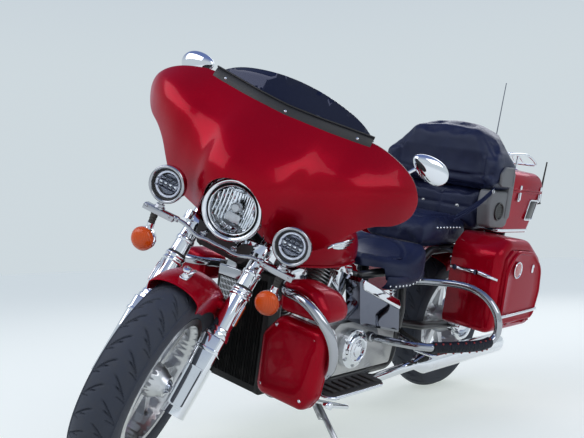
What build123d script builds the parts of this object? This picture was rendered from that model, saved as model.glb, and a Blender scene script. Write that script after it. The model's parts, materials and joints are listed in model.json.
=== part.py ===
"""Full-dress touring cruiser motorcycle, parked on its side stand with the steering on its left stop.

Every piece is drawn on the upright motorcycle, in millimetres: +X to the rider's left, +Y to the rear,
+Z up from the ground under the upright wheels. The steered pieces are then turned about the steering
axis, and the whole machine leans over to its left until both tyres and the stand's foot meet the floor.
"""
import math
import os

from build123d import *

# Stance
wheelbase = 1665.0
rake_deg = 32.0
trail = 165.0
lean_deg = 13.4
steer_lock_deg = 32.6

# Wheels: outer radius, section width and rim seat radius
front_tyre_radius = 320.0
front_tyre_width = 130.0
rear_tyre_radius = 323.0
rear_tyre_width = 150.0
rim_radius = 204.0
running_clearance = 0.1
axle_radius = 10.0

# Fork, in the fork's own frame: across, forward of the steering axis, and up along it
leg_spacing = 240.0
leg_forward = 30.0
slider_radius = 31.0
fork_tube_radius = 28.0
slider_top = 715.0
lower_yoke = 828.0
upper_yoke = 1080.0
yoke_thickness = 30.0
fork_top = 1125.0
stem_radius = 16.0
head_tube_radius = 30.0

# Body widths and heights
frame_tube = 17.0
guard_tube = 16.0
bag_inner = 222.0
bag_outer = 452.0
bag_front = 480.0
bag_rear = 905.0
bag_bottom = 405.0
bag_wall = 5.0
lid_gap = 1.5
trunk_half = 245.0
trunk_front = 870.0
trunk_rear = 1225.0
trunk_bottom = 768.0
trunk_split = 967.0
trunk_top = 1065.0
trunk_wall = 5.0
seat_gap = 0.3

half_base = wheelbase / 2
rake = math.radians(rake_deg)
steer_up = Vector(0, math.sin(rake), math.cos(rake))
steer_forward = Vector(0, -math.cos(rake), math.sin(rake))
steer_foot = Vector(0, -half_base - trail, 0)
steering_axis = Axis(steer_foot, steer_up)
front_axle = Vector(0, -half_base, front_tyre_radius)
rear_axle = Vector(0, half_base, rear_tyre_radius)
MIN_UP = (Align.CENTER, Align.CENTER, Align.MIN)


def fork_point(across, forward, up):
    """A point given in the fork's frame: across the wheel, forward of the steering axis, up along it."""
    return steer_foot + Vector(across, 0, 0) + steer_forward * forward + steer_up * up


def fork_plane(across, forward, up):
    """A plane square to the steering axis, its x across the motorcycle and its y to the rear."""
    return Plane(fork_point(across, forward, up), x_dir=(1, 0, 0), z_dir=steer_up)


def block(x, y, z):
    """A box from three (low, high) pairs."""
    centre = [(low + high) / 2 for low, high in (x, y, z)]
    return Pos(*centre) * Box(x[1] - x[0], y[1] - y[0], z[1] - z[0])


def rod(start, end, radius, end_radius=None):
    """A round bar between two points, tapered where a second radius is given."""
    start, end = Vector(start), Vector(end)
    run = end - start
    plane = Plane(start, z_dir=run)
    if end_radius is None:
        return plane * Cylinder(radius, run.length, align=MIN_UP)
    return plane * Cone(radius, end_radius, run.length, align=MIN_UP)


def prism_x(face, low, high):
    """A face in the YZ plane carried from one x to another."""
    return Pos(low, 0, 0) * extrude(face, high - low, dir=(1, 0, 0))


def prism_y(face, low, high):
    """A face in the XZ plane carried from one y to another."""
    return Pos(0, low, 0) * extrude(face, high - low, dir=(0, 1, 0))


def outline_x(points):
    """A face in the YZ plane from (y, z) corners."""
    return make_face(Plane.YZ * Polyline(*points, close=True))


def outline_y(points):
    """A face in the XZ plane from (x, z) corners."""
    return make_face(Plane.XZ * Polyline(*points, close=True))


def tube(points, radius, bend):
    """A round bar along straight runs joined by arcs of one bend radius, or of one for each corner."""
    path = FilletPolyline(*points, radius=bend)
    return sweep(Plane(path @ 0, z_dir=path % 0) * Circle(radius), path)


def both_sides(shape):
    """The shape with its mirror image on the other side."""
    return Part() + [shape, mirror(shape, Plane.YZ)]


def turned(profile, centre):
    """A revolved body about an axle: the profile's points are (across, radius)."""
    face = make_face(Plane.XZ * Polyline(*profile, close=True))
    return Pos(*centre) * revolve(face, Axis.X, 360)


def cross_rod(centre, low, high, radius):
    """A round bar along X through a centre, from one x to another."""
    return rod((low, centre.Y, centre.Z), (high, centre.Y, centre.Z), radius)


def round_panel(width, height, corner):
    """A rectangle with rounded corners."""
    return RectangleRounded(width, height, corner)


# Wheels


def tyre(centre, radius, width):
    """A round-section tyre whose bore is the rim's seat."""
    half = width / 2
    ring = Plane.XZ * (Pos(0, radius - half) * Circle(half))
    seat, flange = rim_seat(width)
    low, high = rim_radius + seat_gap, rim_radius + rim_lip + seat_gap
    ring -= outline_y([(-width, 0), (-width, high), (5 - flange, high), (-seat, low), (seat, low), (flange - 5, high), (width, high), (width, 0)])
    return Pos(*centre) * revolve(ring, Axis.X, 360)


rim_lip = 10.0


def rim_seat(tyre_width):
    """Half widths of a rim's bead seat and of its flanges."""
    seat = tyre_width / 2 * 0.68
    return seat, seat + 9


def cast_wheel(centre, tyre_width, hub_half, hub_radius, spokes):
    """Rim with a flange each side, hub with a running bore, and tapered spokes between them."""
    seat, flange = rim_seat(tyre_width)
    lip = rim_radius + rim_lip
    rim = [
        (-flange, rim_radius - 12), (-flange, lip), (-flange + 5, lip),
        (-seat, rim_radius), (seat, rim_radius), (flange - 5, lip),
        (flange, lip), (flange, rim_radius - 12), (flange - 8, rim_radius - 12),
        (seat - 18, rim_radius - 24), (-seat + 18, rim_radius - 24), (-flange + 8, rim_radius - 12),
    ]
    hub = [
        (-hub_half, axle_radius), (-hub_half, hub_radius * 0.62), (-hub_half + 12, hub_radius * 0.70),
        (-hub_half * 0.45, hub_radius), (hub_half * 0.45, hub_radius), (hub_half - 12, hub_radius * 0.70),
        (hub_half, hub_radius * 0.62), (hub_half, axle_radius),
    ]
    wheel = turned(rim, (0, 0, 0)) + turned(hub, (0, 0, 0))
    root, tip = hub_radius - 6, rim_radius - 20
    spoke_face = make_face(Polyline((-19, root), (-11, tip), (11, tip), (19, root), close=True))
    spoke = extrude(Plane.YZ * spoke_face, amount=13, both=True)
    wheel += [Rot(360 / spokes * i, 0, 0) * spoke for i in range(spokes)]
    wheel -= rod((-hub_half - 1, 0, 0), (hub_half + 1, 0, 0), axle_radius + running_clearance)
    return Pos(*centre) * wheel


def brake_disc(centre, x_low, x_high, carrier_radius, radius):
    """A flat disc with a wide carrier, its bore seated on the hub's end."""
    disc = rod((x_low, 0, 0), (x_high, 0, 0), radius) - rod((x_low, 0, 0), (x_high, 0, 0), radius - 42)
    carrier = rod((x_low, 0, 0), (x_high, 0, 0), carrier_radius + 14)
    arms = [Rot(72 * i, 0, 0) * block((x_low, x_high), (-13, 13), (carrier_radius, radius - 36)) for i in range(5)]
    bore = rod((x_low, 0, 0), (x_high, 0, 0), axle_radius + running_clearance)
    return Pos(*centre) * (disc + carrier + arms - bore)


front_hub_half = 66.0
front_disc_thickness = 6.0


def front_rim():
    wheel = cast_wheel(front_axle, front_tyre_width, front_hub_half, 52, 7)
    return wheel + brake_disc(front_axle, -front_hub_half - front_disc_thickness, -front_hub_half, 34, 148)


rear_hub_half = 80.0


def rear_rim():
    wheel = cast_wheel(rear_axle, rear_tyre_width, rear_hub_half, 62, 7)
    return wheel + brake_disc(rear_axle, -rear_hub_half - front_disc_thickness, -rear_hub_half, 44, 148)


# Fork and what it carries


def fork_leg(side):
    return side * leg_spacing / 2


def fork_legs():
    """Slider with a dust collar below, the tube's chrome cover and cap above, on each side."""
    leg = fork_plane(fork_leg(1), leg_forward, 322) * Cylinder(slider_radius, slider_top - 322, align=MIN_UP)
    leg += fork_plane(fork_leg(1), leg_forward, slider_top - 26) * Cylinder(slider_radius + 3, 18, align=MIN_UP)
    leg -= cross_rod(front_axle, 0, leg_spacing, axle_radius + running_clearance)
    leg += fork_plane(fork_leg(1), leg_forward, slider_top) * Cylinder(fork_tube_radius, fork_top - slider_top, align=MIN_UP)
    leg += fork_plane(fork_leg(1), leg_forward, fork_top) * Cylinder(fork_tube_radius - 6, 12, align=MIN_UP)
    return both_sides(leg)


cover_top = 540.0
cover_end = 298.0
cover_half = 36.0
cover_front = 37.0


def fork_covers():
    """Square chrome shells over the front of the sliders, each with a raised flat panel."""
    height = cover_top - cover_end
    base = fork_plane(fork_leg(1), leg_forward, cover_end)
    shell = base * Pos(0, -cover_front / 2 + 9, height / 2) * Box(2 * cover_half, cover_front + 18, height)
    shell = fillet(shell.edges().filter_by(Axis(steer_foot, steer_up)), 7)
    panel = base * Pos(0, -cover_front - 1.5, height * 0.36) * Box(2 * cover_half - 22, 5, height * 0.64)
    collar = base * Pos(0, 0, height) * Cylinder(cover_half, 16, align=MIN_UP)
    bore = base * Pos(0, 0, -10) * Cylinder(slider_radius + seat_gap, height + 60, align=MIN_UP)
    return both_sides(shell + panel + collar - bore) - cross_rod(front_axle, -300, 300, axle_radius + seat_gap)


def triple_clamps():
    """Lower and upper yokes joined by the steering stem, bored for the fork tubes."""
    plate = SlotCenterToCenter(leg_spacing, 92)
    yokes = Part()
    for up in (lower_yoke, upper_yoke):
        yoke = extrude(fork_plane(0, leg_forward, up) * plate, yoke_thickness)
        yoke += extrude(fork_plane(0, 4, up) * Circle(40), yoke_thickness)
        yokes += yoke
    stem = fork_plane(0, 0, lower_yoke + 5) * Cylinder(stem_radius, upper_yoke - lower_yoke, align=MIN_UP)
    yokes += stem
    for side in (-1, 1):
        hole = fork_plane(fork_leg(side), leg_forward, lower_yoke - 20)
        yokes -= hole * Cylinder(fork_tube_radius + running_clearance, 400, align=MIN_UP)
    return yokes


def front_axle_shaft():
    reach = leg_spacing / 2 + slider_radius
    return cross_rod(front_axle, -reach, reach, axle_radius)


fender_radius = 341.0
fender_half = 79.0
fender_skin = 2.5


def fender_arc(centre, radius, half, skin, drop, start_deg, sweep_deg):
    """A mudguard: a crowned channel section revolved about the axle, angles rearwards from straight up."""
    outer = make_face(Plane.XZ * Polyline(*channel_outline(radius, half, skin, drop), close=True))
    turned_arc = revolve(outer, Axis.X, sweep_deg)
    return Pos(*centre) * (Rot(-start_deg - sweep_deg, 0, 0) * turned_arc)


def channel_outline(radius, half, skin, drop):
    """Crowned top with sides that drop towards the axle, as points (across, radius)."""
    crown = [(math.sin(math.radians(a)) * half / math.sin(math.radians(62)),
              radius - half * 0.62 * (1 - math.cos(math.radians(a)))) for a in range(-62, 63, 31)]
    outer = [(-half, crown[0][1] - drop)] + crown + [(half, crown[-1][1] - drop)]
    inner = [(x * (half - skin) / half, r - skin * 1.2) for x, r in outer]
    inner[0] = (inner[0][0], outer[0][1])
    inner[-1] = (inner[-1][0], outer[-1][1])
    return outer + inner[::-1]


def crown_body(centre, radius, half):
    """The solid under a mudguard's crown, grown by a seating gap, to shape what is fixed on it."""
    outline = [(-half, 0)] + channel_outline(radius + seat_gap, half, fender_skin, 0)[1:6] + [(half, 0)]
    return turned(outline, centre)


fender_stay = 644.0


def front_fender():
    """Mudguard with a boss on each side that meets the slider."""
    guard = fender_arc(front_axle, fender_radius, fender_half, fender_skin, 62, -13, 88)
    side = fork_point(fender_half - 2, leg_forward, fender_stay)
    boss = rod(side, (fork_leg(1), side.Y, side.Z), 13)
    boss -= fork_plane(fork_leg(1), leg_forward, 322) * Cylinder(slider_radius + seat_gap, 600, align=MIN_UP)
    boss -= block((fork_leg(1), 400), (-2000, 0), (0, 2000))
    return guard + both_sides(boss)


def fender_ornament():
    """A plain polished spear on the fender's crown."""
    lean = -3
    spear = Rot(lean, 0, 0) * Pos(0, -6, fender_radius + 8) * Sphere(13)
    tail = Rot(lean, 0, 0) * rod((0, -6, fender_radius + 8), (0, 52, fender_radius + 2), 11, 3)
    foot = Rot(lean, 0, 0) * block((-5, 5), (-14, 34), (fender_radius, fender_radius + 8))
    return Pos(*front_axle) * (spear + tail + foot) - crown_body(front_axle, fender_radius, fender_half)


def front_caliper():
    """Two-piston caliper behind the right slider, its jaws over the disc."""
    radius = 148 - 18
    jaw = block((-100, -54), (-26, 26), (radius - 16, radius + 34))
    slot = block((-78, -60), (-60, 60), (0, 152))
    lug = block((-104, -84), (-40, 14), (radius - 10, radius + 16))
    caliper = Rot(-78, 0, 0) * (fillet(jaw.edges(), 6) - slot + lug)
    caliper = Pos(*front_axle) * caliper
    caliper += rod((-92, front_axle.Y + 120, front_axle.Z + 26), fork_point(fork_leg(-1), leg_forward, 392), 12)
    leg = fork_plane(fork_leg(-1), leg_forward, 300)
    caliper -= leg * Cylinder(slider_radius + seat_gap, 300, align=MIN_UP)
    return caliper - block((-300, fork_leg(-1)), (-2000, 0), (0, 2000))


# Fairing and lamps


# Depth of the fairing's face in y: one row for each height, one column for each distance from the middle
fairing_across = (0, 60, 116, 160, 220, 300, 380, 440, 490)
fairing_depth = (
    # height, then y at each distance
    (780, (-640, -636, -615, -585, -548, -500, -440, -390, -340)),
    (830, (-690, -688, -660, -622, -580, -527, -462, -410, -358)),
    (880, (-715, -712, -686, -645, -602, -550, -484, -430, -376)),
    (930, (-726, -722, -698, -656, -618, -572, -508, -452, -395)),
    (970, (-716, -712, -692, -655, -625, -588, -530, -474, -412)),
    (1010, (-690, -686, -670, -640, -621, -597, -548, -493, -428)),
    (1050, (-655, -651, -640, -618, -604, -592, -556, -505, -440)),
    (1090, (-612, -609, -600, -585, -572, -564, -540, -497, -434)),
    (1130, (-566, -564, -557, -546, -535, -525, -500, -458, -400)),
    (1185, (-500, -499, -495, -488, -478, -462, -432, -395, -345)),
)
# Edge of the fairing seen from the front, left half, from the top middle round to the headlight
fairing_edge = (
    (0, 1162), (104, 1166), (208, 1172), (285, 1176), (347, 1164), (404, 1143), (448, 1112), (476, 1066), (474, 1010),
    (440, 970), (389, 948), (346, 912), (314, 868), (286, 832), (246, 800), (196, 786), (150, 782),
)
fairing_skin = 7.0
headlight_centre = (0, -667, 842)
headlight_radius = 98.0
headlight_gap = 4.0
opening_foot = 46.0


def fairing_sheet(shift):
    """The fairing's face as one smooth surface, moved back by a distance."""
    columns = [-x for x in fairing_across[:0:-1]] + list(fairing_across)
    rows = []
    for height, depths in fairing_depth:
        mirrored = list(depths[:0:-1]) + list(depths)
        rows.append([Vector(x, y + shift, height) for x, y in zip(columns, mirrored)])
    return Face.make_surface_from_array_of_points(rows)


def inward(points, inset):
    """A half outline's points moved inwards, square to the line through their neighbours."""
    moved = []
    for index, (x, z) in enumerate(points):
        before = points[max(index - 1, 0)]
        after = points[min(index + 1, len(points) - 1)]
        run = Vector(after[0] - before[0], after[1] - before[1]).normalized()
        moved.append((0 if x == 0 else x + run.Y * inset, z - run.X * inset))
    return moved


def fairing_outline(inset):
    """The fairing seen from the front, as a face in the XZ plane."""
    left = inward(fairing_edge, inset)
    right = [(-x, z) for x, z in reversed(left)]
    halves = Spline(*left, tangents=((1, 0), (-1, -0.1))) + Spline(*right, tangents=((-1, 0.1), (1, 0)))
    return make_face(Plane.XZ * (halves + Line(left[-1], right[0])))


def fairing_outer():
    shell = extrude(fairing_sheet(0), amount=fairing_skin, dir=(0, 1, 0))
    edge = prism_y(fairing_outline(0), -900, 0)
    x, y, z = headlight_centre
    opening = rod((x, y - 200, z), (x, y + 200, z), headlight_radius + headlight_gap)
    half = headlight_radius + headlight_gap
    below = [(-half, z), (half, z), (half + opening_foot, 700), (-half - opening_foot, 700)]
    opening += prism_y(outline_y(below), y - 200, y + 200)
    return shell & edge - opening


fairing_inner_rear = -432.0
fairing_inner_wall = 8.0


def fairing_inner():
    """Black rear moulding: side walls behind the face's edge and an instrument panel across the back."""
    behind = extrude(fairing_sheet(fairing_skin + seat_gap), amount=420, dir=(0, 1, 0))
    behind -= block((-600, 600), (fairing_inner_rear, 400), (600, 1400))
    tub = behind & prism_y(fairing_outline(6), -900, 0)
    room = behind & prism_y(fairing_outline(6 + fairing_inner_wall), -900, 0)
    room -= block((-600, 600), (fairing_inner_rear - fairing_inner_wall, 400), (600, 1400))
    tub -= room
    tub -= block((-168, 168), (-900, 0), (600, 1000))
    return tub


shield_top = 1256.0


def windshield():
    """Low smoked shield rising from the fairing's top edge."""
    arch = make_face(Plane.XZ * (Spline((-276, 1176), (-236, 1206), (-150, 1238), (0, shield_top), (150, 1238), (236, 1206), (276, 1176))
                                 + Polyline((276, 1176), (276, 1140), (-276, 1140), (-276, 1176))))
    rows = []
    for height, depth in ((1140, -532), (1200, -508), (1262, -488)):
        rows.append([Vector(x, depth + (abs(x) / 270) ** 2 * 62, height) for x in (-290, -200, -100, 0, 100, 200, 290)])
    skin = extrude(Face.make_surface_from_array_of_points(rows), amount=4, dir=(0, 1, 0))
    shield = skin & prism_y(arch, -900, 0)
    seat = extrude(fairing_sheet(-seat_gap), amount=60, dir=(0, 1, 0)) & prism_y(fairing_outline(-seat_gap), -900, 0)
    return shield - seat


def headlight():
    """Bullet bucket with a bezel ring, a lens, and a foot on the lower yoke."""
    x, y, z = headlight_centre
    radius = headlight_radius
    profile = [(0, 0), (0, radius * 0.78), (-10, radius), (26, radius), (30, radius - 6), (96, radius * 0.66), (112, radius * 0.4), (112, 0)]
    face = make_face(Plane.YZ * Polyline(*[(a, b) for a, b in profile], close=True))
    bucket = Pos(x, y, z) * revolve(face, Axis.Y, 360)
    foot = rod((x, y + 60, z - 60), fork_point(0, 66, lower_yoke + yoke_thickness), 16)
    return bucket + foot - yoke_cutter()


bar_height = 746.0
bar_depth = -690.0
lamp_centre = (212, bar_depth - 1, bar_height + 84)
lamp_radius = 59.0


def driving_lamp():
    x, y, z = lamp_centre
    profile = [(0, 0), (0, lamp_radius - 9), (-8, lamp_radius), (18, lamp_radius), (40, lamp_radius * 0.8), (58, lamp_radius * 0.4), (58, 0)]
    face = make_face(Plane.YZ * Polyline(*profile, close=True))
    return Pos(x, y, z) * revolve(face, Axis.Y, 360)


lamp_stem_radius = 9.0
light_bar_radius = 6.0
plate_in, plate_out = 150.0, 256.0
plate_thickness = 12.0


def driving_lamps():
    x, y, z = lamp_centre
    stem = rod((x, y + 10, bar_height + plate_thickness / 2 + seat_gap), (x, y + 10, z - 50), lamp_stem_radius)
    lamp = driving_lamp() + stem
    return both_sides(lamp)


def light_bar():
    """Cross bar in front of the legs, a flat plate at each end, two arms back to the lower yoke."""
    bar = tube([(-165, bar_depth, bar_height), (-120, bar_depth, bar_height), (-60, bar_depth - 4, bar_height - 16),
                (60, bar_depth - 4, bar_height - 16), (120, bar_depth, bar_height), (165, bar_depth, bar_height)], light_bar_radius, 20)
    plate = block((plate_in, plate_out), (bar_depth - 15, bar_depth + 15), (bar_height - plate_thickness / 2, bar_height + plate_thickness / 2))
    arm = rod((52, bar_depth, bar_height - 14), fork_point(52, 70, lower_yoke + 14), 6)
    bracket = bar + both_sides(plate) + both_sides(arm)
    return bracket - yoke_cutter()


def yoke_cutter():
    """The lower yoke's outline with a seating gap, for what is bolted against it."""
    low = fork_plane(0, leg_forward, lower_yoke - seat_gap)
    slab = extrude(low * SlotCenterToCenter(leg_spacing, 92 + 2 * seat_gap), yoke_thickness + 2 * seat_gap)
    return slab + extrude(fork_plane(0, 4, lower_yoke - seat_gap) * Circle(40 + seat_gap), yoke_thickness + 2 * seat_gap)


signal_centre = (216, bar_depth - 22, bar_height - 98)
signal_radius = 38.0


def turn_signals():
    x, y, z = signal_centre
    profile = [(0, 0), (0, signal_radius - 10), (6, signal_radius - 2), (14, signal_radius), (34, signal_radius), (58, signal_radius * 0.6), (66, 0)]
    face = make_face(Plane.YZ * Polyline(*profile, close=True))
    lamp = Pos(x, y - 22, z) * revolve(face, Axis.Y, 360)
    stalk = rod((x, bar_depth, z + 28), (x, bar_depth, bar_height - plate_thickness / 2 - seat_gap), 8, 11)
    return both_sides(lamp + stalk)


# Handlebar and mirrors


bar_radius = 11.0
bar_clamp_up = upper_yoke + 85
bar_path = ((0, 0, 0), (110, 0, 0), (215, 42, 30), (305, 150, 12), (400, 330, -62))


def bar_points():
    base = fork_point(0, -14, bar_clamp_up)
    left = [(base.X + x, base.Y + y, base.Z + z) for x, y, z in bar_path]
    return left


def handlebar():
    left = bar_points()
    path = [(-x, y, z) for x, y, z in left[:0:-1]] + left[1:]
    bar = tube(path, bar_radius, 55)
    start, end = Vector(*left[-2]), Vector(*left[-1])
    for side in (1, -1):
        a = Vector(side * start.X, start.Y, start.Z)
        b = Vector(side * end.X, end.Y, end.Z)
        run = (b - a).normalized()
        bar += rod(b - run * 122, b + run * 6, 17)
        bar += rod(b - run * 165, b - run * 124, 23)
    riser = rod(fork_point(48, -14, upper_yoke + yoke_thickness + seat_gap), fork_point(48, -14, bar_clamp_up), 13)
    return bar + both_sides(riser + fork_plane(48, -14, bar_clamp_up) * Box(30, 38, 34))


mirror_centre = (457, -204, 1147)


def mirrors():
    """Teardrop mirrors on stems clamped to the bar inboard of the grips."""
    x, y, z = mirror_centre
    left = bar_points()
    foot = Vector(*left[-2]) * 0.84 + Vector(*left[-1]) * 0.16
    shell = Pos(x, y, z) * Rot(0, 0, 12) * scale(Sphere(50), (1.4, 0.5, 1.0))
    stem = tube([(foot.X, foot.Y, foot.Z), (foot.X + 22, foot.Y - 24, foot.Z + 70), (x - 40, y + 4, z - 10)], 6, 30)
    clamp = rod(foot - (Vector(*left[-1]) - foot).normalized() * 14, foot + (Vector(*left[-1]) - foot).normalized() * 14, 19)
    bore = rod(Vector(*left[-2]), Vector(*left[-1]), bar_radius + seat_gap)
    return both_sides(shell + stem + clamp - bore)


# Frame and swingarm


cradle_x = 95.0
cradle_front = -396.0
cradle_bottom = 205.0
rail_x = 128.0
pivot = (345.0, 360.0)


def backbone(radius):
    return tube([(0, -478, 805), (0, -60, 757), (0, 30, 712), (0, 34, 590)], radius, 32)


def seat_rail(radius):
    return tube([(cradle_x, 34, 590), (cradle_x, 150, 596), (rail_x, 350, 606), (rail_x, 465, 680), (rail_x, 1150, 702)], radius, 60)


def cradle(radius):
    return tube([(22, -509, 762), (cradle_x, cradle_front, 640), (cradle_x, cradle_front, cradle_bottom),
                 (cradle_x, 332, cradle_bottom), (cradle_x, 366, 430), (cradle_x, 332, 604)], radius, (52, 55, 55, 70))


carrier_rows = (900.0, 1120.0)
bag_arm_rows = (530.0, 790.0)


def bag_arms():
    """Stubs from a seat rail out to the bag beside it."""
    return Part() + [rod((rail_x, y, 690), (bag_inner - seat_gap, y, 690), 9) for y in bag_arm_rows]


def frame():
    """Head tube, backbone, double cradle, seat rails and the carrier under the trunk."""
    head_low = lower_yoke + yoke_thickness + seat_gap
    head_high = upper_yoke - seat_gap
    body = fork_plane(0, 0, head_low) * Cylinder(head_tube_radius, head_high - head_low, align=MIN_UP)
    body += backbone(22)
    body += both_sides(cradle(frame_tube))
    body += both_sides(seat_rail(frame_tube))
    body += rod((-cradle_x, 34, 590), (cradle_x, 34, 590), 14)
    for y in carrier_rows:
        body += block((-rail_x, rail_x), (y - 20, y + 20), (700, trunk_bottom - seat_gap))
    body += both_sides(bag_arms())
    body += stand_bracket()
    bore = fork_plane(0, 0, head_low - 10) * Cylinder(stem_radius + running_clearance, 400, align=MIN_UP)
    return body - bore - rod((-300, pivot[0], pivot[1]), (300, pivot[0], pivot[1]), 0.01)


stand_pivot = Vector(140, -200, 200)
stand_foot_xy = (360.0, -300.0)
stand_folded = Vector(0.25, 0.95, 0.05).normalized()
stand_pin = 6.0
stand_eye = 14.0
stand_half = 8.0
stand_leg = 10.0
foot_radius = 26.0


def stand_axis():
    down = (stand_foot() - stand_pivot).normalized()
    return down.cross(stand_folded).normalized()


def stand_bracket():
    """Disc beside the stand's eye, the pin through it and an arm from the cradle."""
    turn = stand_axis()
    near, far = stand_half + seat_gap, stand_half + seat_gap + 8
    disc = rod(stand_pivot + turn * near, stand_pivot + turn * far, stand_eye + 3)
    pin = rod(stand_pivot - turn * (far - 3), stand_pivot + turn * near, stand_pin)
    head = rod(stand_pivot - turn * (far - 3), stand_pivot - turn * near, stand_pin + 4)
    arm = rod((cradle_x, stand_pivot.Y - 2, cradle_bottom + 4), stand_pivot + turn * (near + 4), 9)
    bore = rod(stand_pivot - turn * near, stand_pivot + turn * near, stand_eye + 6) - rod(
        stand_pivot - turn * near, stand_pivot + turn * near, stand_pin)
    return disc + pin + head + arm - bore


arm_in, arm_out = 88.0, 124.0


def swingarm():
    y, z = pivot
    body = cross_rod(Vector(0, y, z), -(cradle_x - frame_tube - seat_gap), cradle_x - frame_tube - seat_gap, 22)
    arm = tube([(56, y, z), (60, 425, 358), (106, 515, 348), (106, half_base, rear_tyre_radius)], 18, (30, 60))
    plate = rod((arm_in, half_base, rear_tyre_radius), (arm_out, half_base, rear_tyre_radius), 40)
    body += both_sides(arm + plate)
    return body - cross_rod(rear_axle, -300, 300, axle_radius + running_clearance)


def rear_axle_shaft():
    shaft = cross_rod(rear_axle, -arm_out - 16, arm_out, axle_radius)
    nut = cross_rod(rear_axle, -arm_out - 12, -arm_out - seat_gap, 17)
    left = cross_rod(rear_axle, rear_hub_half + seat_gap, arm_in - seat_gap, 17)
    right = cross_rod(rear_axle, -arm_in + seat_gap, -rear_hub_half - front_disc_thickness - seat_gap, 17)
    return shaft + nut + left + right


def final_drive():
    """Bevel box on the swingarm's left end."""
    x = arm_out + seat_gap
    profile = [(x, 0), (x, 68), (x + 18, 68), (x + 34, 56), (x + 42, 34), (x + 42, 0)]
    return turned([(a, b) for a, b in profile], rear_axle)


shock_x = 166.0


def shock_line():
    """Centres of a shock's upper and lower bolts."""
    return Vector(shock_x, 610, 684), Vector(shock_x, 735, 332)


def rear_shocks():
    top, foot = shock_line()
    run = (foot - top).normalized()
    body = rod(top, foot, 9)
    body += rod(top + run * 26, top + run * 190, 24)
    for i in range(9):
        body += rod(top + run * (196 + 16 * i), top + run * (204 + 16 * i), 22)
    body += rod((rail_x + frame_tube + seat_gap, top.Y, top.Z), (shock_x + 12, top.Y, top.Z), 14)
    body += rod((arm_out + seat_gap, foot.Y, foot.Z), (shock_x + 12, foot.Y, foot.Z), 14)
    return both_sides(body)


# Engine


crank = (-200.0, 360.0)
bank_deg = 26.0
deck = 122.0
bank_gap = 0.5
cylinder_top = 300.0
head_top = 332.0
fin_half_x = 74.0
fin_half_y = 64.0
fin_pitch = 12.5
fin_thickness = 4.5
barrel_radius = 50.0
case_half = 115.0


def bank_plane(sign, distance):
    """A plane square to a cylinder's axis at a distance from the crank; sign is 1 for the rear bank."""
    tilt = math.radians(bank_deg) * sign
    axis = Vector(0, math.sin(tilt), math.cos(tilt))
    centre = Vector(0, *crank) + axis * distance
    return Plane(centre, x_dir=(1, 0, 0), z_dir=axis)


def far_side(sign):
    """Everything across the plane midway between the banks."""
    y = crank[0]
    return block((-200, 200), (y - 400, y + bank_gap) if sign > 0 else (y - bank_gap, y + 400), (crank[1], crank[1] + 400))


def crankcase():
    """Engine and gearbox castings as one rounded block, with a deck for each cylinder."""
    outline = Polyline((-378, 235), (-378, 330), (-330, 405), (-60, 420), (150, 420), (300, 400), (312, 300), (300, 223),
                       (-340, 223), close=True)
    face = make_face(Plane.YZ * outline)
    face = fillet(face.vertices(), 12)
    case = prism_x(face, -case_half, case_half)
    for sign in (-1, 1):
        case += bank_plane(sign, 0) * Cylinder(72, deck, align=MIN_UP) - far_side(sign)
    case = case - both_sides(cradle(frame_tube + seat_gap))
    return case - cross_rod(Vector(0, *pivot), -200, 200, 22 + seat_gap + 3)


def cylinders():
    """The two banks' barrels and heads."""
    return Part() + [finned_cylinder(-1), finned_cylinder(1)]


def finned_cylinder(sign):
    """One barrel and head: fins on a round core, wider fins on the head."""
    plate = round_panel(2 * fin_half_x, 2 * fin_half_y, 20)
    base = deck + seat_gap
    body = bank_plane(sign, base) * Cylinder(barrel_radius, cylinder_top - base, align=MIN_UP)
    count = int((cylinder_top - base - fin_thickness) // fin_pitch)
    for i in range(1, count + 1):
        body += extrude(bank_plane(sign, base + i * fin_pitch) * plate, fin_thickness)
    return body - far_side(sign)


def rocker_covers():
    covers = Part()
    for sign in (-1, 1):
        cover = extrude(bank_plane(sign, cylinder_top + seat_gap) * round_panel(2 * fin_half_x - 6, 2 * fin_half_y - 6, 18),
                        head_top - cylinder_top - seat_gap)
        covers += cover
    return covers + cylinder_caps()


# Chrome plates beside the barrels: y, z of each corner on the rear bank
cap_corners = ((-118, 622), (-98, 645), (-38, 634), (-28, 606), (-76, 520), (-94, 512))


def cylinder_caps():
    """Polished plates over the left ends of the fins, one on each bank."""
    rear = prism_x(outline_x(cap_corners), fin_half_x + seat_gap, fin_half_x + 40)
    rear = fillet(rear.edges().filter_by(Axis.X), 6)
    front = Pos(0, 2 * crank[0], 0) * mirror(rear, Plane.XZ)
    return Part() + [rear, front]


# Round covers bolted to the castings: side, y, z, radius, depth
case_covers = (
    (1, -200, 342, 96, 46),
    (1, 20, 322, 74, 38),
    (-1, 22, 320, 78, 42),
)


def engine_covers():
    body = Part()
    for side, y, z, radius, depth in case_covers:
        start = side * (case_half + seat_gap)
        cover = rod((start, y, z), (start + side * (depth - 14), y, z), radius)
        body += cover + rod((start, y, z), (start + side * depth, y, z), radius, radius * 0.72)
    return body


side_cover_corners = ((-71, 593), (-60, 606), (188, 512), (205, 490), (231, 374), (-32, 435))


def side_covers():
    cover = prism_x(outline_x(side_cover_corners), case_half + seat_gap, 190)
    cover = chamfer(cover.faces().sort_by(Axis.X)[-1].edges(), 9)
    return both_sides(cover)


def air_cleaner():
    x = -(fin_half_x + seat_gap)
    z = 566
    body = rod((x, crank[0], z), (x - 66, crank[0], z), 75)
    body += rod((x - 66, crank[0], z), (x - 82, crank[0], z), 75, 58)
    return body - bank_cutter()


def bank_cutter():
    cutter = Part()
    for sign in (-1, 1):
        cutter += extrude(bank_plane(sign, deck) * Rectangle(2 * fin_half_x + 0.6, 2 * fin_half_y + 0.6), head_top - deck)
    return cutter


radiator_half = 127.0
radiator_front = -463.0


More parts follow.
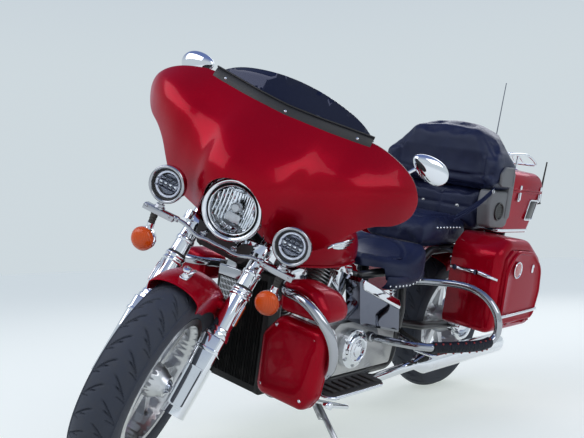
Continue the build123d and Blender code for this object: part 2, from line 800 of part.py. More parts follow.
def radiator():
    """Core with end tanks and upright slats, seated on the cradle's front tubes."""
    rear = cradle_front - frame_tube - seat_gap
    core = block((-radiator_half, radiator_half), (radiator_front + 10, rear), (236, 618))
    for x in (-1, 1):
        core += block((min(x * 108, x * radiator_half), max(x * 108, x * radiator_half)), (radiator_front, rear), (230, 622))
    for z in (230, 600):
        core += block((-radiator_half, radiator_half), (radiator_front, rear), (z, z + 22))
    for i in range(18):
        x = -102 + i * 12
        core += block((x - 1.5, x + 1.5), (radiator_front + 1, radiator_front + 12), (236, 618))
    core += block((-60, 60), (radiator_front + 6, rear), (618, 655))
    return core - both_sides(cradle(frame_tube + seat_gap))


muffler_x = 226.0
muffler_z = 246.0
muffler_radius = 44.0
pipe_radius = 19.0


def exhaust():
    """Two header pipes down the right side, a link under the frame and a muffler on each side."""
    front = tube([(-76, -322, 600), (-142, -306, 575), (-150, -306, 172), (-172, 180, 172), (-muffler_x, 262, muffler_z), (-muffler_x, 320, muffler_z)],
                 pipe_radius, (30, 45, 60, 40))
    rear = tube([(-76, -66, 590), (-97, -72, 560), (-99, -118, 470), (-150, -190, 430), (-156, -200, 180)], pipe_radius - 1, 20)
    link = tube([(-168, 150, 172), (-120, 190, 168), (120, 190, 168), (muffler_x, 262, muffler_z), (muffler_x, 320, muffler_z)], pipe_radius, (30, 60, 40))
    profile = [(0, 0), (0, 20), (60, muffler_radius), (700, muffler_radius), (745, muffler_radius * 0.66), (745, muffler_radius * 0.5), (700, muffler_radius * 0.5), (700, 0)]
    face = make_face(Plane.YZ * Polyline(*profile, close=True))
    can = Pos(muffler_x, 310, muffler_z) * revolve(face, Axis.Y, 360)
    hanger = rod((cradle_x + frame_tube + seat_gap + 1, 350, 330), (muffler_x - 16, 400, muffler_z + 30), 7)
    body = front + rear + link + both_sides(can + hanger)
    return body - bank_cutter() - both_sides(cradle(frame_tube + seat_gap))


# Tank and seats

# Tank sections: y, half width, bottom, top, corner radius
tank_sections = (
    (-394, 60, 625, 800, 45),
    (-325, 128, 600, 834, 70),
    (-205, 165, 590, 850, 80),
    (-80, 140, 600, 825, 75),
    (4, 92, 620, 752, 42),
)
tank_floor = 648.0
tunnel_half = 96.0
tunnel_top = 700.0


def section_loft(sections):
    faces = []
    for y, half, low, high, corner in sections:
        plane = Plane((0, y, (low + high) / 2), x_dir=(1, 0, 0), z_dir=(0, -1, 0))
        faces.append(plane * RectangleRounded(2 * half, high - low, corner))
    return loft(faces)


def fuel_tank():
    body = section_loft(tank_sections)
    body -= block((-300, 300), (-500, 200), (500, tank_floor))
    body -= block((-tunnel_half, tunnel_half), (-500, 200), (500, tunnel_top))
    body -= backbone(22 + seat_gap)
    body -= block((-22 - seat_gap, 22 + seat_gap), (-500, 200), (600, 735))
    return body


def tank_console():
    top = block((-46, 46), (-330, -40), (800, 858))
    top = fillet(top.edges().filter_by(Axis.Z), 30)
    top += rod((0, -190, 800), (0, -190, 866), 34)
    return top - section_loft(tank_sections) - backbone(22 + seat_gap)


# Seat sections: y, half width, bottom, top, corner radius
rider_sections = (
    (58, 90, 614, 676, 24),
    (130, 165, 586, 662, 30),
    (240, 202, 578, 660, 34),
    (330, 200, 590, 700, 40),
    (357, 160, 622, 742, 40),
)
rail_top = 606.0 + frame_tube


def rider_seat():
    body = section_loft(rider_sections)
    channel = rail_x + frame_tube + 1
    body -= block((-channel, channel), (0, 400), (500, rail_top + 1))
    return body - both_sides(seat_rail(frame_tube + seat_gap) + cradle(frame_tube + seat_gap))


# Passenger seat sections: y, half width, bottom, top, corner radius
passenger_sections = (
    (362, 150, 680, 790, 30),
    (440, 174, 680, 826, 45),
    (640, 174, 680, 832, 45),
    (698, 156, 680, 822, 40),
)


def passenger_seat():
    body = section_loft(passenger_sections)
    body -= block((-300, 300), (300, 900), (600, 700))
    body -= both_sides(seat_rail(frame_tube + seat_gap))
    top, foot = shock_line()
    return body - both_sides(cross_rod(top, rail_x, 300, 16) + rod(top, foot, 28))


rest_rear = 844.7
arm_rear = 794.7
arm_front = 612.0
crown_front = 642.0
# Corners of the backrest's crown and of its left arm seen from the front: x, z, corner radius
crown_corners = ((-212, 958.3, 14), (-222, 1100, 60), (-176, 1216, 62), (0, 1232, 300), (176, 1216, 62), (222, 1100, 60), (212, 958.3, 14))
arm_corners = ((205, 962, 16), (205, 1142, 20), (252, 1138, 34), (286, 1070, 30), (284, 962, 24))


def rounded_outline(corners):
    """A face in the XZ plane whose corners have their own radii."""
    points = [(x, z) for x, z, radius in corners]
    return make_face(Plane.XZ * FilletPolyline(*points, radius=[radius for x, z, radius in corners], close=True))


def passenger_backrest():
    """Wrap-round backrest: a crowned bolster across the trunk's front with an arm down each side."""
    crown = prism_y(rounded_outline(crown_corners), crown_front, rest_rear)
    crown = fillet(crown.faces().sort_by(Axis.Y)[0].edges(), 26)
    arm = prism_y(rounded_outline(arm_corners), arm_front, rest_rear)
    arm = fillet(arm.faces().sort_by(Axis.Y)[0].edges(), 15)
    body = crown + both_sides(arm)
    for side in (-1, 1):
        body -= block((min(side * 199.7, side * 400), max(side * 199.7, side * 400)), (arm_rear, 900), (700, 1060.3))
    return body


def lumbar_pad():
    return fillet(block((-198, 198), (698.3, rest_rear), (772, 957.7)).edges(), 14)


def speaker_pods():
    pod = block((200, 272), (arm_rear + seat_gap, rest_rear), (800, 1060))
    pod = fillet(pod.edges().filter_by(Axis.Y), 22)
    return both_sides(pod)


# Trunk


def trunk_shell(z_low, z_high, low, high, grow):
    """A tapered box between two heights; low and high are (half width, front, rear), all grown outwards."""
    faces = []
    for z, (half, front, rear) in ((z_low, low), (z_high, high)):
        centre = Plane((0, (front + rear) / 2, z))
        faces.append(centre * RectangleRounded(2 * (half + grow), rear - front + 2 * grow, 34 + grow))
    return loft(faces)


trunk_floor_size = (trunk_half - 31, trunk_front + 8, trunk_rear - 37)
trunk_rim_size = (trunk_half, trunk_front - 25, trunk_rear)
lid_rim_size = (trunk_half + 2, trunk_front - 18, trunk_rear + 2)
lid_top_size = (trunk_half - 39, trunk_front + 35, trunk_rear - 43)
hinge_x = -(trunk_half + 9)
hinge_radius = 5.0
hinge_rows = (930.0, 1120.0)
hinge_length = 24.0
lid_low = trunk_split + seat_gap


def trunk_base():
    body = trunk_shell(trunk_bottom, trunk_split, trunk_floor_size, trunk_rim_size, 0)
    body -= trunk_shell(trunk_bottom + trunk_wall, trunk_split + 0.01, trunk_floor_size, trunk_rim_size, -trunk_wall)
    for y in hinge_rows:
        body += rod((hinge_x, y, trunk_split), (hinge_x, y + hinge_length, trunk_split), hinge_radius)
        body += block((hinge_x, -trunk_half + 3), (y, y + hinge_length), (trunk_split - 16, trunk_split - 2))
    return body


def trunk_lid():
    body = trunk_shell(lid_low, trunk_top, lid_rim_size, lid_top_size, 0)
    body = fillet(body.faces().sort_by(Axis.Z)[-1].edges(), 22)
    body -= trunk_shell(lid_low - 0.01, trunk_top - trunk_wall, lid_rim_size, lid_top_size, -trunk_wall)
    for y in hinge_rows:
        start = y + hinge_length + seat_gap
        body += rod((hinge_x, start, trunk_split), (hinge_x, start + hinge_length, trunk_split), hinge_radius)
        body += block((hinge_x, -trunk_half + 3), (start, start + hinge_length), (trunk_split + 2, trunk_split + 16))
    return body


rack_radius = 6.0
rack_height = 1108.0


def luggage_rack():
    """Round-bar loop with cross bars on four feet, fixed to the trunk's lid."""
    loop = tube([(-168, 1010, rack_height), (-168, 935, rack_height), (168, 935, rack_height), (168, 1178, rack_height),
                 (-168, 1178, rack_height), (-168, 1012, rack_height)], rack_radius, 34)
    for x in (-84, 0, 84):
        loop += rod((x, 935, rack_height), (x, 1178, rack_height), rack_radius - 1)
    for x in (-120, 120):
        for y in (960, 1150):
            loop += rod((x, y, trunk_top + seat_gap), (x, y, rack_height - 8), rack_radius)
        loop += rod((x, 935, rack_height - 10), (x, 1178, rack_height - 10), rack_radius - 1)
    return loop


antenna_y = trunk_rear + 18.0


def antennas():
    body = Part()
    for x, height, radius in ((-226, 1390, 2.2), (226, 1135, 3.0)):
        body += block((x - 9, x + 9), (trunk_rear - 14, antenna_y + 6), (900, 922))
        body += rod((x, antenna_y, 905), (x, antenna_y, 990), 6)
        body += rod((x, antenna_y, 905), (x, antenna_y, height), radius)
    return body - trunk_shell(trunk_bottom, trunk_split, trunk_floor_size, trunk_rim_size, seat_gap)


# Saddlebags

# Side outline of a bag: y, z, corner radius
bag_corners = (
    (bag_front, bag_bottom, 26), (bag_front, 732, 64), (556, 786, 60), (748, 776, 90), (882, 700, 70), (bag_rear, 560, 70),
    (884, 430, 50), (840, bag_bottom, 24),
)
bag_lid_inset = 40.0
bag_lid_gap = 2.5
bag_round = 36.0
bag_hinge = (439.0, 439.0)
bag_hinge_radius = 5.5
bag_hinge_rows = (560.0, 760.0)
bag_knuckle = 26.0
bag_lid_proud = 20.0


def bag_outline(inset):
    points = [(y, z) for y, z, corner in bag_corners]
    face = make_face(Plane.YZ * FilletPolyline(*points, radius=[corner for y, z, corner in bag_corners], close=True))
    return offset(face, -inset) if inset else face


def saddlebags():
    return both_sides(bag_body())


def bag_body():
    outer = prism_x(bag_outline(0), bag_inner, bag_outer - bag_lid_proud)
    rim = outer.faces().sort_by(Axis.X)[-1].edges()
    outer = fillet(rim, bag_round)
    room = prism_x(bag_outline(bag_wall), bag_inner + bag_wall, bag_outer - bag_lid_proud - bag_round)
    mouth = prism_x(bag_outline(bag_lid_inset), bag_inner + bag_wall, 600)
    return outer - room - mouth + bag_knuckles(0, -8, -2)


def bag_knuckles(shift, leaf, clear):
    """Half of each hinge along the foot of the mouth, with a leaf up or down to the panel it belongs to."""
    x, z = bag_hinge
    knuckles = Part()
    for y in bag_hinge_rows:
        start = y + shift
        knuckles += rod((x, start, z), (x, start + bag_knuckle, z), bag_hinge_radius)
        knuckles += block((bag_outer - bag_lid_proud + clear, x), (start, start + bag_knuckle), (min(z, z + leaf), max(z, z + leaf)))
    return knuckles


def bag_cover():
    """The bag's outer side: a dished panel with a raised rim that fills the mouth."""
    depth = bag_lid_proud + 22
    panel = prism_x(bag_outline(bag_lid_inset + bag_lid_gap), bag_outer - depth, bag_outer)
    panel = chamfer(panel.faces().sort_by(Axis.X)[-1].edges(), 6)
    dish = prism_x(bag_outline(bag_lid_inset + 24), bag_outer - 5, bag_outer + 20)
    back = prism_x(bag_outline(bag_lid_inset + 14), bag_outer - depth - 1, bag_outer - 13)
    return panel - dish - back + bag_knuckles(bag_knuckle + seat_gap, 12, seat_gap)


rail_radius = 8.0


def bag_rails():
    """Bright rail across each bag's front and a trim along its foot."""
    y = bag_front - rail_radius - seat_gap
    rail = tube([(230, y, 640), (360, y, 640), (392, y, 634), (430, y + 14, 626)], rail_radius, (60, 30))
    return both_sides(rail - prism_x(bag_outline(-seat_gap), bag_inner, 600))


guard_radius = 15.0
guard_y = 445.0
rear_guard_path = ((112.6, 340, 556), (185, 405, 570), (379, guard_y, 588), (486, guard_y, 500), (482, guard_y, 388), (420, 215, 387), (330, 120, 374), (115.6, 128, 352))


def rear_guards():
    return both_sides(tube(rear_guard_path, guard_radius, (50, 60, 55, 36, 60, 55)) - cradle(frame_tube + seat_gap)
                      - block((0, case_half + seat_gap), (0, 300), (200, 450)))


# Rear end


rear_fender_radius = 356.0
rear_fender_half = 98.0


def rear_fender():
    guard = fender_arc(rear_axle, rear_fender_radius, rear_fender_half, 3, 58, -30, 108)
    stays = Part() + [rod((rear_fender_half - 2, y, 630), (rail_x, y, 690), 8) for y in (half_base - 50, half_base + 50)]
    return guard + both_sides(stays - seat_rail(frame_tube + seat_gap))


def tail_lamp():
    lamp = fillet(block((-84, 84), (1040, 1152), (548, 612)).edges().filter_by(Axis.Y), 24)
    return lamp - crown_body(rear_axle, rear_fender_radius, rear_fender_half)


plate_bolt_spacing = 160.0
plate_bolt = 3.5


def plate_bracket():
    """Blank steel carrier for a licence plate, on two arms from the fender."""
    z = 500
    carrier = block((-100, 100), (1196, 1200), (z - 62, z + 50))
    for side in (-1, 1):
        carrier += block((side * 40 - 9, side * 40 + 9), (1080, 1197), (z - 20, z + 14))
        carrier -= rod((side * plate_bolt_spacing / 2, 1180, z), (side * plate_bolt_spacing / 2, 1220, z), plate_bolt)
    return carrier - crown_body(rear_axle, rear_fender_radius, rear_fender_half)


# Guards, lowers and footboards


engine_guard_path = ((112.6, -395.6, 594), (172, -402, 598), (196, -508, 604), (330, -532, 606), (427, -484, 494), (362, -426, 338),
                     (112.6, -395.6, 232))


def guard_loop(radius):
    return tube(engine_guard_path, radius, (36, 36, 60, 55, 55))


def engine_guard():
    return both_sides(guard_loop(guard_tube) - cradle(frame_tube + seat_gap))


# Lower leg shield seen from the front: x, z, corner radius
shield_corners = ((133, 252, 30), (133, 452, 40), (198, 524, 40), (384, 514, 30), (390, 468, 30), (366, 304, 50), (330, 252, 30))


def leg_shields():
    """On each side a two-piece leg shield: a rounded box above the guard's rail and a curved shield below it."""
    upper = block((180, 378), (-498, -372), (532, 640))
    upper = fillet(upper.edges().filter_by(Axis.Y), 30)
    upper = fillet(upper.faces().sort_by(Axis.Y)[0].edges(), 20)
    shield = prism_y(rounded_outline(shield_corners), -505, -446)
    shield = fillet(shield.faces().sort_by(Axis.Y)[0].edges(), 16)
    return both_sides(upper + shield - guard_loop(guard_tube + seat_gap))


board_in, board_out = 270.0, 372.0
board_rows = (-362.0, -132.0)


def floorboards():
    deck_plate = block((board_in, board_out), (-400, -110), (286, 300))
    deck_plate = fillet(deck_plate.edges().filter_by(Axis.Z), 30)
    for y in board_rows:
        deck_plate += rod((cradle_x, y, cradle_bottom - 2), (board_in + 20, y, 284), 8)
    boards = deck_plate - cradle(frame_tube + seat_gap) - guard_loop(guard_tube + seat_gap)
    return both_sides(boards + passenger_board())


def passenger_board():
    deck_plate = fillet(block((250, 350), (235, 385), (322, 334)).edges().filter_by(Axis.Z), 25)
    deck_plate += rod((cradle_x, 352, 352), (262, 320, 328), 8)
    return deck_plate - cradle(frame_tube + seat_gap)


def foot_controls():
    lever = rod((cradle_x, -332, cradle_bottom - 3), (392, -338, 262), 7)
    lever += rod((392, -338, 262), (392, -440, 286), 6) + rod((380, -440, 288), (404, -440, 288), 11)
    return both_sides(lever - cradle(frame_tube + seat_gap))


bracket_up = upper_yoke - 95


def fairing_bracket():
    """Clamps on the fork tubes that carry the fairing's rear moulding."""
    body = Part()
    ring_foot = fork_point(0, leg_forward, bracket_up)
    for side in (-1, 1):
        ring = fork_plane(fork_leg(side), leg_forward, bracket_up) * Cylinder(fork_tube_radius + 8, 24, align=MIN_UP)
        near, far = sorted((side * (fork_leg(1) + 20), side * 205))
        arm = block((near, far), (ring_foot.Y - 5, fairing_inner_rear - fairing_inner_wall - seat_gap), (ring_foot.Z + 9, ring_foot.Z + 33))
        bore = fork_plane(fork_leg(side), leg_forward, bracket_up - 85) * Cylinder(fork_tube_radius + seat_gap, 200, align=MIN_UP)
        body += ring + arm - bore
    return body


def side_stand():
    turn = stand_axis()
    foot = stand_foot()
    down = (foot - stand_pivot).normalized()
    eye = rod(stand_pivot - turn * stand_half, stand_pivot + turn * stand_half, stand_eye)
    leg = rod(stand_pivot, stand_pivot + down * 46, stand_half - 0.5)
    leg += rod(stand_pivot + down * 44, foot + ground_normal * 10, stand_leg)
    pad = Plane(foot, z_dir=ground_normal) * Cylinder(foot_radius, 9, align=MIN_UP)
    bore = rod(stand_pivot - turn * 30, stand_pivot + turn * 30, stand_pin + running_clearance)
    return eye + leg + pad - bore


# Stance on the floor


def steered(shape):
    return shape.rotate(steering_axis, steer_lock_deg)


def turn_vector(vector, axis, degrees):
    angle = math.radians(degrees)
    return vector * math.cos(angle) + axis.cross(vector) * math.sin(angle) + axis * (axis.dot(vector) * (1 - math.cos(angle)))


def floor_normal(pitch):
    lean = math.radians(lean_deg)
    return Vector(-math.sin(lean) * math.cos(pitch), math.sin(pitch), math.cos(lean) * math.cos(pitch))


def lowest(centre, spin_axis, radius, width, normal):
    """Height over the floor's direction of a round-section tyre's lowest point."""
    along = spin_axis.dot(normal)
    return centre.dot(normal) - (radius - width / 2) * math.sqrt(1 - along ** 2) - width / 2


def floor_heights(pitch):
    normal = floor_normal(pitch)
    centre = steer_foot + turn_vector(front_axle - steer_foot, steer_up, steer_lock_deg)
    spin = turn_vector(Vector(1, 0, 0), steer_up, steer_lock_deg)
    front = lowest(centre, spin, front_tyre_radius, front_tyre_width, normal)
    rear = lowest(rear_axle, Vector(1, 0, 0), rear_tyre_radius, rear_tyre_width, normal)
    return front, rear


def settle():
    """The pitch at which both tyres touch the floor, by bisection."""
    low, high = -0.1, 0.1
    for _ in range(60):
        middle = (low + high) / 2
        front, rear = floor_heights(middle)
        low, high = (middle, high) if rear < front else (low, middle)
    return (low + high) / 2


ground_pitch = settle()
ground_normal = floor_normal(ground_pitch)
ground_height = min(floor_heights(ground_pitch))


def stand_foot():
    """Where the stand's pad meets the floor."""
    x, y = stand_foot_xy
    z = (ground_height - ground_normal.X * x - ground_normal.Y * y) / ground_normal.Z
    return Vector(x, y, z)


# Every piece: node, builder, whether it turns with the steering
pieces = (
    ("frame", frame, False),
    ("swingarm", swingarm, False),
    ("rear_axle", rear_axle_shaft, False),
    ("final_drive", final_drive, False),
    ("rear_shocks", rear_shocks, False),
    ("crankcase", crankcase, False),
    ("cylinders", cylinders, False),
    ("rocker_covers", rocker_covers, False),
    ("engine_covers", engine_covers, False),
    ("side_covers", side_covers, False),
    ("air_cleaner", air_cleaner, False),
    ("radiator", radiator, False),
    ("exhaust", exhaust, False),
    ("fuel_tank", fuel_tank, False),
    ("tank_console", tank_console, False),
    ("rider_seat", rider_seat, False),
    ("passenger_seat", passenger_seat, False),
    ("passenger_backrest", passenger_backrest, False),
    ("lumbar_pad", lumbar_pad, False),
    ("speaker_pods", speaker_pods, False),
    ("trunk_base", trunk_base, False),
    ("trunk_lid", trunk_lid, False),
    ("luggage_rack", luggage_rack, False),
    ("antennas", antennas, False),
    ("saddlebags", saddlebags, False),
    ("left_bag_lid", bag_cover, False),
    ("right_bag_lid", lambda: mirror(bag_cover(), Plane.YZ), False),
    ("bag_rails", bag_rails, False),
    ("rear_guards", rear_guards, False),
    ("rear_fender", rear_fender, False),
    ("tail_lamp", tail_lamp, False),
    ("plate_bracket", plate_bracket, False),
    ("engine_guard", engine_guard, False),
    ("leg_shields", leg_shields, False),
    ("floorboards", floorboards, False),
    ("foot_controls", foot_controls, False),
    ("side_stand", side_stand, False),
    ("rear_wheel", rear_rim, False),
    ("rear_tyre", lambda: tyre(rear_axle, rear_tyre_radius, rear_tyre_width), False),
    ("fork_legs", fork_legs, True),
    ("fork_covers", fork_covers, True),
    ("triple_clamps", triple_clamps, True),
    ("fairing_bracket", fairing_bracket, True),
    ("front_axle", front_axle_shaft, True),
    ("front_caliper", front_caliper, True),
    ("front_fender", front_fender, True),
    ("fender_ornament", fender_ornament, True),
    ("fairing_outer", fairing_outer, True),
    ("fairing_inner", fairing_inner, True),
    ("windshield", windshield, True),
    ("headlight", headlight, True),
    ("driving_lamps", driving_lamps, True),
    ("light_bar", light_bar, True),
    ("turn_signals", turn_signals, True),
    ("handlebar", handlebar, True),
    ("mirrors", mirrors, True),
    ("front_wheel", front_rim, True),
    ("front_tyre", lambda: tyre(front_axle, front_tyre_radius, front_tyre_width), True),
)


def parked(shape, shift):
    """The upright machine leaned onto its stand, then moved so that the floor is z = 0."""
    leaned = Rot(math.degrees(ground_pitch), 0, 0) * (Rot(0, lean_deg, 0) * shape)
    return Pos(shift.X, shift.Y, shift.Z) * leaned


def main():
    os.makedirs("parts", exist_ok=True)
    upright = {}
    for node, builder, turns in pieces:
        shape = builder()
        upright[node] = steered(shape) if turns else shape
    boxes = [parked(shape, Vector(0, 0, 0)).bounding_box() for shape in upright.values()]
    low = Vector(*(min(getattr(b.min, k) for b in boxes) for k in "XYZ"))
    high = Vector(*(max(getattr(b.max, k) for b in boxes) for k in "XYZ"))
    shift = Vector(-(low.X + high.X) / 2, -(low.Y + high.Y) / 2, -ground_height)
    for node, shape in upright.items():
        export_step(parked(shape, shift), f"parts/{node}.step")
    print(f"moved by x {shift.X:.6f} y {shift.Y:.6f} z {shift.Z:.6f} mm after leaning")


if __name__ == "__main__":
    main()
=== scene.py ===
"""Touring cruiser parked on its side stand, its bars on the left stop.

Paint, chrome, leather, lamps and trim are built round the CAD frame. Lengths are in metres.
"""

import json
import math
import random

import bmesh
import bpy
from mathutils import Matrix, Vector
from mathutils.noise import noise as wobble

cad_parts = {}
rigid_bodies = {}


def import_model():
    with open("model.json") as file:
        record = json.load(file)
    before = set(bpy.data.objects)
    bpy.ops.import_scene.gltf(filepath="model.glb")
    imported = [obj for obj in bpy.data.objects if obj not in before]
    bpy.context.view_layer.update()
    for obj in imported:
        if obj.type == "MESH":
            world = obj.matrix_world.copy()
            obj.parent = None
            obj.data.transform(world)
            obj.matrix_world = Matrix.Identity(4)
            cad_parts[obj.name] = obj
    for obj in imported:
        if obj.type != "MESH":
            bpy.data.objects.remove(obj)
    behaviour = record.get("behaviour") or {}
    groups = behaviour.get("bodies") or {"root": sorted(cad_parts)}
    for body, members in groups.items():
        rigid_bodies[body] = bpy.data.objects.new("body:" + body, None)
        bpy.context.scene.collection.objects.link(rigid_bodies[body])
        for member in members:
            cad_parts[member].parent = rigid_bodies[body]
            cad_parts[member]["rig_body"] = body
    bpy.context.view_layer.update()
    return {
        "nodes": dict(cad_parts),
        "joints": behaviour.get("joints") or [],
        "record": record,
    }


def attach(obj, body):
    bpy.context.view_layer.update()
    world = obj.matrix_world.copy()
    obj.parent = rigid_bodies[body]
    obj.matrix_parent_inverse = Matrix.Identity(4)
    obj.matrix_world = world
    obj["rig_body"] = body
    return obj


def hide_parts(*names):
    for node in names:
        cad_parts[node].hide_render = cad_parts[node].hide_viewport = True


bl_info = {
    "name": "Touring cruiser",
    "version": (1, 0, 0),
    "blender": (4, 5, 0),
    "location": "3D View > Sidebar > Cruiser",
    "description": "Builds the visible pieces, finishes, light and camera of a parked touring cruiser",
    "category": "Object",
}

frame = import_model()
joints = {joint["name"]: joint for joint in frame["joints"]}

# The bike's own upright frame: x to its left, y to its rear, z up from the ground at mid wheelbase
half_base = 0.8325
trail = 0.165
rake = math.radians(32.0)
lock = math.radians(32.6)
front_radius = 0.32
rear_radius = 0.323
rim_radius = 0.204
leg_half = 0.12
leg_forward = 0.03
across = Vector(joints["rear_wheel_spin"]["axis"])
rearward = -Vector(joints["trunk_lid_hinge"]["axis"])
upward = across.cross(rearward)
stance = Matrix((across, rearward, upward)).transposed().to_4x4()
stance.translation = Vector(joints["rear_wheel_spin"]["pos_m"]) - stance @ Vector((0, half_base, rear_radius))
head_foot = Vector((0, -half_base - trail, 0))
head_up = Vector((0, math.sin(rake), math.cos(rake)))
head_forward = Vector((0, -math.cos(rake), math.sin(rake)))
steered = stance @ Matrix.Translation(head_foot) @ Matrix.Rotation(lock, 4, head_up)
steered = steered @ Matrix.Translation(-head_foot)
front_axle = Vector((0, -half_base, front_radius))
rear_axle = Vector((0, half_base, rear_radius))
both_sides = ((1, "left"), (-1, "right"))


def fork_point(x, forward, up):
    """A point near the fork: across the bike, ahead of the steering axis and up along it."""
    return head_foot + Vector((x, 0, 0)) + head_forward * forward + head_up * up


# Shader maths


class Signal:
    """One output of a shader tree, so that a pattern is written as a sum."""

    def __init__(self, finish, socket):
        self.finish = finish
        self.socket = socket

    def maths(self, operation, *operands):
        return self.finish.node("Math", {"operation": operation}, dict(enumerate(operands)))

    def __add__(self, other):
        return self.maths("ADD", self, other)

    def __sub__(self, other):
        return self.maths("SUBTRACT", self, other)

    def __rsub__(self, other):
        return self.maths("SUBTRACT", other, self)

    def __mul__(self, other):
        return self.maths("MULTIPLY", self, other)

    def __lt__(self, other):
        return self.maths("LESS_THAN", self, other)

    __radd__ = __add__
    __rmul__ = __mul__

    def sine(self):
        return self.maths("SINE", self)

    def between(self, low, high):
        """The signal mapped smoothly from a range to 0 and 1, and held at its ends."""
        values = {"Value": self, "From Min": low, "From Max": high, "To Min": 0.0, "To Max": 1.0}
        return self.finish.node("MapRange", {"interpolation_type": "SMOOTHSTEP"}, values)


class Finish:
    """A material being mixed: a Principled shader and the nodes that feed it."""

    def __init__(self, name, **constants):
        self.material = bpy.data.materials.new(name)
        self.material.use_nodes = True
        self.tree = self.material.node_tree
        self.shader = self.tree.nodes["Principled BSDF"]
        for key, value in constants.items():
            self.shader.inputs[key.replace("_", " ").title().replace("Ior", "IOR")].default_value = value

    def node(self, kind, settings=None, values=None, output=0):
        made = self.tree.nodes.new("ShaderNode" + kind)
        for key, setting in (settings or {}).items():
            setattr(made, key, setting)
        for key, value in (values or {}).items():
            socket = made.inputs[key]
            if isinstance(value, Signal):
                self.tree.links.new(value.socket, socket)
            elif hasattr(socket.default_value, "__len__") and len(socket.default_value) == 4:
                socket.default_value = (*value, 1.0)
            else:
                socket.default_value = value
        return Signal(self, made.outputs[output])

    def feed(self, **links):
        for key, value in links.items():
            self.tree.links.new(value.socket, self.shader.inputs[key.replace("_", " ").title()])
        return self

    def place(self, scale=(1, 1, 1), turn=(0, 0, 0)):
        """Coordinates on the object, turned and stretched."""
        coordinates = self.node("TexCoord", output=3)
        shrink = tuple(1 / s for s in scale)
        values = {"Vector": coordinates, "Rotation": turn, "Scale": shrink}
        return self.node("Mapping", {"vector_type": "TEXTURE"}, values)

    def noise(self, scale, detail=3.0, roughness=0.55, at=None):
        values = {"Scale": scale, "Detail": detail, "Roughness": roughness, "Vector": at or self.place()}
        return self.node("TexNoise", None, values)

    def cells(self, scale, feature="F1", at=None, output=0):
        return self.node(
            "TexVoronoi", {"feature": feature}, {"Scale": scale, "Vector": at or self.place()}, output,
        )

    def axis(self, index):
        return self.node("SeparateXYZ", None, {0: self.place()}, index)

    def mix(self, low, high, amount):
        """One colour towards another by an amount from 0 to 1."""
        settings = {"data_type": "RGBA"}
        return self.node("Mix", settings, {0: amount, 6: low, 7: high}, 2)

    def maximum(self, first, *others):
        for other in others:
            first = self.node("Math", {"operation": "MAXIMUM"}, {0: first, 1: other})
        return first

    def relief(self, height, depth, strength=1.0, under=None):
        """Bumps of a real depth in metres."""
        values = {"Height": height, "Distance": depth, "Strength": strength}
        if under:
            values["Normal"] = under
        return self.node("Bump", None, values)


def finish_red_paint(colour):
    """Candy red: metal flake under a clear coat, a little road dust."""
    # The magenta-violet tint of the reflections is partly the candy coat's own tint and partly a painted
    # violet sky reflection.
    f = Finish(
        "candy_red", Coat_Weight=0.3, Coat_Roughness=0.02, Coat_IOR=1.33, Specular_IOR_Level=0.1,
        Specular_Tint=(0.95, 0.22, 0.62, 1.0),
    )
    flake = f.cells(2600.0, output=1)
    sparkle = f.node("SeparateColor", None, {0: flake})
    drift = f.noise(3.0, 2.0)
    dust = f.noise(34.0, 6.0, 0.7).between(0.56, 0.86)
    deep = tuple(c * 0.72 for c in colour)
    tone = f.mix(deep, colour, drift.between(0.3, 0.7))
    tone = f.mix(tone, (min(1.0, colour[0] * 1.25), colour[1] * 2.2, colour[2] * 2.0), sparkle * 0.3)
    f.feed(
        base_color=f.mix(tone, (0.36, 0.14, 0.13), dust * 0.03),
        metallic=0.16 + sparkle * 0.22,
        roughness=0.2 + sparkle * 0.12 + dust * 0.12,
        normal=f.relief(f.noise(260.0, 2.0), 0.00004, 0.25),
    )
    return f.material


def finish_chrome(name="chrome", tint=(0.78, 0.8, 0.84), base_rough=0.03, wear=0.07):
    """Plated metal with hazed patches, wipe marks and a few pits."""
    f = Finish(name, Metallic=1.0)
    haze = f.noise(18.0, 5.0, 0.65).between(0.52, 0.85)
    wipes = f.noise(150.0, 2.0, at=f.place((1.0, 0.12, 1.0), (0.3, 0.2, 0.6))).between(0.55, 0.8)
    pits = f.cells(420.0) < 0.06
    f.feed(
        base_color=f.mix(tint, tuple(c * 0.66 for c in tint), haze * 0.4 + pits * 0.3),
        roughness=base_rough + haze * wear + wipes * 0.03 + pits * 0.2,
        normal=f.relief(f.noise(40.0, 2.0), 0.0001, 0.03),
    )
    return f.material


def finish_metal(name, colour, rough, grain, depth, metallic=1.0, stretch=(1, 1, 1), coat=0.0):
    """Cast, painted or brushed metal: grain, oily grime in patches and fine scratches."""
    f = Finish(name, Coat_Weight=coat, Coat_Roughness=0.15)
    grime = (0.1, 0.09, 0.08)
    at = f.place(stretch)
    fine = f.noise(grain, 4.0, 0.6, at)
    patches = f.noise(19.0, 6.0, 0.68).between(0.5, 0.78)
    scratches = f.noise(90.0, 2.0, at=f.place((1.0, 0.04, 0.7), (0.5, 0.9, 0.2))).between(0.66, 0.74)
    tone = f.mix(colour, grime, patches * 0.34)
    f.feed(
        base_color=f.mix(tone, tuple(min(1.0, c * 1.35) for c in colour), scratches * 0.4),
        metallic=metallic - patches * 0.25,
        roughness=rough + fine * 0.12 + patches * 0.18,
        normal=f.relief(fine, depth, 0.5),
    )
    return f.material


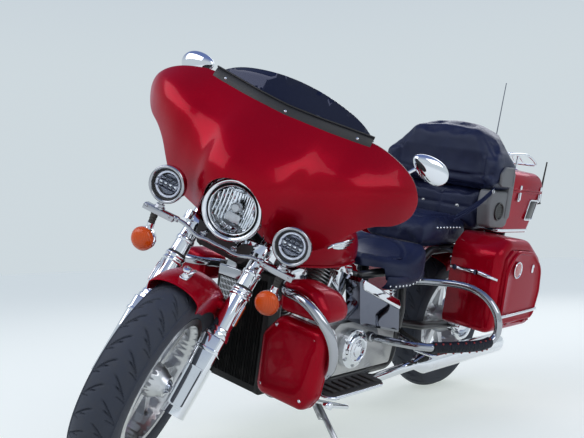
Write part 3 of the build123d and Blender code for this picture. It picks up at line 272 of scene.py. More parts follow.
def finish_leather(name, colour, rough=0.36):
    """Black seat hide: pebbled grain, soft creases, and a sheen and gloss tinted blue as a painted sky
    reflection.
    """
    # Sheen and gloss tinted blue: a painted sky reflection.
    f = Finish(
        name, Sheen_Weight=0.1, Sheen_Roughness=0.3, Sheen_Tint=(0.32, 0.42, 1.0, 1.0),
        Specular_IOR_Level=0.42, Specular_Tint=(0.72, 0.8, 1.0, 1.0),
    )
    bend = f.noise(60.0, 3.0)
    at = f.node(
        "VectorMath", {"operation": "ADD"},
        {0: f.place(), 1: f.node("CombineXYZ", None, {0: bend * 0.002, 1: bend * 0.003, 2: bend * 0.002})},
    )
    pebbles = f.cells(620.0, "DISTANCE_TO_EDGE", at)
    crease = f.noise(38.0, 5.0, 0.7, f.place((1, 1, 0.5)))
    worn = f.noise(12.0, 4.0, 0.6).between(0.45, 0.8)
    f.feed(
        base_color=f.mix(colour, tuple(c * 1.9 + 0.003 for c in colour), worn * 0.5 + crease * 0.15),
        roughness=rough + pebbles.between(0.0, 0.4) * 0.08 - worn * 0.08,
        normal=f.relief(pebbles.between(0.0, 0.35), 0.00045, 0.5, f.relief(crease, 0.0016, 0.3)),
    )
    return f.material


def finish_plastic(name, colour, rough, grain=700.0, depth=0.0003, dust=0.18):
    """Moulded plastic with a spark-eroded grain, scuffs and dust in the hollows."""
    f = Finish(name)
    fine = f.cells(grain)
    scuff = f.noise(22.0, 6.0, 0.7).between(0.52, 0.8)
    f.feed(
        base_color=f.mix(
            f.mix(colour, tuple(min(1.0, c * 1.6 + 0.02) for c in colour), scuff * 0.35),
            (0.34, 0.31, 0.26), fine * dust * 0.3,
        ),
        roughness=rough + scuff * 0.14 + fine * 0.08,
        normal=f.relief(fine, depth, 0.35),
    )
    return f.material


def finish_rubber():
    """Tyre rubber: scrubbed grey crown, dust in the grooves, moulding grain."""
    f = Finish("tyre_rubber")
    # The rubber's colour is tinted blue: a painted hazy sky reflection.
    colour, dust = (0.036, 0.043, 0.062), (0.24, 0.22, 0.19)
    fine = f.noise(900.0, 3.0, 0.6)
    patch = f.noise(26.0, 6.0, 0.72).between(0.42, 0.78)
    f.feed(
        base_color=f.mix(
            f.mix(colour, (0.06, 0.062, 0.068), patch * 0.6), dust,
            f.noise(130.0, 5.0, 0.7).between(0.6, 0.85) * 0.22,
        ),
        roughness=0.62 + fine * 0.16 + patch * 0.1,
        normal=f.relief(fine, 0.0005, 0.5),
    )
    return f.material


def finish_lens(name, colour, ribs, clear, coat):
    """Coloured lamp lens with moulded ribs and pillow optics behind a smooth face."""
    f = Finish(
        name, Transmission_Weight=clear, IOR=1.49, Coat_Weight=coat, Coat_Roughness=0.03, Coat_IOR=1.4,
        Specular_IOR_Level=0.3,
    )
    stripes = (f.axis(0) * ribs).sine() * 0.5 + 0.5
    rows = (f.axis(2) * ribs * 0.8).sine() * 0.5 + 0.5
    age = f.noise(40.0, 4.0)
    f.feed(
        base_color=f.mix(colour, tuple(min(1.0, c * 1.5 + 0.02) for c in colour), stripes * 0.35 + age * 0.2),
        roughness=0.06 + age * 0.1,
        normal=f.relief(stripes * rows, 0.0006, 0.5),
    )
    return f.material


def finish_smoke():
    """Dark smoked screen with fine wash swirls."""
    f = Finish(
        "smoked_screen", Transmission_Weight=0.06, IOR=1.4, Coat_Weight=0.15, Coat_Roughness=0.02,
        Specular_Tint=(0.55, 0.62, 1.0, 1.0),
    )
    swirl = f.noise(70.0, 5.0, 0.7).between(0.5, 0.9)
    f.feed(
        base_color=f.mix((0.006, 0.008, 0.024), (0.012, 0.015, 0.036), swirl),
        roughness=0.06 + swirl * 0.08,
    )
    return f.material


def finish_glass():
    """Clear lens glass with a faint haze of road film."""
    f = Finish("clear_glass", Transmission_Weight=1.0, IOR=1.22)
    film = f.noise(48.0, 5.0, 0.7).between(0.45, 0.9)
    f.feed(base_color=f.mix((0.97, 0.98, 1.0), (0.86, 0.87, 0.88), film), roughness=0.01 + film * 0.05)
    return f.material


def finish_halo():
    """Milky ring of a running light, glowing faintly where it is clean."""
    f = Finish("halo_ring", Emission_Strength=0.35, IOR=1.49)
    film = f.noise(160.0, 4.0, 0.7).between(0.4, 0.8)
    f.feed(
        base_color=f.mix((0.78, 0.82, 0.9), (0.55, 0.58, 0.66), film),
        emission_color=f.mix((0.75, 0.82, 1.0), (0.35, 0.38, 0.46), film), roughness=0.22 + film * 0.2,
    )
    return f.material


finishes = {}


def mix_finishes():
    """Every finish by the name of its slot, and those of the small parts."""
    chosen = bpy.context.scene.cruiser_colours
    finishes.update(
        red_paint=finish_red_paint(tuple(chosen.paint)),
        chrome=finish_chrome(),
        frame_black=finish_metal(
            "frame_black", (0.016, 0.016, 0.018), 0.3, 420.0, 0.0002, metallic=0.1, coat=0.4,
        ),
        steel=finish_metal("bright_steel", (0.52, 0.53, 0.55), 0.24, 300.0, 0.0001),
        engine_silver=finish_metal("engine_silver", (0.5, 0.5, 0.5), 0.34, 650.0, 0.0005),
        fork_alloy=finish_metal("fork_alloy", (0.72, 0.73, 0.75), 0.16, 240.0, 0.0002, stretch=(1, 1, 0.3)),
        wheel_alloy=finish_metal("wheel_alloy", (0.6, 0.61, 0.63), 0.26, 520.0, 0.0002, coat=0.5),
        tyre=finish_rubber(),
        radiator_black=finish_metal(
            "radiator_black", (0.012, 0.012, 0.012), 0.5, 380.0, 0.0003, metallic=0.3,
        ),
        seat_leather=finish_leather("seat_leather", tuple(chosen.leather)),
        pod_grey=finish_plastic("pod_grey", (0.16, 0.165, 0.175), 0.42),
        antenna_black=finish_plastic("antenna_black", (0.01, 0.01, 0.011), 0.35, 300.0),
        red_lens=finish_lens("red_lens", (0.46, 0.006, 0.01), 2200.0, clear=0.15, coat=0.3),
        footboard_rubber=finish_plastic("footboard_rubber", (0.018, 0.018, 0.018), 0.68, 900.0, 0.0005, 0.5),
        inner_black=finish_plastic("inner_black", (0.014, 0.014, 0.016), 0.46, 900.0, 0.0004),
        smoke=finish_smoke(),
        amber_lens=finish_lens("amber_lens", (0.66, 0.075, 0.001), 1500.0, clear=0.0, coat=0.25),
        glass=finish_glass(),
        mirror=finish_chrome("mirror_silver", (0.88, 0.9, 0.93), 0.04, 0.05),
        chrome_grey=finish_chrome("grey_chrome", (0.42, 0.43, 0.46), 0.1, 0.14),
        chrome_dark=finish_chrome("smoked_chrome", (0.16, 0.17, 0.21), 0.06, 0.1),
        halo=finish_halo(),
        smoked_lens=finish_lens("smoked_lens", (0.006, 0.006, 0.008), 900.0, clear=0.0, coat=0.0),
        braid=finish_leather("braided_hide", (0.01, 0.01, 0.012), 0.46),
        red_bead=finish_plastic("red_bead", (0.3, 0.01, 0.012), 0.3, 500.0),
        plate_white=finish_plastic("plate_blank", (0.6, 0.61, 0.62), 0.34, 800.0),
    )


# Modelling helpers


def clear():
    """Leaves edit mode with nothing selected."""
    if bpy.context.mode != "OBJECT":
        bpy.ops.object.mode_set(mode="OBJECT")
    bpy.ops.object.select_all(action="DESELECT")


def begin(primitive, name, **settings):
    """Adds a primitive as a new piece, the only thing selected."""
    clear()
    bpy.context.tool_settings.mesh_select_mode = (True, False, False)
    getattr(bpy.ops.mesh, "primitive_" + primitive + "_add")(**settings)
    piece = bpy.context.object
    piece.name = name
    piece.data.name = name
    return piece


def hold(piece):
    """Makes a piece the only one selected, and the active one."""
    clear()
    piece.select_set(True)
    bpy.context.view_layer.objects.active = piece
    return piece


def pick(piece, test, kind="FACE"):
    """Opens a piece in edit mode with the faces, edges or points that pass the test selected."""
    hold(piece)
    bpy.ops.object.mode_set(mode="EDIT")
    bpy.ops.mesh.select_mode(type=kind)
    bpy.ops.mesh.select_all(action="DESELECT")
    shape = bmesh.from_edit_mesh(piece.data)
    if kind == "FACE":
        for face in shape.faces:
            face.select_set(test(face.calc_center_median(), face.normal))
    elif kind == "EDGE":
        for edge in shape.edges:
            edge.select_set(test(edge.verts[0].co, edge.verts[1].co))
    else:
        for point in shape.verts:
            point.select_set(test(point.co))
    shape.select_flush_mode()
    bmesh.update_edit_mesh(piece.data)


def aim(axis, centre=(0, 0, 0), roll=0.0):
    """The matrix that stands a piece's z axis along a direction at a place."""
    turn = Vector(axis).to_track_quat("Z", "Y").to_matrix().to_4x4()
    return Matrix.Translation(centre) @ turn @ Matrix.Rotation(roll, 4, "Z")


def settle(piece):
    """Applies a piece's own place, so that it sits at the origin."""
    hold(piece)
    bpy.ops.object.transform_apply(location=True, rotation=True, scale=True)
    return piece


def spun(name, profile, axis=(0, 0, 1), centre=(0, 0, 0), steps=64, angle=2 * math.pi):
    """Turns a profile of (radius, height) points about an axis, as on a lathe."""
    piece = begin("plane", name, size=0.002)
    bpy.ops.object.mode_set(mode="EDIT")
    bpy.ops.mesh.merge(type="CENTER")
    bpy.ops.transform.translate(value=(profile[0][0], 0, profile[0][1]))
    for (r0, h0), (r1, h1) in zip(profile, profile[1:]):
        bpy.ops.mesh.extrude_region_move(TRANSFORM_OT_translate={"value": (r1 - r0, 0, h1 - h0)})
    bpy.ops.mesh.select_all(action="SELECT")
    bpy.ops.mesh.spin(steps=steps, angle=angle, center=(0, 0, 0), axis=(0, 0, 1))
    bpy.ops.mesh.remove_doubles(threshold=1e-6)
    bpy.ops.mesh.normals_make_consistent(inside=False)
    bpy.ops.object.mode_set(mode="OBJECT")
    piece.data.transform(aim(axis, centre))
    return piece


def bar(name, points, radius, radii=None, sides=3, closed=False, fineness=8):
    """A round bar along a smooth line, made a mesh."""
    clear()
    bpy.ops.curve.primitive_nurbs_path_add()
    piece = bpy.context.object
    piece.name = name
    line = piece.data
    line.splines.clear()
    spline = line.splines.new("NURBS")
    spline.points.add(len(points) - 1)
    for index, point in enumerate(points):
        spline.points[index].co = (*point, 1.0)
        spline.points[index].radius = radii[index] if radii else 1.0
    spline.order_u = 3
    spline.use_endpoint_u = not closed
    spline.use_cyclic_u = closed
    spline.resolution_u = fineness
    line.dimensions = "3D"
    line.bevel_depth = radius
    line.bevel_resolution = sides
    line.use_fill_caps = not closed
    hold(piece)
    bpy.ops.object.convert(target="MESH")
    piece = bpy.context.object
    piece.data.name = name
    return piece


def slab(name, outline, low, high, axis="x", bevel=0.0, segments=3):
    """A flat plate: an outline of (across, up) points given a thickness along an axis, its rim rounded."""
    piece = begin("circle", name, vertices=len(outline), fill_type="NGON")
    place = {
        "x": lambda a, b: (low, a, b), "y": lambda a, b: (a, low, b), "z": lambda a, b: (a, b, low),
    }[axis]
    for point, (a, b) in zip(piece.data.vertices, outline):
        point.co = place(a, b)
    shift = tuple((high - low) * (axis == k) for k in "xyz")
    bpy.ops.object.mode_set(mode="EDIT")
    bpy.ops.mesh.select_all(action="SELECT")
    bpy.ops.mesh.extrude_region_move(TRANSFORM_OT_translate={"value": shift})
    bpy.ops.mesh.select_all(action="SELECT")
    bpy.ops.mesh.normals_make_consistent(inside=False)
    bpy.ops.object.mode_set(mode="OBJECT")
    if bevel:
        finish_edges(piece, bevel, segments)
    return piece


def apply(piece, kind, **settings):
    """Adds one modifier and applies it."""
    hold(piece)
    made = piece.modifiers.new(kind.lower(), kind)
    for key, value in settings.items():
        setattr(made, key, value)
    bpy.ops.object.modifier_apply(modifier=made.name)
    return piece


def finish_edges(piece, width, segments=2, angle=35.0):
    """Rounds the edges that are sharper than an angle in degrees."""
    return apply(
        piece, "BEVEL", width=width, segments=segments, limit_method="ANGLE",
        angle_limit=math.radians(angle), harden_normals=False,
    )


def cut_off(piece, point, normal):
    """Takes away what lies behind a plane and closes the cut."""
    hold(piece)
    bpy.ops.object.mode_set(mode="EDIT")
    bpy.ops.mesh.select_mode(type="FACE")
    bpy.ops.mesh.select_all(action="SELECT")
    bpy.ops.mesh.bisect(plane_co=point, plane_no=normal, clear_inner=True, use_fill=True)
    clear()


def copies(master, places, name):
    """One piece from a master repeated at each matrix, every copy with its own mesh."""
    made = []
    for place in places:
        twin = master.copy()
        twin.data = master.data.copy()
        twin.data.transform(place)
        bpy.context.scene.collection.objects.link(twin)
        made.append(twin)
    bpy.data.objects.remove(master)
    return joined(made, name)


def joined(parts, name):
    """Several parts as one piece."""
    clear()
    for part in parts:
        part.select_set(True)
    bpy.context.view_layer.objects.active = parts[0]
    if len(parts) > 1:
        bpy.ops.object.join()
    piece = bpy.context.object
    piece.name = name
    piece.data.name = name
    return piece


def flipped(piece):
    """Moves a piece to the bike's other side, its faces still facing out."""
    piece.data.transform(Matrix.Scale(-1, 4, (1, 0, 0)))
    pick(piece, lambda c, n: True)
    bpy.ops.mesh.flip_normals()
    clear()
    return piece


def mirrored(piece):
    """A piece and its twin on the bike's other side, as one piece."""
    twin = piece.copy()
    twin.data = piece.data.copy()
    bpy.context.scene.collection.objects.link(twin)
    return joined([piece, flipped(twin)], piece.name)


def button(name, radius, height):
    """A round-headed screw with a washer and a recess, standing on z."""
    return spun(
        name,
        [
            (0, height * 0.55), (radius * 0.42, height * 0.55), (radius * 0.46, height),
            (radius * 0.72, height * 0.92), (radius * 0.95, height * 0.55), (radius, height * 0.12),
            (radius * 1.32, height * 0.12), (radius * 1.34, -height * 0.3), (0, -height * 0.3),
        ],
        steps=12,
    )


def hexagon(name, radius, height):
    """A six-sided bolt head on a washer, standing on z."""
    head = begin("cylinder", name, vertices=6, radius=radius, depth=height, location=(0, 0, height * 0.5))
    settle(head)
    pick(head, lambda c, n: n.z > 0.9)
    bpy.ops.mesh.inset(thickness=radius * 0.16, depth=height * 0.1)
    washer = spun(
        name + "_washer",
        [
            (0, height * 0.1), (radius * 1.28, height * 0.1), (radius * 1.34, 0),
            (radius * 1.34, -height * 0.3), (0, -height * 0.3),
        ],
        steps=16,
    )
    return joined([head, washer], name)


def done(piece, finish, body, slot=None, replaces=(), smooth=38.0, place=None):
    """Puts a piece made in the upright frame into the parked stance, with its finish and body; its slot is
    not used.
    """
    clear()
    piece.data.transform(place or (steered if body in ("steering", "front_wheel") else stance))
    piece.data.materials.clear()
    piece.data.materials.append(finishes[finish])
    hold(piece)
    if smooth:
        bpy.ops.object.shade_smooth_by_angle(angle=math.radians(smooth))
    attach(piece, body)
    slot or finish
    if replaces:
        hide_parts(*replaces)
    return piece


# Sizes and colours that a user would change


class CruiserColours(bpy.types.PropertyGroup):
    """Colours of the main finishes."""

    paint: bpy.props.FloatVectorProperty(
        name="Paint", description="Candy red of the bodywork", subtype="COLOR", size=3,
        default=(0.42, 0.0005, 0.01), min=0, max=1,
    )
    # The hide's default colour is tinted blue: a painted sky reflection on black leather.
    leather: bpy.props.FloatVectorProperty(
        name="Leather", description="Hide of the seats and backrest", subtype="COLOR", size=3,
        default=(0.0078, 0.0105, 0.036), min=0, max=1,
    )
    floor: bpy.props.FloatVectorProperty(
        name="Floor", description="Studio floor", subtype="COLOR", size=3, default=(0.63, 0.62, 0.6), min=0,
        max=1,
    )


class CruiserSizes(bpy.types.PropertyGroup):
    """Sizes of the pieces that a user would change."""

    tread_depth: bpy.props.FloatProperty(
        name="Tread depth", description="Depth of the tyre's grooves", unit="LENGTH", default=0.005,
        min=0.001, max=0.01,
    )


class CRUISER_OT_finishes(bpy.types.Operator):
    """Mixes the finishes and gives each CAD node the one of its slot"""

    bl_idname = "cruiser.finishes"
    bl_label = "Finishes"

    def execute(self, context):
        mix_finishes()
        for part in frame["record"]["subparts"]:
            node = frame["nodes"].get(part["node"])
            if node is None:
                continue
            node.data.materials.clear()
            node.data.materials.append(finishes[part["material_slot"]])
        return {"FINISHED"}


class CRUISER_OT_studio(bpy.types.Operator):
    """Sets the pale floor, the soft lamps, the sky and the camera"""

    bl_idname = "cruiser.studio"
    bl_label = "Studio"

    def execute(self, context):
        make_stage()
        make_camera()
        return {"FINISHED"}


sky_colours = ((0.62, 0.69, 0.73), (0.15, 0.21, 0.44))
sky_light = 0.84
floor_lift = 0.47
# name, place, (width, height), watts
lamps = (
    ("softbox_key", (-1.6, -4.2, 4.6), (5.0, 3.0), 120.0),
    ("softbox_side", (5.0, -0.6, 3.6), (4.0, 2.6), 70.0),
    ("softbox_rear", (-1.0, 5.0, 4.2), (5.0, 2.6), 90.0),
)


def looked_at(finish):
    """1 for what the camera sees straight, in metal or through glass, and 0 for the light on the bike."""
    seen = [finish.node("LightPath", output=output) for output in (0, 3, 6)]
    return finish.maximum(*seen)


def make_stage():
    """The floor, the sky and the soft lamps. Floor and sky look paler than the light that they give."""
    floor = begin("plane", "studio_floor", size=60.0, location=(0, 0, -0.002))
    settle(floor)
    f = Finish("studio_floor", Roughness=0.9, Specular_IOR_Level=0.1)
    colour = tuple(bpy.context.scene.cruiser_colours.floor)
    f.feed(base_color=f.mix(colour, tuple(c * 0.97 for c in colour), f.noise(3.0, 4.0)))
    lift = f.node("Emission", None, {"Color": (0.91, 1.0, 0.96), "Strength": floor_lift})
    lit = f.node("AddShader", None, {0: Signal(f, f.shader.outputs[0]), 1: lift})
    chosen = f.node("MixShader", None, {0: looked_at(f), 1: Signal(f, f.shader.outputs[0]), 2: lit})
    f.tree.links.new(chosen.socket, f.tree.nodes["Material Output"].inputs["Surface"])
    floor.data.materials.append(f.material)

    world = bpy.data.worlds.new("studio_sky")
    bpy.context.scene.world = world
    world.use_nodes = True
    sky = Finish.__new__(Finish)
    sky.tree = world.node_tree
    sky.shader = sky.tree.nodes["Background"]
    height = sky.node("SeparateXYZ", None, {0: sky.node("TexCoord", output=0)}, 2)
    low, high = sky_colours
    sky.feed(color=sky.mix(low, high, height.between(0.22, 0.95)))
    sky.feed(strength=looked_at(sky) * (1.0 - sky_light) + sky_light)

    target = Vector((0.0, 0.0, 0.6))
    for name, place, size, power in lamps:
        light = bpy.data.lights.new(name, "AREA")
        light.shape = "RECTANGLE"
        light.size, light.size_y = size
        light.energy = power
        lamp = bpy.data.objects.new(name, light)
        bpy.context.scene.collection.objects.link(lamp)
        lamp.location = place
        lamp.rotation_euler = (target - Vector(place)).to_track_quat("-Z", "Y").to_euler()


# The bike's lean and the camera's yaw, pitch and roll in degrees, its place, and its focal length in pixels
camera_angles = (13.457, -41.8117, 2.307, -2.1995)
camera_place = Vector((1.8123, -2.0939, 0.66687))
camera_focal = 706.7
photo_width = 584


def make_camera():
    """The photograph's viewpoint, solved over the ground and carried to the bike's stance."""
    lean, yaw, pitch, roll = (math.radians(angle) for angle in camera_angles)
    look = Vector((math.sin(yaw) * math.cos(pitch), math.cos(yaw) * math.cos(pitch), math.sin(pitch)))
    right = Vector((math.cos(yaw), -math.sin(yaw), 0))
    up = right.cross(look)
    right, up = right * math.cos(roll) + up * math.sin(roll), up * math.cos(roll) - right * math.sin(roll)
    eye = Matrix((right, up, -look)).transposed().to_4x4()
    eye.translation = camera_place
    data = bpy.data.cameras.new("photo_camera")
    data.lens = camera_focal / photo_width * data.sensor_width
    camera = bpy.data.objects.new("photo_camera", data)
    bpy.context.scene.collection.objects.link(camera)
    camera.matrix_world = stance @ Matrix.Rotation(-lean, 4, "Y") @ eye
    bpy.context.scene.camera = camera
    bpy.context.scene.view_settings.view_transform = "Standard"


# Wheels and tyres


# name, axle, outer radius, half width, body, tread blocks round the tyre
tyres = (
    ("front_tyre", front_axle, front_radius, 0.065, "front_wheel", 29),
    ("rear_tyre", rear_axle, rear_radius, 0.075, "rear_wheel", 27),
)
# Half section of a tyre from the edge of its tread to the bead, as shares of (half width, wall height)
sidewall = (
    (0.93, 0.8), (0.962, 0.745), (0.98, 0.69), (0.993, 0.64), (1.0, 0.6), (0.992, 0.597),
    (0.996, 0.54), (0.985, 0.45), (0.955, 0.34), (0.9, 0.22), (0.83, 0.13), (0.76, 0.09),
    (0.735, 0.086), (0.715, 0.05), (0.69, 0.01),
)
tread_columns = 33
pitch_steps = 36
# Cuts of one tread block: start and end across the tyre, sweep along it, place in the block, half width
sipes = (
    (0.003, 0.057, 0.06, 0.0, 0.0024),
    (0.017, 0.058, 0.036, 0.34, 0.0018),
    (0.032, 0.06, 0.016, 0.7, 0.0015),
)


def tread_cut(along, over, pitch, shift):
    """How deep the tread is cut at a place, from 0 to 1."""
    deepest = 0.0
    for start, end, sweep, offset, width in sipes:
        if start < over < end:
            share = (over - start) / (end - start)
            line = (offset + shift) * pitch + sweep * share ** 1.6
            miss = abs((along - line + pitch / 2) % pitch - pitch / 2)
            taper = min(1.0, share * 6.0, (1.0 - share) * 4.0)
            deepest = max(deepest, taper * max(0.0, min(1.0, 1.6 - miss / width)))
    return deepest


def make_tyre(name, axle, radius, half, body, blocks):
    """One tread block turned on the lathe with its cuts, then repeated round the axle."""
    wall = radius - rim_radius
    tread_half = half * 0.87
    curve = half * 1.14
    crown = []
    for column in range(tread_columns):
        over = tread_half * (2.0 * column / (tread_columns - 1) - 1.0)
        crown.append((radius - curve + math.sqrt(curve ** 2 - over ** 2), over))
    edge = crown[-1][0] - rim_radius
    flank = [(rim_radius + edge * min(1.0, up / 0.8), half * wide) for wide, up in sidewall]
    inner = [
        (rim_radius + 0.01, half * 0.6), (rim_radius + wall * 0.45, half * 0.8),
        (radius - 0.022, half * 0.5),
    ]
    path = crown + flank + inner + [(r, -x) for r, x in reversed(flank + inner)]
    turn = 2.0 * math.pi / blocks
    pitch = turn * radius
    block = spun(name, path + [crown[0]], steps=pitch_steps, angle=turn)
    depth = bpy.context.scene.cruiser_sizes.tread_depth
    for point in block.data.vertices:
        reach = math.hypot(point.co.x, point.co.y)
        over = abs(point.co.z)
        if over < half * 0.95 and reach > rim_radius + wall * 0.8:
            cut = tread_cut(math.atan2(point.co.y, point.co.x) * radius, over, pitch, 0.5 * (point.co.z > 0))
            shrink = (reach - depth * cut) / reach
            point.co.x *= shrink
            point.co.y *= shrink
    piece = copies(block, [aim((1, 0, 0), axle, turn * k) for k in range(blocks)], name + "_tread")
    pick(piece, lambda centre, normal: True)
    bpy.ops.mesh.remove_doubles(threshold=2e-5)
    bpy.ops.mesh.normals_make_consistent(inside=False)
    return done(piece, "tyre", body, replaces=(name,), smooth=40.0)


def make_wheel_trim(name, axle, body, half):
    """Disc bolts and hub caps."""
    parts = []
    for side in (-1, 1):
        cap = spun(
            name + "_cap",
            [
                (0, 0.012), (0.01, 0.0118), (0.017, 0.009), (0.02, 0.004), (0.024, 0.002), (0.024, -0.004),
                (0, -0.004),
            ],
            axis=(side, 0, 0), centre=(side * half, 0, 0), steps=40,
        )
        parts.append(cap)
    ring = [
        aim((-1, 0, 0), (-half * 0.985, 0.046 * math.cos(a), 0.046 * math.sin(a)))
        for a in (k * math.pi / 3 for k in range(6))
    ]
    parts.append(copies(button(name + "_bolt", 0.0058, 0.005), ring, name + "_bolts"))
    piece = joined(parts, name)
    piece.data.transform(Matrix.Translation(axle))
    return done(piece, "chrome", body)


class CRUISER_OT_wheels(bpy.types.Operator):
    """Makes both tyres with their tread, and the bright trim of the wheels"""

    bl_idname = "cruiser.wheels"
    bl_label = "Wheels"

    def execute(self, context):
        for row in tyres:
            make_tyre(*row)
        make_wheel_trim("front_wheel_trim", front_axle, "front_wheel", 0.067)
        make_wheel_trim("rear_wheel_trim", rear_axle, "rear_wheel", 0.081)
        return {"FINISHED"}


# Fairing and screen


fairing_across = (0, 60, 116, 160, 220, 300, 380, 440, 490)
fairing_depth = (
    # height, then y at each distance from the middle
    (780, (-640, -636, -615, -585, -548, -500, -440, -390, -340)),
    (830, (-690, -688, -660, -622, -580, -527, -462, -410, -358)),
    (880, (-715, -712, -686, -645, -602, -550, -484, -430, -376)),
    (930, (-726, -722, -698, -656, -618, -572, -508, -452, -395)),
    (970, (-716, -712, -692, -655, -625, -588, -530, -474, -412)),
    (1010, (-690, -686, -670, -640, -621, -597, -548, -493, -428)),
    (1050, (-655, -651, -640, -618, -604, -592, -556, -505, -440)),
    (1090, (-612, -609, -600, -585, -572, -564, -540, -497, -434)),
    (1130, (-566, -564, -557, -546, -535, -525, -500, -458, -400)),
    (1185, (-500, -499, -495, -488, -478, -462, -432, -395, -345)),
)
fairing_edge = (
    (0, 1162), (104, 1166), (208, 1172), (285, 1176), (347, 1164), (404, 1143), (448, 1112),
    (476, 1066), (474, 1010), (440, 970), (389, 948), (346, 912), (314, 868), (286, 832),
    (246, 800), (196, 786), (150, 782),
)
headlight_centre = Vector((0, -0.667, 0.842))
opening_radius = 0.102
opening_foot = 0.148


def through(values, places, at):
    """A smooth line through values at given places, read at one place."""
    last = len(places) - 1
    k = max(0, min(last - 1, sum(1 for p in places if p <= at) - 1))
    slopes = []
    for i in (k, k + 1):
        low, high = max(i - 1, 0), min(i + 1, last)
        slopes.append((values[high] - values[low]) / (places[high] - places[low]))
    span = places[k + 1] - places[k]
    t = min(1.3, max(-0.3, (at - places[k]) / span))
    return ((2 * t ** 3 - 3 * t ** 2 + 1) * values[k] + (t ** 3 - 2 * t ** 2 + t) * span * slopes[0]
            + (3 * t ** 2 - 2 * t ** 3) * values[k + 1] + (t ** 3 - t ** 2) * span * slopes[1])


heights = [row[0] / 1000 for row in fairing_depth]
distances = [x / 1000 for x in fairing_across]


def fairing_y(x, z):
    """The face's depth at a distance from the middle and a height."""
    columns = [through([y / 1000 for y in row[1]], distances, abs(x)) for row in fairing_depth]
    return through(columns, heights, z)


def smooth_loop(points, divisions=6):
    """A closed ring of points rounded through its corners."""
    count = len(points)
    ring = []
    for i in range(count):
        a, b, c, d = (Vector(points[(i + k) % count]) for k in (-1, 0, 1, 2))
        for step in range(divisions):
            t = step / divisions
            bend = (2 * b) + (c - a) * t + (2 * a - 5 * b + 4 * c - d) * t ** 2
            ring.append(0.5 * (bend + (3 * b - a - 3 * c + d) * t ** 3))
    return ring


def fairing_ring():
    """The face's whole rim seen from the front, headlight arch included, as points (x, z)."""
    outer = [Vector((x / 1000, z / 1000)) for x, z in fairing_edge]
    flare = opening_foot - opening_radius
    arch = [
        Vector((opening_radius + flare * share, headlight_centre.z - 0.142 * share))
        for share in (0.4, 0.2, 0.0)
    ]
    arch += [
        Vector((opening_radius * math.cos(a), headlight_centre.z + opening_radius * math.sin(a)))
        for a in (math.radians(d) for d in range(15, 90, 15))
    ]
    half = outer + arch
    top = Vector((0, headlight_centre.z + opening_radius))
    ring = half + [top] + [Vector((-p.x, p.y)) for p in reversed(half[1:])]
    return smooth_loop(ring, 5)


def inside(ring, x, z):
    """Whether a point lies inside a closed ring."""
    hit = False
    for a, b in zip(ring, ring[1:] + ring[:1]):
        if (a.y > z) != (b.y > z) and x < (b.x - a.x) * (z - a.y) / (b.y - a.y) + a.x:
            hit = not hit
    return hit


def nearest(ring, x, z):
    """The ring's closest point to a place."""
    place = Vector((x, z))
    best, found = 1e9, place
    for a, b in zip(ring, ring[1:] + ring[:1]):
        run = b - a
        share = max(0.0, min(1.0, (place - a).dot(run) / max(run.length_squared, 1e-12)))
        point = a + run * share
        gap = (point - place).length_squared
        if gap < best:
            best, found = gap, point
    return found


def trimmed_sheet(name, ring, step, depth_at):
    """A grid cut to a ring seen from the front, its rim points moved onto the ring, pushed to a depth."""
    low = Vector((min(p.x for p in ring) - step, min(p.y for p in ring) - step))
    high = Vector((max(p.x for p in ring) + step, max(p.y for p in ring) + step))
    columns, rows = (max(2, int((high[k] - low[k]) / step)) for k in (0, 1))
    piece = begin("grid", name, x_subdivisions=columns, y_subdivisions=rows, size=1.0)
    for point in piece.data.vertices:
        point.co = (
            low.x + (point.co.x + 0.5) * (high.x - low.x), 0, low.y + (point.co.y + 0.5) * (high.y - low.y),
        )
    pick(piece, lambda centre, normal: not inside(ring, centre.x, centre.z))
    bpy.ops.mesh.delete(type="FACE")
    bpy.ops.mesh.select_all(action="SELECT")
    shape = bmesh.from_edit_mesh(piece.data)
    for point in shape.verts:
        if point.is_boundary:
            at = nearest(ring, point.co.x, point.co.z)
            point.co.x, point.co.z = at.x, at.y
    bmesh.update_edit_mesh(piece.data)
    bpy.ops.mesh.remove_doubles(threshold=step * 0.22)
    bpy.ops.object.mode_set(mode="OBJECT")
    for point in piece.data.vertices:
        point.co.y = depth_at(point.co.x, point.co.z)
    return piece


def make_fairing():
    """The red face as one sheet with a thickness and a rolled rim."""
    ring = fairing_ring()
    face = trimmed_sheet("fairing_face", ring, 0.0062, fairing_y)
    hold(face)
    bpy.ops.object.mode_set(mode="EDIT")
    bpy.ops.mesh.select_all(action="SELECT")
    bpy.ops.mesh.normals_make_consistent(inside=False)
    bpy.ops.object.mode_set(mode="OBJECT")
    if sum(p.normal.y for p in face.data.polygons) > 0:
        pick(face, lambda c, n: True)
        bpy.ops.mesh.flip_normals()
        bpy.ops.object.mode_set(mode="OBJECT")
    apply(face, "SOLIDIFY", thickness=0.0065, offset=-1.0, use_even_offset=False)
    apply(face, "BEVEL", width=0.0026, segments=3, limit_method="ANGLE", angle_limit=math.radians(50))
    return done(face, "red_paint", "steering", replaces=("fairing_outer",), smooth=60.0)


class CRUISER_OT_fairing(bpy.types.Operator):
    """Makes the fairing's red face with its rolled rim, and the screen's trim strip and screws"""

    bl_idname = "cruiser.fairing"
    bl_label = "Fairing"

    def execute(self, context):
        make_fairing()
        make_screen_trim()
        return {"FINISHED"}


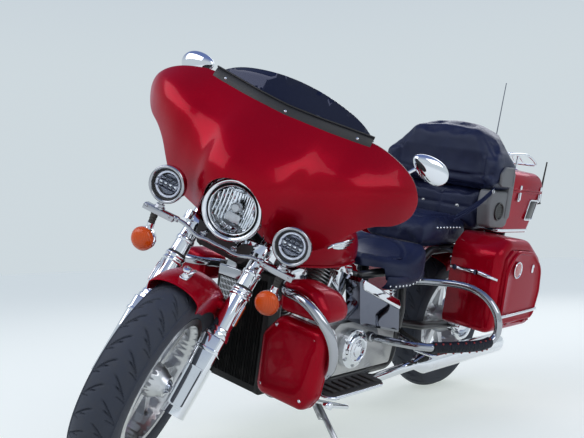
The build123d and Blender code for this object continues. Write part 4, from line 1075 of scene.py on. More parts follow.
def make_screen_trim():
    """Black strip along the fairing's top edge with screws, a bead above it and one under the screen."""
    line = []
    for step in range(25):
        x = -0.276 + 0.552 * step / 24
        z = through([1162.0, 1166.0, 1172.0, 1176.0], [0, 104, 208, 285], abs(x) * 1000) / 1000
        line.append(Vector((x, fairing_y(x, z), z)))
    strip = begin("grid", "screen_strip", x_subdivisions=24, y_subdivisions=4, size=1.0)
    for index, point in enumerate(strip.data.vertices):
        row, column = divmod(index, 25)
        at = line[column]
        rise = -0.024 + 0.04 * row / 4
        crown = 0.0045 * (1.0 - (row / 2.0 - 1.0) ** 2)
        point.co = (at.x, at.y - 0.0035 - crown + rise * 0.95 * 0.5, at.z + rise)
    hold(strip)
    apply(strip, "SOLIDIFY", thickness=0.003, offset=0.0)
    apply(strip, "BEVEL", width=0.0008, segments=2, limit_method="ANGLE", angle_limit=math.radians(50))
    done(strip, "inner_black", "steering")
    places = []
    for share in (2, 12, 22):
        at = line[share]
        places.append(aim((0, -0.86, 0.5), (at.x, at.y - 0.0085, at.z - 0.003)))
    screws = copies(button("screen_screws", 0.0052, 0.0042), places, "screen_screws")
    done(screws, "chrome", "steering")
    bead = bar("screen_bead", [p + Vector((0, -0.0015, 0.0185)) for p in line], 0.0026)
    lip = bar("screen_lip", [p + Vector((0, -0.0165, -0.0245)) for p in line], 0.0016)
    done(lip, "chrome_dark", "steering", slot="chrome")
    done(bead, "antenna_black", "steering")


# Lamps on the steered bars


lamp_place = Vector((0.212, -0.691, 0.83))
signal_place = Vector((0.216, -0.712, 0.648))
bar_height = 0.746
bar_depth = -0.69
yoke_up = 0.858


def make_headlight():
    """Bucket, deep bezel with a second inner ring, faceted reflector, bulb shield and domed lens."""
    ahead = (0, -1, 0)
    c = headlight_centre
    bezel = spun(
        "headlight_bezel",
        [
            (0.066, -0.112), (0.039, -0.112), (0.064, -0.096), (0.092, -0.03), (0.0975, -0.024),
            (0.0985, -0.004), (0.0975, 0.003), (0.0945, 0.0085), (0.09, 0.01), (0.0855, 0.008),
            (0.0825, 0.003), (0.0815, -0.003), (0.0815, -0.02), (0.066, -0.06),
        ],
        ahead, c, 96,
    )
    inner = spun(
        "headlight_ring",
        [
            (0.0775, -0.02), (0.0775, -0.001), (0.0765, 0.0035), (0.0742, 0.0045), (0.0722, 0.0025),
            (0.0716, -0.004), (0.0716, -0.02),
        ],
        ahead, c, 96,
    )
    end_cap = spun(
        "headlight_back", [(0, -0.1125), (0.04, -0.112), (0.045, -0.108), (0.045, -0.104), (0, -0.104)],
        ahead, c, 48,
    )
    foot = bar(
        "headlight_foot",
        [
            c + Vector((0, 0.06, -0.06)), (fork_point(0, 0.06, yoke_up) + c + Vector((0, 0.06, -0.06))) / 2,
            fork_point(0, 0.06, yoke_up),
        ],
        0.016,
    )
    shell = done(
        joined([bezel, inner, end_cap, foot], "headlight_shell"), "chrome", "steering",
        replaces=("headlight",), smooth=50.0,
    )
    gasket = spun(
        "headlight_gasket",
        [
            (0.0818, -0.018), (0.0818, -0.004), (0.08, -0.0015), (0.0786, -0.004), (0.0772, -0.01),
            (0.0772, -0.018),
        ],
        ahead, c, 72,
    )
    done(gasket, "inner_black", "steering")
    bowl = [
        (0.0735, -0.008), (0.069, -0.024), (0.06, -0.038), (0.047, -0.05), (0.031, -0.059), (0.015, -0.063),
        (0.0145, -0.0645), (0.048, -0.052), (0.07, -0.026), (0.0745, -0.008),
    ]
    reflector = spun("headlight_reflector", bowl, ahead, c, 22)
    flutes = []
    for k in range(15):
        x = -0.063 + 0.009 * k
        tall = math.sqrt(max(0.0, 0.07 ** 2 - x ** 2))
        depth = 0.052 * (1.0 - (abs(x) / 0.074) ** 2)
        flute = bar(
            "flute",
            [
                (x, c.y + depth - 0.002 + 0.01 * (1 - abs(z)), c.z + tall * z)
                for z in (-0.97, -0.55, 0.0, 0.55, 0.97)
            ],
            0.0038, sides=1,
        )
        flutes.append(flute)
    lobes = joined([reflector] + flutes, "headlight_reflector")
    done(lobes, "mirror", "steering", slot="chrome", smooth=12.0)
    cap = spun(
        "bulb_cap",
        [
            (0, 0.0), (0.0115, -0.0005), (0.0155, -0.004), (0.0165, -0.012), (0.0165, -0.019),
            (0.015, -0.019), (0.0145, -0.012), (0, -0.006),
        ],
        ahead, c + Vector((0, 0.02, 0.004)), 32,
    )
    stem = spun(
        "bulb_stem", [(0.0, -0.012), (0.0042, -0.012), (0.0042, -0.046), (0.0, -0.046)], ahead,
        c + Vector((0, 0.018, 0.004)), 16,
    )
    shade = slab(
        "bulb_shade",
        [
            (-0.021, -0.043), (0.021, -0.043), (0.024, -0.038), (0.024, -0.02), (0.019, -0.015),
            (-0.019, -0.015), (-0.024, -0.02), (-0.024, -0.038),
        ],
        0.03, 0.033, "y", 0.0008,
    )
    shade.data.transform(Matrix.Translation((0, c.y, c.z)))
    legs = [
        bar(
            "shade_leg",
            [
                c + Vector((s * 0.017, 0.032, -0.02)), c + Vector((s * 0.017, 0.044, -0.01)),
                c + Vector((s * 0.014, 0.055, 0)),
            ],
            0.0016, sides=2,
        )
        for s in (-1, 1)
    ]
    done(joined([cap, stem, shade] + legs, "headlight_bulb"), "steel", "steering")
    lens = spun(
        "headlight_lens",
        [
            (0, 0.0115), (0.018, 0.0108), (0.036, 0.0086), (0.052, 0.005), (0.064, 0.001),
            (0.0712, -0.0028), (0.0712, -0.0052), (0.062, -0.0014), (0.05, 0.0026), (0.034, 0.0062),
            (0.017, 0.0084), (0, 0.0091),
        ],
        ahead, c, 72,
    )
    done(lens, "glass", "steering", slot="chrome", smooth=60.0)
    visor = bar(
        "headlight_visor",
        [
            c + Vector((0.0995 * math.sin(a), 0.006, 0.0995 * math.cos(a)))
            for a in (math.radians(d) for d in range(-70, 71, 14))
        ],
        0.0024,
    )
    done(visor, "chrome", "steering")
    return shell


def make_driving_lamps():
    """A pair of small lamps: bezel, black ring, pale halo and a row of four small optics."""
    ahead = (0, -1, 0)
    c = lamp_place
    shell = spun(
        "lamp_shell",
        [
            (0, -0.058), (0.022, -0.058), (0.03, -0.054), (0.047, -0.04), (0.0575, -0.02), (0.0588, -0.012),
            (0.059, 0.002), (0.0578, 0.006), (0.055, 0.008), (0.0515, 0.0075), (0.0492, 0.0045),
            (0.0485, 0.0), (0.0485, -0.012), (0.044, -0.016),
        ],
        ahead, c, 72,
    )
    foot = bar(
        "lamp_stem", [(c.x, c.y + 0.01, 0.7522), (c.x, c.y + 0.01, 0.766), (c.x, c.y + 0.01, 0.782)], 0.009,
    )
    nut = hexagon("lamp_nut", 0.0135, 0.01)
    nut.data.transform(Matrix.Translation((c.x, c.y + 0.01, 0.7535)))
    body = mirrored(joined([shell, foot, nut], "lamp_shells"))
    done(body, "chrome_grey", "steering", slot="chrome", replaces=("driving_lamps",), smooth=50.0)
    ring = spun(
        "lamp_ring",
        [
            (0.0486, -0.012), (0.0486, 0.0015), (0.0462, 0.0025), (0.043, 0.0), (0.0418, -0.004),
            (0.04, -0.012),
        ],
        ahead, c, 64,
    )
    done(mirrored(joined([ring], "lamp_rings")), "inner_black", "steering")
    halo = spun(
        "lamp_halo",
        [
            (0.0416, -0.009), (0.0408, -0.0045), (0.0382, -0.0032), (0.0358, -0.0045), (0.035, -0.009),
            (0.0383, -0.011), (0.0416, -0.009),
        ],
        ahead, c, 64,
    )
    done(mirrored(joined([halo], "lamp_halos")), "halo", "steering", slot="chrome")
    face = spun(
        "lamp_face",
        [
            (0, -0.016), (0.012, -0.016), (0.03, -0.0145), (0.0355, -0.0105), (0.0358, -0.018),
            (0.02, -0.021), (0, -0.021),
        ],
        ahead, c, 28,
    )
    bars = [
        slab(
            "lamp_rail",
            [(-0.034, z - 0.0009), (0.034, z - 0.0009), (0.034, z + 0.0009), (-0.034, z + 0.0009)], -0.0135,
            0.004, "y", 0.0004, 1,
        )
        for z in (-0.0105, 0.0105)
    ]
    posts = [
        slab(
            "lamp_post",
            [(x - 0.0011, -0.0105), (x + 0.0011, -0.0105), (x + 0.0011, 0.0105), (x - 0.0011, 0.0105)],
            0.004, 0.0125, "y", 0.0004, 1,
        )
        for x in (-0.016, 0.0, 0.016)
    ]
    for part in bars + posts:
        part.data.transform(Matrix.Translation(c))
    done(
        mirrored(joined([face] + bars + posts, "lamp_faces")), "chrome_dark", "steering", slot="chrome",
        smooth=20.0,
    )
    optic = spun(
        "lamp_optic",
        [
            (0, 0.0045), (0.004, 0.0036), (0.0064, 0.001), (0.0068, -0.003), (0.0076, -0.003),
            (0.0078, -0.008), (0, -0.008),
        ],
        ahead, (0, 0, 0), 20,
    )
    optic.data.transform(Matrix.Scale(1.35, 4, (0, 0, 1)))
    places = [Matrix.Translation((c.x + x, c.y + 0.0065, c.z)) for x in (-0.024, -0.008, 0.008, 0.024)]
    done(mirrored(copies(optic, places, "lamp_optics")), "mirror", "steering", slot="chrome")
    lens = spun(
        "lamp_lens",
        [
            (0, 0.0065), (0.016, 0.0058), (0.03, 0.004), (0.0412, 0.0012), (0.0412, -0.0006),
            (0.03, 0.0022), (0.016, 0.004), (0, 0.0047),
        ],
        ahead, c, 56,
    )
    done(mirrored(joined([lens], "lamp_lenses")), "glass", "steering", slot="chrome", smooth=60.0)


# Right half of the light bar's wave: distance from the middle, back and rise
light_bar_wave = (
    (0.028, -0.004, -0.013), (0.06, -0.004, -0.018), (0.082, -0.003, -0.013), (0.108, -0.001, -0.002),
    (0.135, 0.0, 0.001), (0.165, 0.0, 0.0),
)


def make_light_bar():
    """Wavy bright bar between two bevelled end plates, with its arms, nuts and a gusset panel."""
    z, y = bar_height, bar_depth
    right = [(x, y + back, z + rise) for x, back, rise in light_bar_wave]
    line = [(-x, *rest) for x, *rest in reversed(right)] + [(0.0, y - 0.004, z - 0.016)] + right
    wave = bar("light_bar_tube", line, 0.0062)
    sleeve = spun(
        "light_bar_sleeve",
        [(0.0, 0.0), (0.0085, 0.0), (0.0095, 0.002), (0.0095, 0.014), (0.0085, 0.016), (0.0, 0.016)],
        (1, 0, 0), (0.138, y, z), 24,
    )
    plate = slab(
        "light_bar_plate", [(0.15, y - 0.014), (0.256, y - 0.014), (0.256, y + 0.015), (0.15, y + 0.015)],
        z - 0.013, z + 0.0055, "z", 0.0022, 3,
    )
    button_head = button("light_bar_bolt", 0.0045, 0.004)
    bolts = copies(
        button_head,
        [
            aim((1, 0, 0), (0.2545, y, z)), aim((0, -1, 0), (0.164, y - 0.0135, z)),
            aim((0, -1, 0), (0.244, y - 0.0135, z)),
        ],
        "light_bar_bolts",
    )
    arm = bar(
        "light_bar_arm",
        [(0.052, y, z - 0.014), (0.052, y + 0.035, z + 0.004), fork_point(0.052, 0.072, 0.842)], 0.006,
    )
    collar = spun(
        "light_bar_collar",
        [(0.0, 0.0), (0.0105, 0.0), (0.0115, 0.003), (0.0115, 0.012), (0.009, 0.015), (0.0, 0.015)],
        (0, 0.55, 0.1), (0.052, y + 0.004, z - 0.01), 24,
    )
    left = joined([sleeve, plate, bolts, arm, collar], "light_bar_ends")
    both = mirrored(left)
    done(
        joined([wave, both], "light_bar_chrome"), "chrome_grey", "steering", slot="chrome",
        replaces=("light_bar",), smooth=42.0,
    )
    gusset = slab(
        "fork_gusset",
        [
            (-0.078, 0.69), (0.078, 0.69), (0.092, 0.716), (0.096, 0.762), (0.07, 0.752), (0.04, 0.742),
            (-0.04, 0.742), (-0.07, 0.752), (-0.096, 0.762), (-0.092, 0.716),
        ],
        0.0, 0.004, "y", 0.0012,
    )
    gusset.data.transform(Matrix.Translation((0, -0.632, 0)))
    pick(gusset, lambda c, n: n.y < -0.9 and abs(c.x) < 0.08)
    bpy.ops.mesh.inset(thickness=0.01, depth=-0.0015)
    done(gusset, "inner_black", "steering")


def make_signals():
    """Amber round signals hung on ribbed rubber stalks with bright necks."""
    ahead = (0, -1, 0)
    c = signal_place + Vector((0, -0.006, 0))
    lens = spun(
        "signal_lens",
        [
            (0, 0.016), (0.01, 0.0155), (0.02, 0.0132), (0.0285, 0.0088), (0.034, 0.003), (0.0362, -0.004),
            (0.0362, -0.01), (0, -0.01),
        ],
        ahead, c, 56,
    )
    done(mirrored(joined([lens], "signal_lenses")), "amber_lens", "steering", smooth=60.0)
    body = spun(
        "signal_body",
        [
            (0.036, -0.006), (0.0378, -0.005), (0.0382, -0.012), (0.0375, -0.024), (0.033, -0.038),
            (0.024, -0.048), (0.012, -0.0535), (0, -0.055),
        ],
        ahead, c, 56,
    )
    neck = spun(
        "signal_neck",
        [
            (0, 0.024), (0.014, 0.024), (0.0125, 0.034), (0.0112, 0.044), (0.0118, 0.046), (0.0118, 0.052),
            (0, 0.052),
        ],
        (0, 0, 1), (c.x, bar_depth, signal_place.z), 32,
    )
    done(
        mirrored(joined([body, neck], "signal_bodies")), "chrome", "steering", replaces=("turn_signals",),
        smooth=50.0,
    )
    ribs = [(0, 0.05), (0.0095, 0.05)]
    for k in range(4):
        low = 0.052 + 0.0092 * k
        wide = 0.0105 + 0.0006 * k
        ribs += [
            (wide - 0.0012, low), (wide, low + 0.0016), (wide, low + 0.006), (wide - 0.0012, low + 0.0076),
        ]
    ribs += [(0.0112, 0.0912), (0, 0.0912)]
    stalk = spun("signal_stalk", ribs, (0, 0, 1), (c.x, bar_depth, signal_place.z), 28)
    done(mirrored(joined([stalk], "signal_stalks")), "footboard_rubber", "steering")


class CRUISER_OT_lamps(bpy.types.Operator):
    """Makes the headlight, the driving lamps, the bar that carries them and the front signals"""

    bl_idname = "cruiser.lamps"
    bl_label = "Lamps"

    def execute(self, context):
        make_headlight()
        make_driving_lamps()
        make_light_bar()
        make_signals()
        return {"FINISHED"}


# Seats


def swell(piece, voxel, pressure, cap):
    """Fills a pad as a cushion is filled.

    A cloth simulation blows the closed skin up a little, and no point moves further than the cap.
    """
    apply(piece, "REMESH", mode="VOXEL", voxel_size=voxel, use_smooth_shade=True)
    apply(piece, "SMOOTH", factor=0.5, iterations=6)
    rest = [point.co.copy() for point in piece.data.vertices]
    hold(piece)
    cloth = piece.modifiers.new("filling", "CLOTH")
    settings = cloth.settings
    settings.quality = 5
    settings.mass = 0.3
    settings.tension_stiffness = settings.compression_stiffness = 12.0
    settings.bending_stiffness = 0.6
    settings.use_pressure = True
    settings.uniform_pressure_force = pressure
    settings.effector_weights.gravity = 0.0
    cloth.point_cache.frame_start, cloth.point_cache.frame_end = 1, 20
    for step in range(1, 21):
        bpy.context.scene.frame_set(step)
    bpy.ops.object.modifier_apply(modifier=cloth.name)
    bpy.context.scene.frame_set(1)
    for point, start in zip(piece.data.vertices, rest):
        move = point.co - start
        if move.length > cap:
            point.co = start + move * (cap / move.length)
    apply(piece, "SMOOTH", factor=0.4, iterations=3)
    return piece


def press(piece, lines, depth, width):
    """Sewn channels and creases: points near a line sink along their normal."""
    for point, normal in [(p, p.normal.copy()) for p in piece.data.vertices]:
        sink = 0.0
        for a, b in lines:
            run = b - a
            share = max(0.0, min(1.0, (point.co - a).dot(run) / run.length_squared))
            miss = (point.co - a - run * share).length
            if miss < width:
                sink = max(sink, 0.5 + 0.5 * math.cos(math.pi * miss / width))
        if sink:
            point.co -= normal * depth * sink


def wrinkle(piece, height, scale, stretch=(1.0, 1.0, 1.0), only=None):
    """Soft folds pushed into a hide."""
    for point, normal in [(p, p.normal.copy()) for p in piece.data.vertices]:
        if only and not only(point.co):
            continue
        at = Vector([point.co[k] * scale * stretch[k] for k in range(3)])
        point.co += normal * height * wobble(at)


def drawn_through(name, rings):
    """An open skin through closed rings of equal counts, the first ring extruded row by row."""
    count = len(rings[0])
    piece = begin("circle", name, vertices=count, fill_type="NOTHING")
    for point, place in zip(piece.data.vertices, rings[0]):
        point.co = place
    bpy.ops.object.mode_set(mode="EDIT")
    bpy.ops.mesh.select_all(action="SELECT")
    for _ in rings[1:]:
        bpy.ops.mesh.extrude_region_move()
    bpy.ops.object.mode_set(mode="OBJECT")
    for index, ring in enumerate(rings):
        for k, place in enumerate(ring):
            piece.data.vertices[index * count + k].co = place
    return piece


def section_body(name, sections, corner_steps=7):
    """A closed loft through rounded sections: y, half width, bottom, top, corner radius."""
    rings = []
    for y, half, low, high, corner in sections:
        ring = []
        for cx, cz, start in (
            (half - corner, high - corner, 0), (-half + corner, high - corner, 90),
            (-half + corner, low + corner, 180), (half - corner, low + corner, 270),
        ):
            for k in range(corner_steps + 1):
                a = math.radians(start + 90.0 * k / corner_steps)
                ring.append((cx + corner * math.cos(a), y, cz + corner * math.sin(a)))
        rings.append(ring)
    piece = drawn_through(name, rings)
    ends = (sections[0][0], sections[-1][0])
    pick(piece, lambda a, b: abs(a.y - b.y) < 1e-6 and min(abs(a.y - end) for end in ends) < 1e-6, "EDGE")
    bpy.ops.mesh.edge_face_add()
    bpy.ops.mesh.select_all(action="DESELECT")
    bpy.ops.object.mode_set(mode="OBJECT")
    hold(piece)
    bpy.ops.object.mode_set(mode="EDIT")
    bpy.ops.mesh.select_all(action="SELECT")
    bpy.ops.mesh.fill_holes(sides=0)
    bpy.ops.mesh.normals_make_consistent(inside=False)
    bpy.ops.object.mode_set(mode="OBJECT")
    return piece


def read_at(sections, column, y):
    """One column of a table of sections, read smoothly at a place along the bike."""
    return through([row[column] for row in sections], [row[0] for row in sections], y)


def between_sections(sections, steps):
    """More sections on smooth lines through the given ones."""
    first, last = sections[0][0], sections[-1][0]
    places = [first + (last - first) * k / steps for k in range(steps + 1)]
    return [(y, *(read_at(sections, column, y) for column in range(1, 5))) for y in places]


rider_sections = (
    # y, half width, bottom, top, corner radius
    (0.06, 0.082, 0.612, 0.668, 0.024),
    (0.095, 0.112, 0.594, 0.664, 0.028),
    (0.14, 0.162, 0.574, 0.658, 0.032),
    (0.2, 0.194, 0.568, 0.656, 0.034),
    (0.26, 0.206, 0.568, 0.668, 0.036),
    (0.31, 0.204, 0.576, 0.696, 0.04),
    (0.346, 0.184, 0.592, 0.726, 0.042),
)
passenger_sections = (
    # y, half width, bottom, top, corner radius
    (0.366, 0.146, 0.704, 0.782, 0.03),
    (0.4, 0.16, 0.704, 0.808, 0.04),
    (0.46, 0.168, 0.704, 0.822, 0.044),
    (0.56, 0.168, 0.704, 0.824, 0.044),
    (0.64, 0.166, 0.704, 0.822, 0.042),
    (0.692, 0.152, 0.704, 0.814, 0.038),
)


# Half section of a domed stud: radius and height
stud_profile = [(0, 0.003), (0.0024, 0.0026), (0.0042, 0.0012), (0.0048, 0.0), (0.0048, -0.001), (0, -0.001)]


def make_rider_seat():
    """Deep bucket with a rolled bolster round its edge, a seam inside the roll, a skirt and studs."""
    seat = section_body("rider_seat_hide", between_sections(rider_sections, 18))
    swell(seat, 0.0055, 4.0, 0.009)
    rail_width, rail_height = 0.146, 0.6235
    for point in seat.data.vertices:
        if abs(point.co.x) < rail_width and point.co.z < rail_height + 0.004:
            point.co.z = max(point.co.z, rail_height + 0.002)
    seam = []
    for k in range(33):
        a = math.radians(-100 + 200 * k / 32)
        drawn_in = 1.0 if abs(a) < 1.6 else 0.9
        seam.append(Vector((0.15 * math.sin(a) * drawn_in, 0.205 + 0.118 * math.cos(a), 0.0)))
    for point in seam:
        point.z = read_at(rider_sections, 3, point.y) + 0.006
    press(seat, list(zip(seam, seam[1:])), 0.0065, 0.013)
    wrinkle(seat, 0.0016, 24.0, (1.0, 0.6, 1.0))
    apply(seat, "SUBSURF", levels=1, render_levels=1)
    done(seat, "seat_leather", "chassis", replaces=("rider_seat",), smooth=None)
    bead = bar("rider_seat_welt", [p + Vector((0, 0, -0.0035)) for p in seam], 0.0028)
    done(bead, "seat_leather", "chassis")
    skirt_start, skirt_end, skirt_drop = 0.12, 0.335, 0.052
    line = []
    for k in range(11):
        y = skirt_start + (skirt_end - skirt_start) * k / 10
        narrowed = 1 - 0.35 * max(0.0, (0.17 - y) / 0.08) ** 2
        line.append(Vector((0.192 * narrowed, y, 0.6 + 0.25 * max(0.0, y - 0.26))))
    skirt = begin("grid", "rider_seat_skirt", x_subdivisions=10, y_subdivisions=6, size=1.0)
    for index, point in enumerate(skirt.data.vertices):
        row, column = divmod(index, 11)
        share = row / 6
        at = line[column]
        bulge = 0.006 * math.sin(math.pi * share) + 0.002 * math.sin(at.y * 190.0) * share
        point.co = (at.x + bulge - 0.02 * share ** 2, at.y - 0.006 * share, at.z - skirt_drop * share)
    apply(skirt, "SOLIDIFY", thickness=0.004, offset=0.0)
    apply(skirt, "SUBSURF", levels=1, render_levels=1)
    done(mirrored(skirt), "seat_leather", "chassis", smooth=60.0)
    stud = spun("seat_studs", stud_profile, steps=12)
    places = []
    for k in range(9):
        y = 0.135 + 0.0235 * k
        x = 0.196 * (1 - 0.3 * max(0.0, (0.17 - y) / 0.08) ** 2) - 0.006
        places.append(aim((1, 0, -0.25), (x, y - 0.004, 0.563 + 0.25 * max(0.0, y - 0.26))))
    done(mirrored(copies(stud, places, "seat_studs")), "chrome", "chassis")


def make_passenger_seat():
    """Broad pillion cushion with a sewn top panel and a row of studs."""
    seat = section_body("passenger_seat_hide", between_sections(passenger_sections, 16))
    swell(seat, 0.0055, 4.0, 0.008)
    loop = []
    for k in range(41):
        a = 2 * math.pi * k / 40
        x = 0.118 * max(-1.0, min(1.0, 1.25 * math.cos(a)))
        y = 0.53 + 0.12 * max(-1.0, min(1.0, 1.25 * math.sin(a)))
        loop.append(Vector((x, y, read_at(passenger_sections, 3, y) + 0.005)))
    press(seat, list(zip(loop, loop[1:])), 0.006, 0.012)
    wrinkle(seat, 0.0018, 22.0, (0.7, 1.0, 1.0))
    done(seat, "seat_leather", "chassis", replaces=("passenger_seat",), smooth=None)
    stud = spun("pillion_studs", stud_profile, steps=12)
    places = [aim((1, 0, 0.4), (0.1712, 0.42 + 0.026 * k, 0.786)) for k in range(8)]
    done(mirrored(copies(stud, places, "pillion_studs")), "chrome", "chassis")


def corner_ring(corners, steps=8):
    """A closed outline of (a, b) points from corners with their own radii."""
    ring = []
    count = len(corners)
    for k in range(count):
        at = Vector(corners[k][:2])
        before, after = Vector(corners[k - 1][:2]) - at, Vector(corners[(k + 1) % count][:2]) - at
        opening = before.angle(after)
        reach = min(corners[k][2] / math.tan(opening / 2), before.length * 0.49, after.length * 0.49)
        radius = reach * math.tan(opening / 2)
        start, end = at + before.normalized() * reach, at + after.normalized() * reach
        halfway = (before.normalized() + after.normalized()).normalized()
        middle = at + halfway * (radius / math.sin(opening / 2))
        a0 = math.atan2(start.y - middle.y, start.x - middle.x)
        a1 = math.atan2(end.y - middle.y, end.x - middle.x)
        sweep = (a1 - a0 + math.pi) % (2 * math.pi) - math.pi
        for step in range(steps + 1):
            a = a0 + sweep * step / steps
            ring.append((middle.x + radius * math.cos(a), middle.y + radius * math.sin(a)))
    return ring


def rounded(left, right, low, high, radii, steps=8):
    """A rectangle's outline, its low and high corners rounded by one radius or by two."""
    foot, top = radii if isinstance(radii, tuple) else (radii, radii)
    return corner_ring(((left, low, foot), (left, high, top), (right, high, top), (right, low, foot)), steps)


crown_corners = (
    (-0.276, 0.966, 0.018), (-0.287, 1.072, 0.05), (-0.236, 1.128, 0.08), (-0.166, 1.214, 0.075),
    (0, 1.229, 0.4), (0.166, 1.214, 0.075), (0.236, 1.128, 0.08), (0.287, 1.072, 0.05),
    (0.276, 0.966, 0.018),
)


def wrap_round(x):
    """How far forward the backrest's sides reach at a distance from the middle."""
    return 0.036 * max(0.0, (abs(x) - 0.165) / 0.12) ** 1.5


def make_backrest():
    """Wrap-round backrest: crown sloping into the arms, a rolled foot, grey panels and a lumbar pad."""
    crown = slab("backrest_hide", corner_ring(crown_corners, 6), 0.654, 0.838, "y", 0.046, 6)
    swell(crown, 0.0065, 4.5, 0.01)
    for point in crown.data.vertices:
        x, y, z = point.co
        share = (0.842 - y) / 0.19
        low = max(0.0, (1.0 - (z - 0.962) / 0.15)) if z < 1.112 else 0.0
        y -= wrap_round(x) * (0.75 + 0.25 * share)
        y += 0.014 * math.sin(math.pi * min(1.0, low)) * max(0.0, share) * (1.0 if abs(x) < 0.22 else 0.5)
        y += 0.018 * max(0.0, (z - 1.15) / 0.08) ** 2 * max(0.0, share)
        point.co = (x, y, z)
    for side in (-1, 1):
        seam = [
            Vector((side * x, 0.654 - wrap_round(x), z))
            for x, z in ((0.168, 1.204), (0.196, 1.15), (0.206, 1.09), (0.205, 1.03), (0.196, 0.985))
        ]
        press(crown, list(zip(seam, seam[1:])), 0.0032, 0.012)
    roll = [
        Vector((x, 0.662 - wrap_round(x), 1.004 + 0.01 * (x / 0.2) ** 2))
        for x in (-0.262, -0.206, -0.12, 0.0, 0.12, 0.206, 0.262)
    ]
    press(crown, list(zip(roll, roll[1:])), 0.006, 0.015)
    wrinkle(crown, 0.0022, 17.0, (1.0, 1.0, 1.4))
    apply(crown, "SUBSURF", levels=1, render_levels=1)
    done(crown, "seat_leather", "chassis", replaces=("passenger_backrest",), smooth=None)
    panel = slab(
        "backrest_panel",
        corner_ring(
            (
                (0.664, 0.98, 0.012), (0.66, 1.034, 0.02), (0.69, 1.062, 0.02), (0.772, 1.064, 0.016),
                (0.782, 0.98, 0.012),
            ),
            5,
        ),
        0.282, 0.2945, "x", 0.004, 3,
    )
    pick(panel, lambda c, n: n.x > 0.9)
    bpy.ops.mesh.inset(thickness=0.007, depth=-0.0012)
    bpy.ops.object.mode_set(mode="OBJECT")
    done(mirrored(panel), "pod_grey", "chassis")
    pad = slab(
        "lumbar_hide",
        corner_ring(
            ((-0.19, 0.78, 0.02), (-0.192, 0.95, 0.02), (0.192, 0.95, 0.02), (0.19, 0.78, 0.02)), 5,
        ),
        0.706, 0.838, "y", 0.014, 4,
    )
    swell(pad, 0.006, 4.5, 0.008)
    press(
        pad,
        [
            (Vector((-0.19, 0.704, 0.868)), Vector((0.19, 0.704, 0.868))),
            (Vector((0.0, 0.704, 0.79)), Vector((0.0, 0.704, 0.95))),
        ],
        0.006, 0.014,
    )
    wrinkle(pad, 0.0055, 15.0, (1.3, 1.0, 0.45), lambda c: c.y < 0.76)
    done(pad, "seat_leather", "chassis", replaces=("lumbar_pad",), smooth=None)
    knob = spun(
        "lumbar_buttons", [(0, 0.0035), (0.006, 0.003), (0.0095, 0.001), (0.0105, -0.002), (0, -0.004)],
        steps=20,
    )
    places = [aim((0, -1, 0), (x, 0.7015, 0.868)) for x in (-0.087, 0.087)]
    done(copies(knob, places, "lumbar_buttons"), "steel", "chassis")


def make_pods():
    """Grey side housings under the backrest's arms, each with a ribbed black speaker grille and a strap."""
    body = slab(
        "pod_shell",
        corner_ring(
            (
                (0.203, 0.804, 0.022), (0.203, 1.056, 0.018), (0.268, 1.056, 0.026), (0.27, 0.85, 0.034),
                (0.246, 0.804, 0.022),
            ),
            5,
        ),
        0.798, 0.842, "y", 0.004, 3,
    )
    cheek = slab(
        "pod_cheek",
        corner_ring(
            (
                (0.668, 0.8, 0.022), (0.64, 0.9, 0.03), (0.65, 0.96, 0.016), (0.796, 0.96, 0.014),
                (0.84, 0.94, 0.016), (0.84, 0.8, 0.03),
            ),
            5,
        ),
        0.206, 0.266, "x", 0.014, 4,
    )
    done(mirrored(joined([body, cheek], "pod_shells")), "pod_grey", "chassis", replaces=("speaker_pods",))
    well = spun(
        "speaker_ring",
        [
            (0.0, 0.002), (0.03, 0.002), (0.033, 0.0062), (0.037, 0.0068), (0.039, 0.004), (0.039, -0.002),
            (0.0, -0.002),
        ],
        (1, 0, 0), (0.266, 0.735, 0.872), 48,
    )
    ribs = []
    for k in range(7):
        z = 0.872 - 0.024 + 0.008 * k
        half = math.sqrt(0.03 ** 2 - (z - 0.872) ** 2)
        ribs.append(
            bar(
                "speaker_rib", [(0.2695, 0.735 - half, z), (0.2715, 0.735, z), (0.2695, 0.735 + half, z)],
                0.0016, sides=1,
            )
        )
    done(mirrored(joined([well] + ribs, "speaker_grilles")), "antenna_black", "chassis")
    strap = begin("grid", "pillion_strap", x_subdivisions=14, y_subdivisions=8, size=1.0)
    for index, point in enumerate(strap.data.vertices):
        row, column = divmod(index, 15)
        share = column / 14
        wide = (row / 8 - 0.5) * 0.046
        sag = 0.01 * math.sin(math.pi * share)
        pleat = 0.0022 * math.sin(row * 2.2 + 3.0 * share)
        point.co = (
            0.2745 - 0.088 * share + pleat, 0.64 - 0.12 * share + wide * 0.55 - pleat,
            0.958 - 0.128 * share - sag + wide * 0.8,
        )
    apply(strap, "SOLIDIFY", thickness=0.003, offset=0.0)
    apply(strap, "BEVEL", width=0.0009, segments=2, limit_method="ANGLE", angle_limit=math.radians(50))
    buckle = hexagon("strap_bolt", 0.007, 0.004)
    buckle.data.transform(aim((1, 0, 0.1), (0.2765, 0.638, 0.956)))
    done(mirrored(strap), "seat_leather", "chassis")
    done(mirrored(joined([buckle], "strap_bolts")), "steel", "chassis")


class CRUISER_OT_seats(bpy.types.Operator):
    """Makes the padded seats, the backrest with its arms and lumbar pad, the pods and the strap"""

    bl_idname = "cruiser.seats"
    bl_label = "Seats"

    def execute(self, context):
        make_rider_seat()
        make_passenger_seat()
        make_backrest()
        make_pods()
        return {"FINISHED"}


# Fork, fender and mirrors


def up_the_fork(piece, x, forward, up):
    """Stands a piece made on z at a place in the fork's own frame."""
    piece.data.transform(aim(head_up, fork_point(x, forward, up)))
    return piece


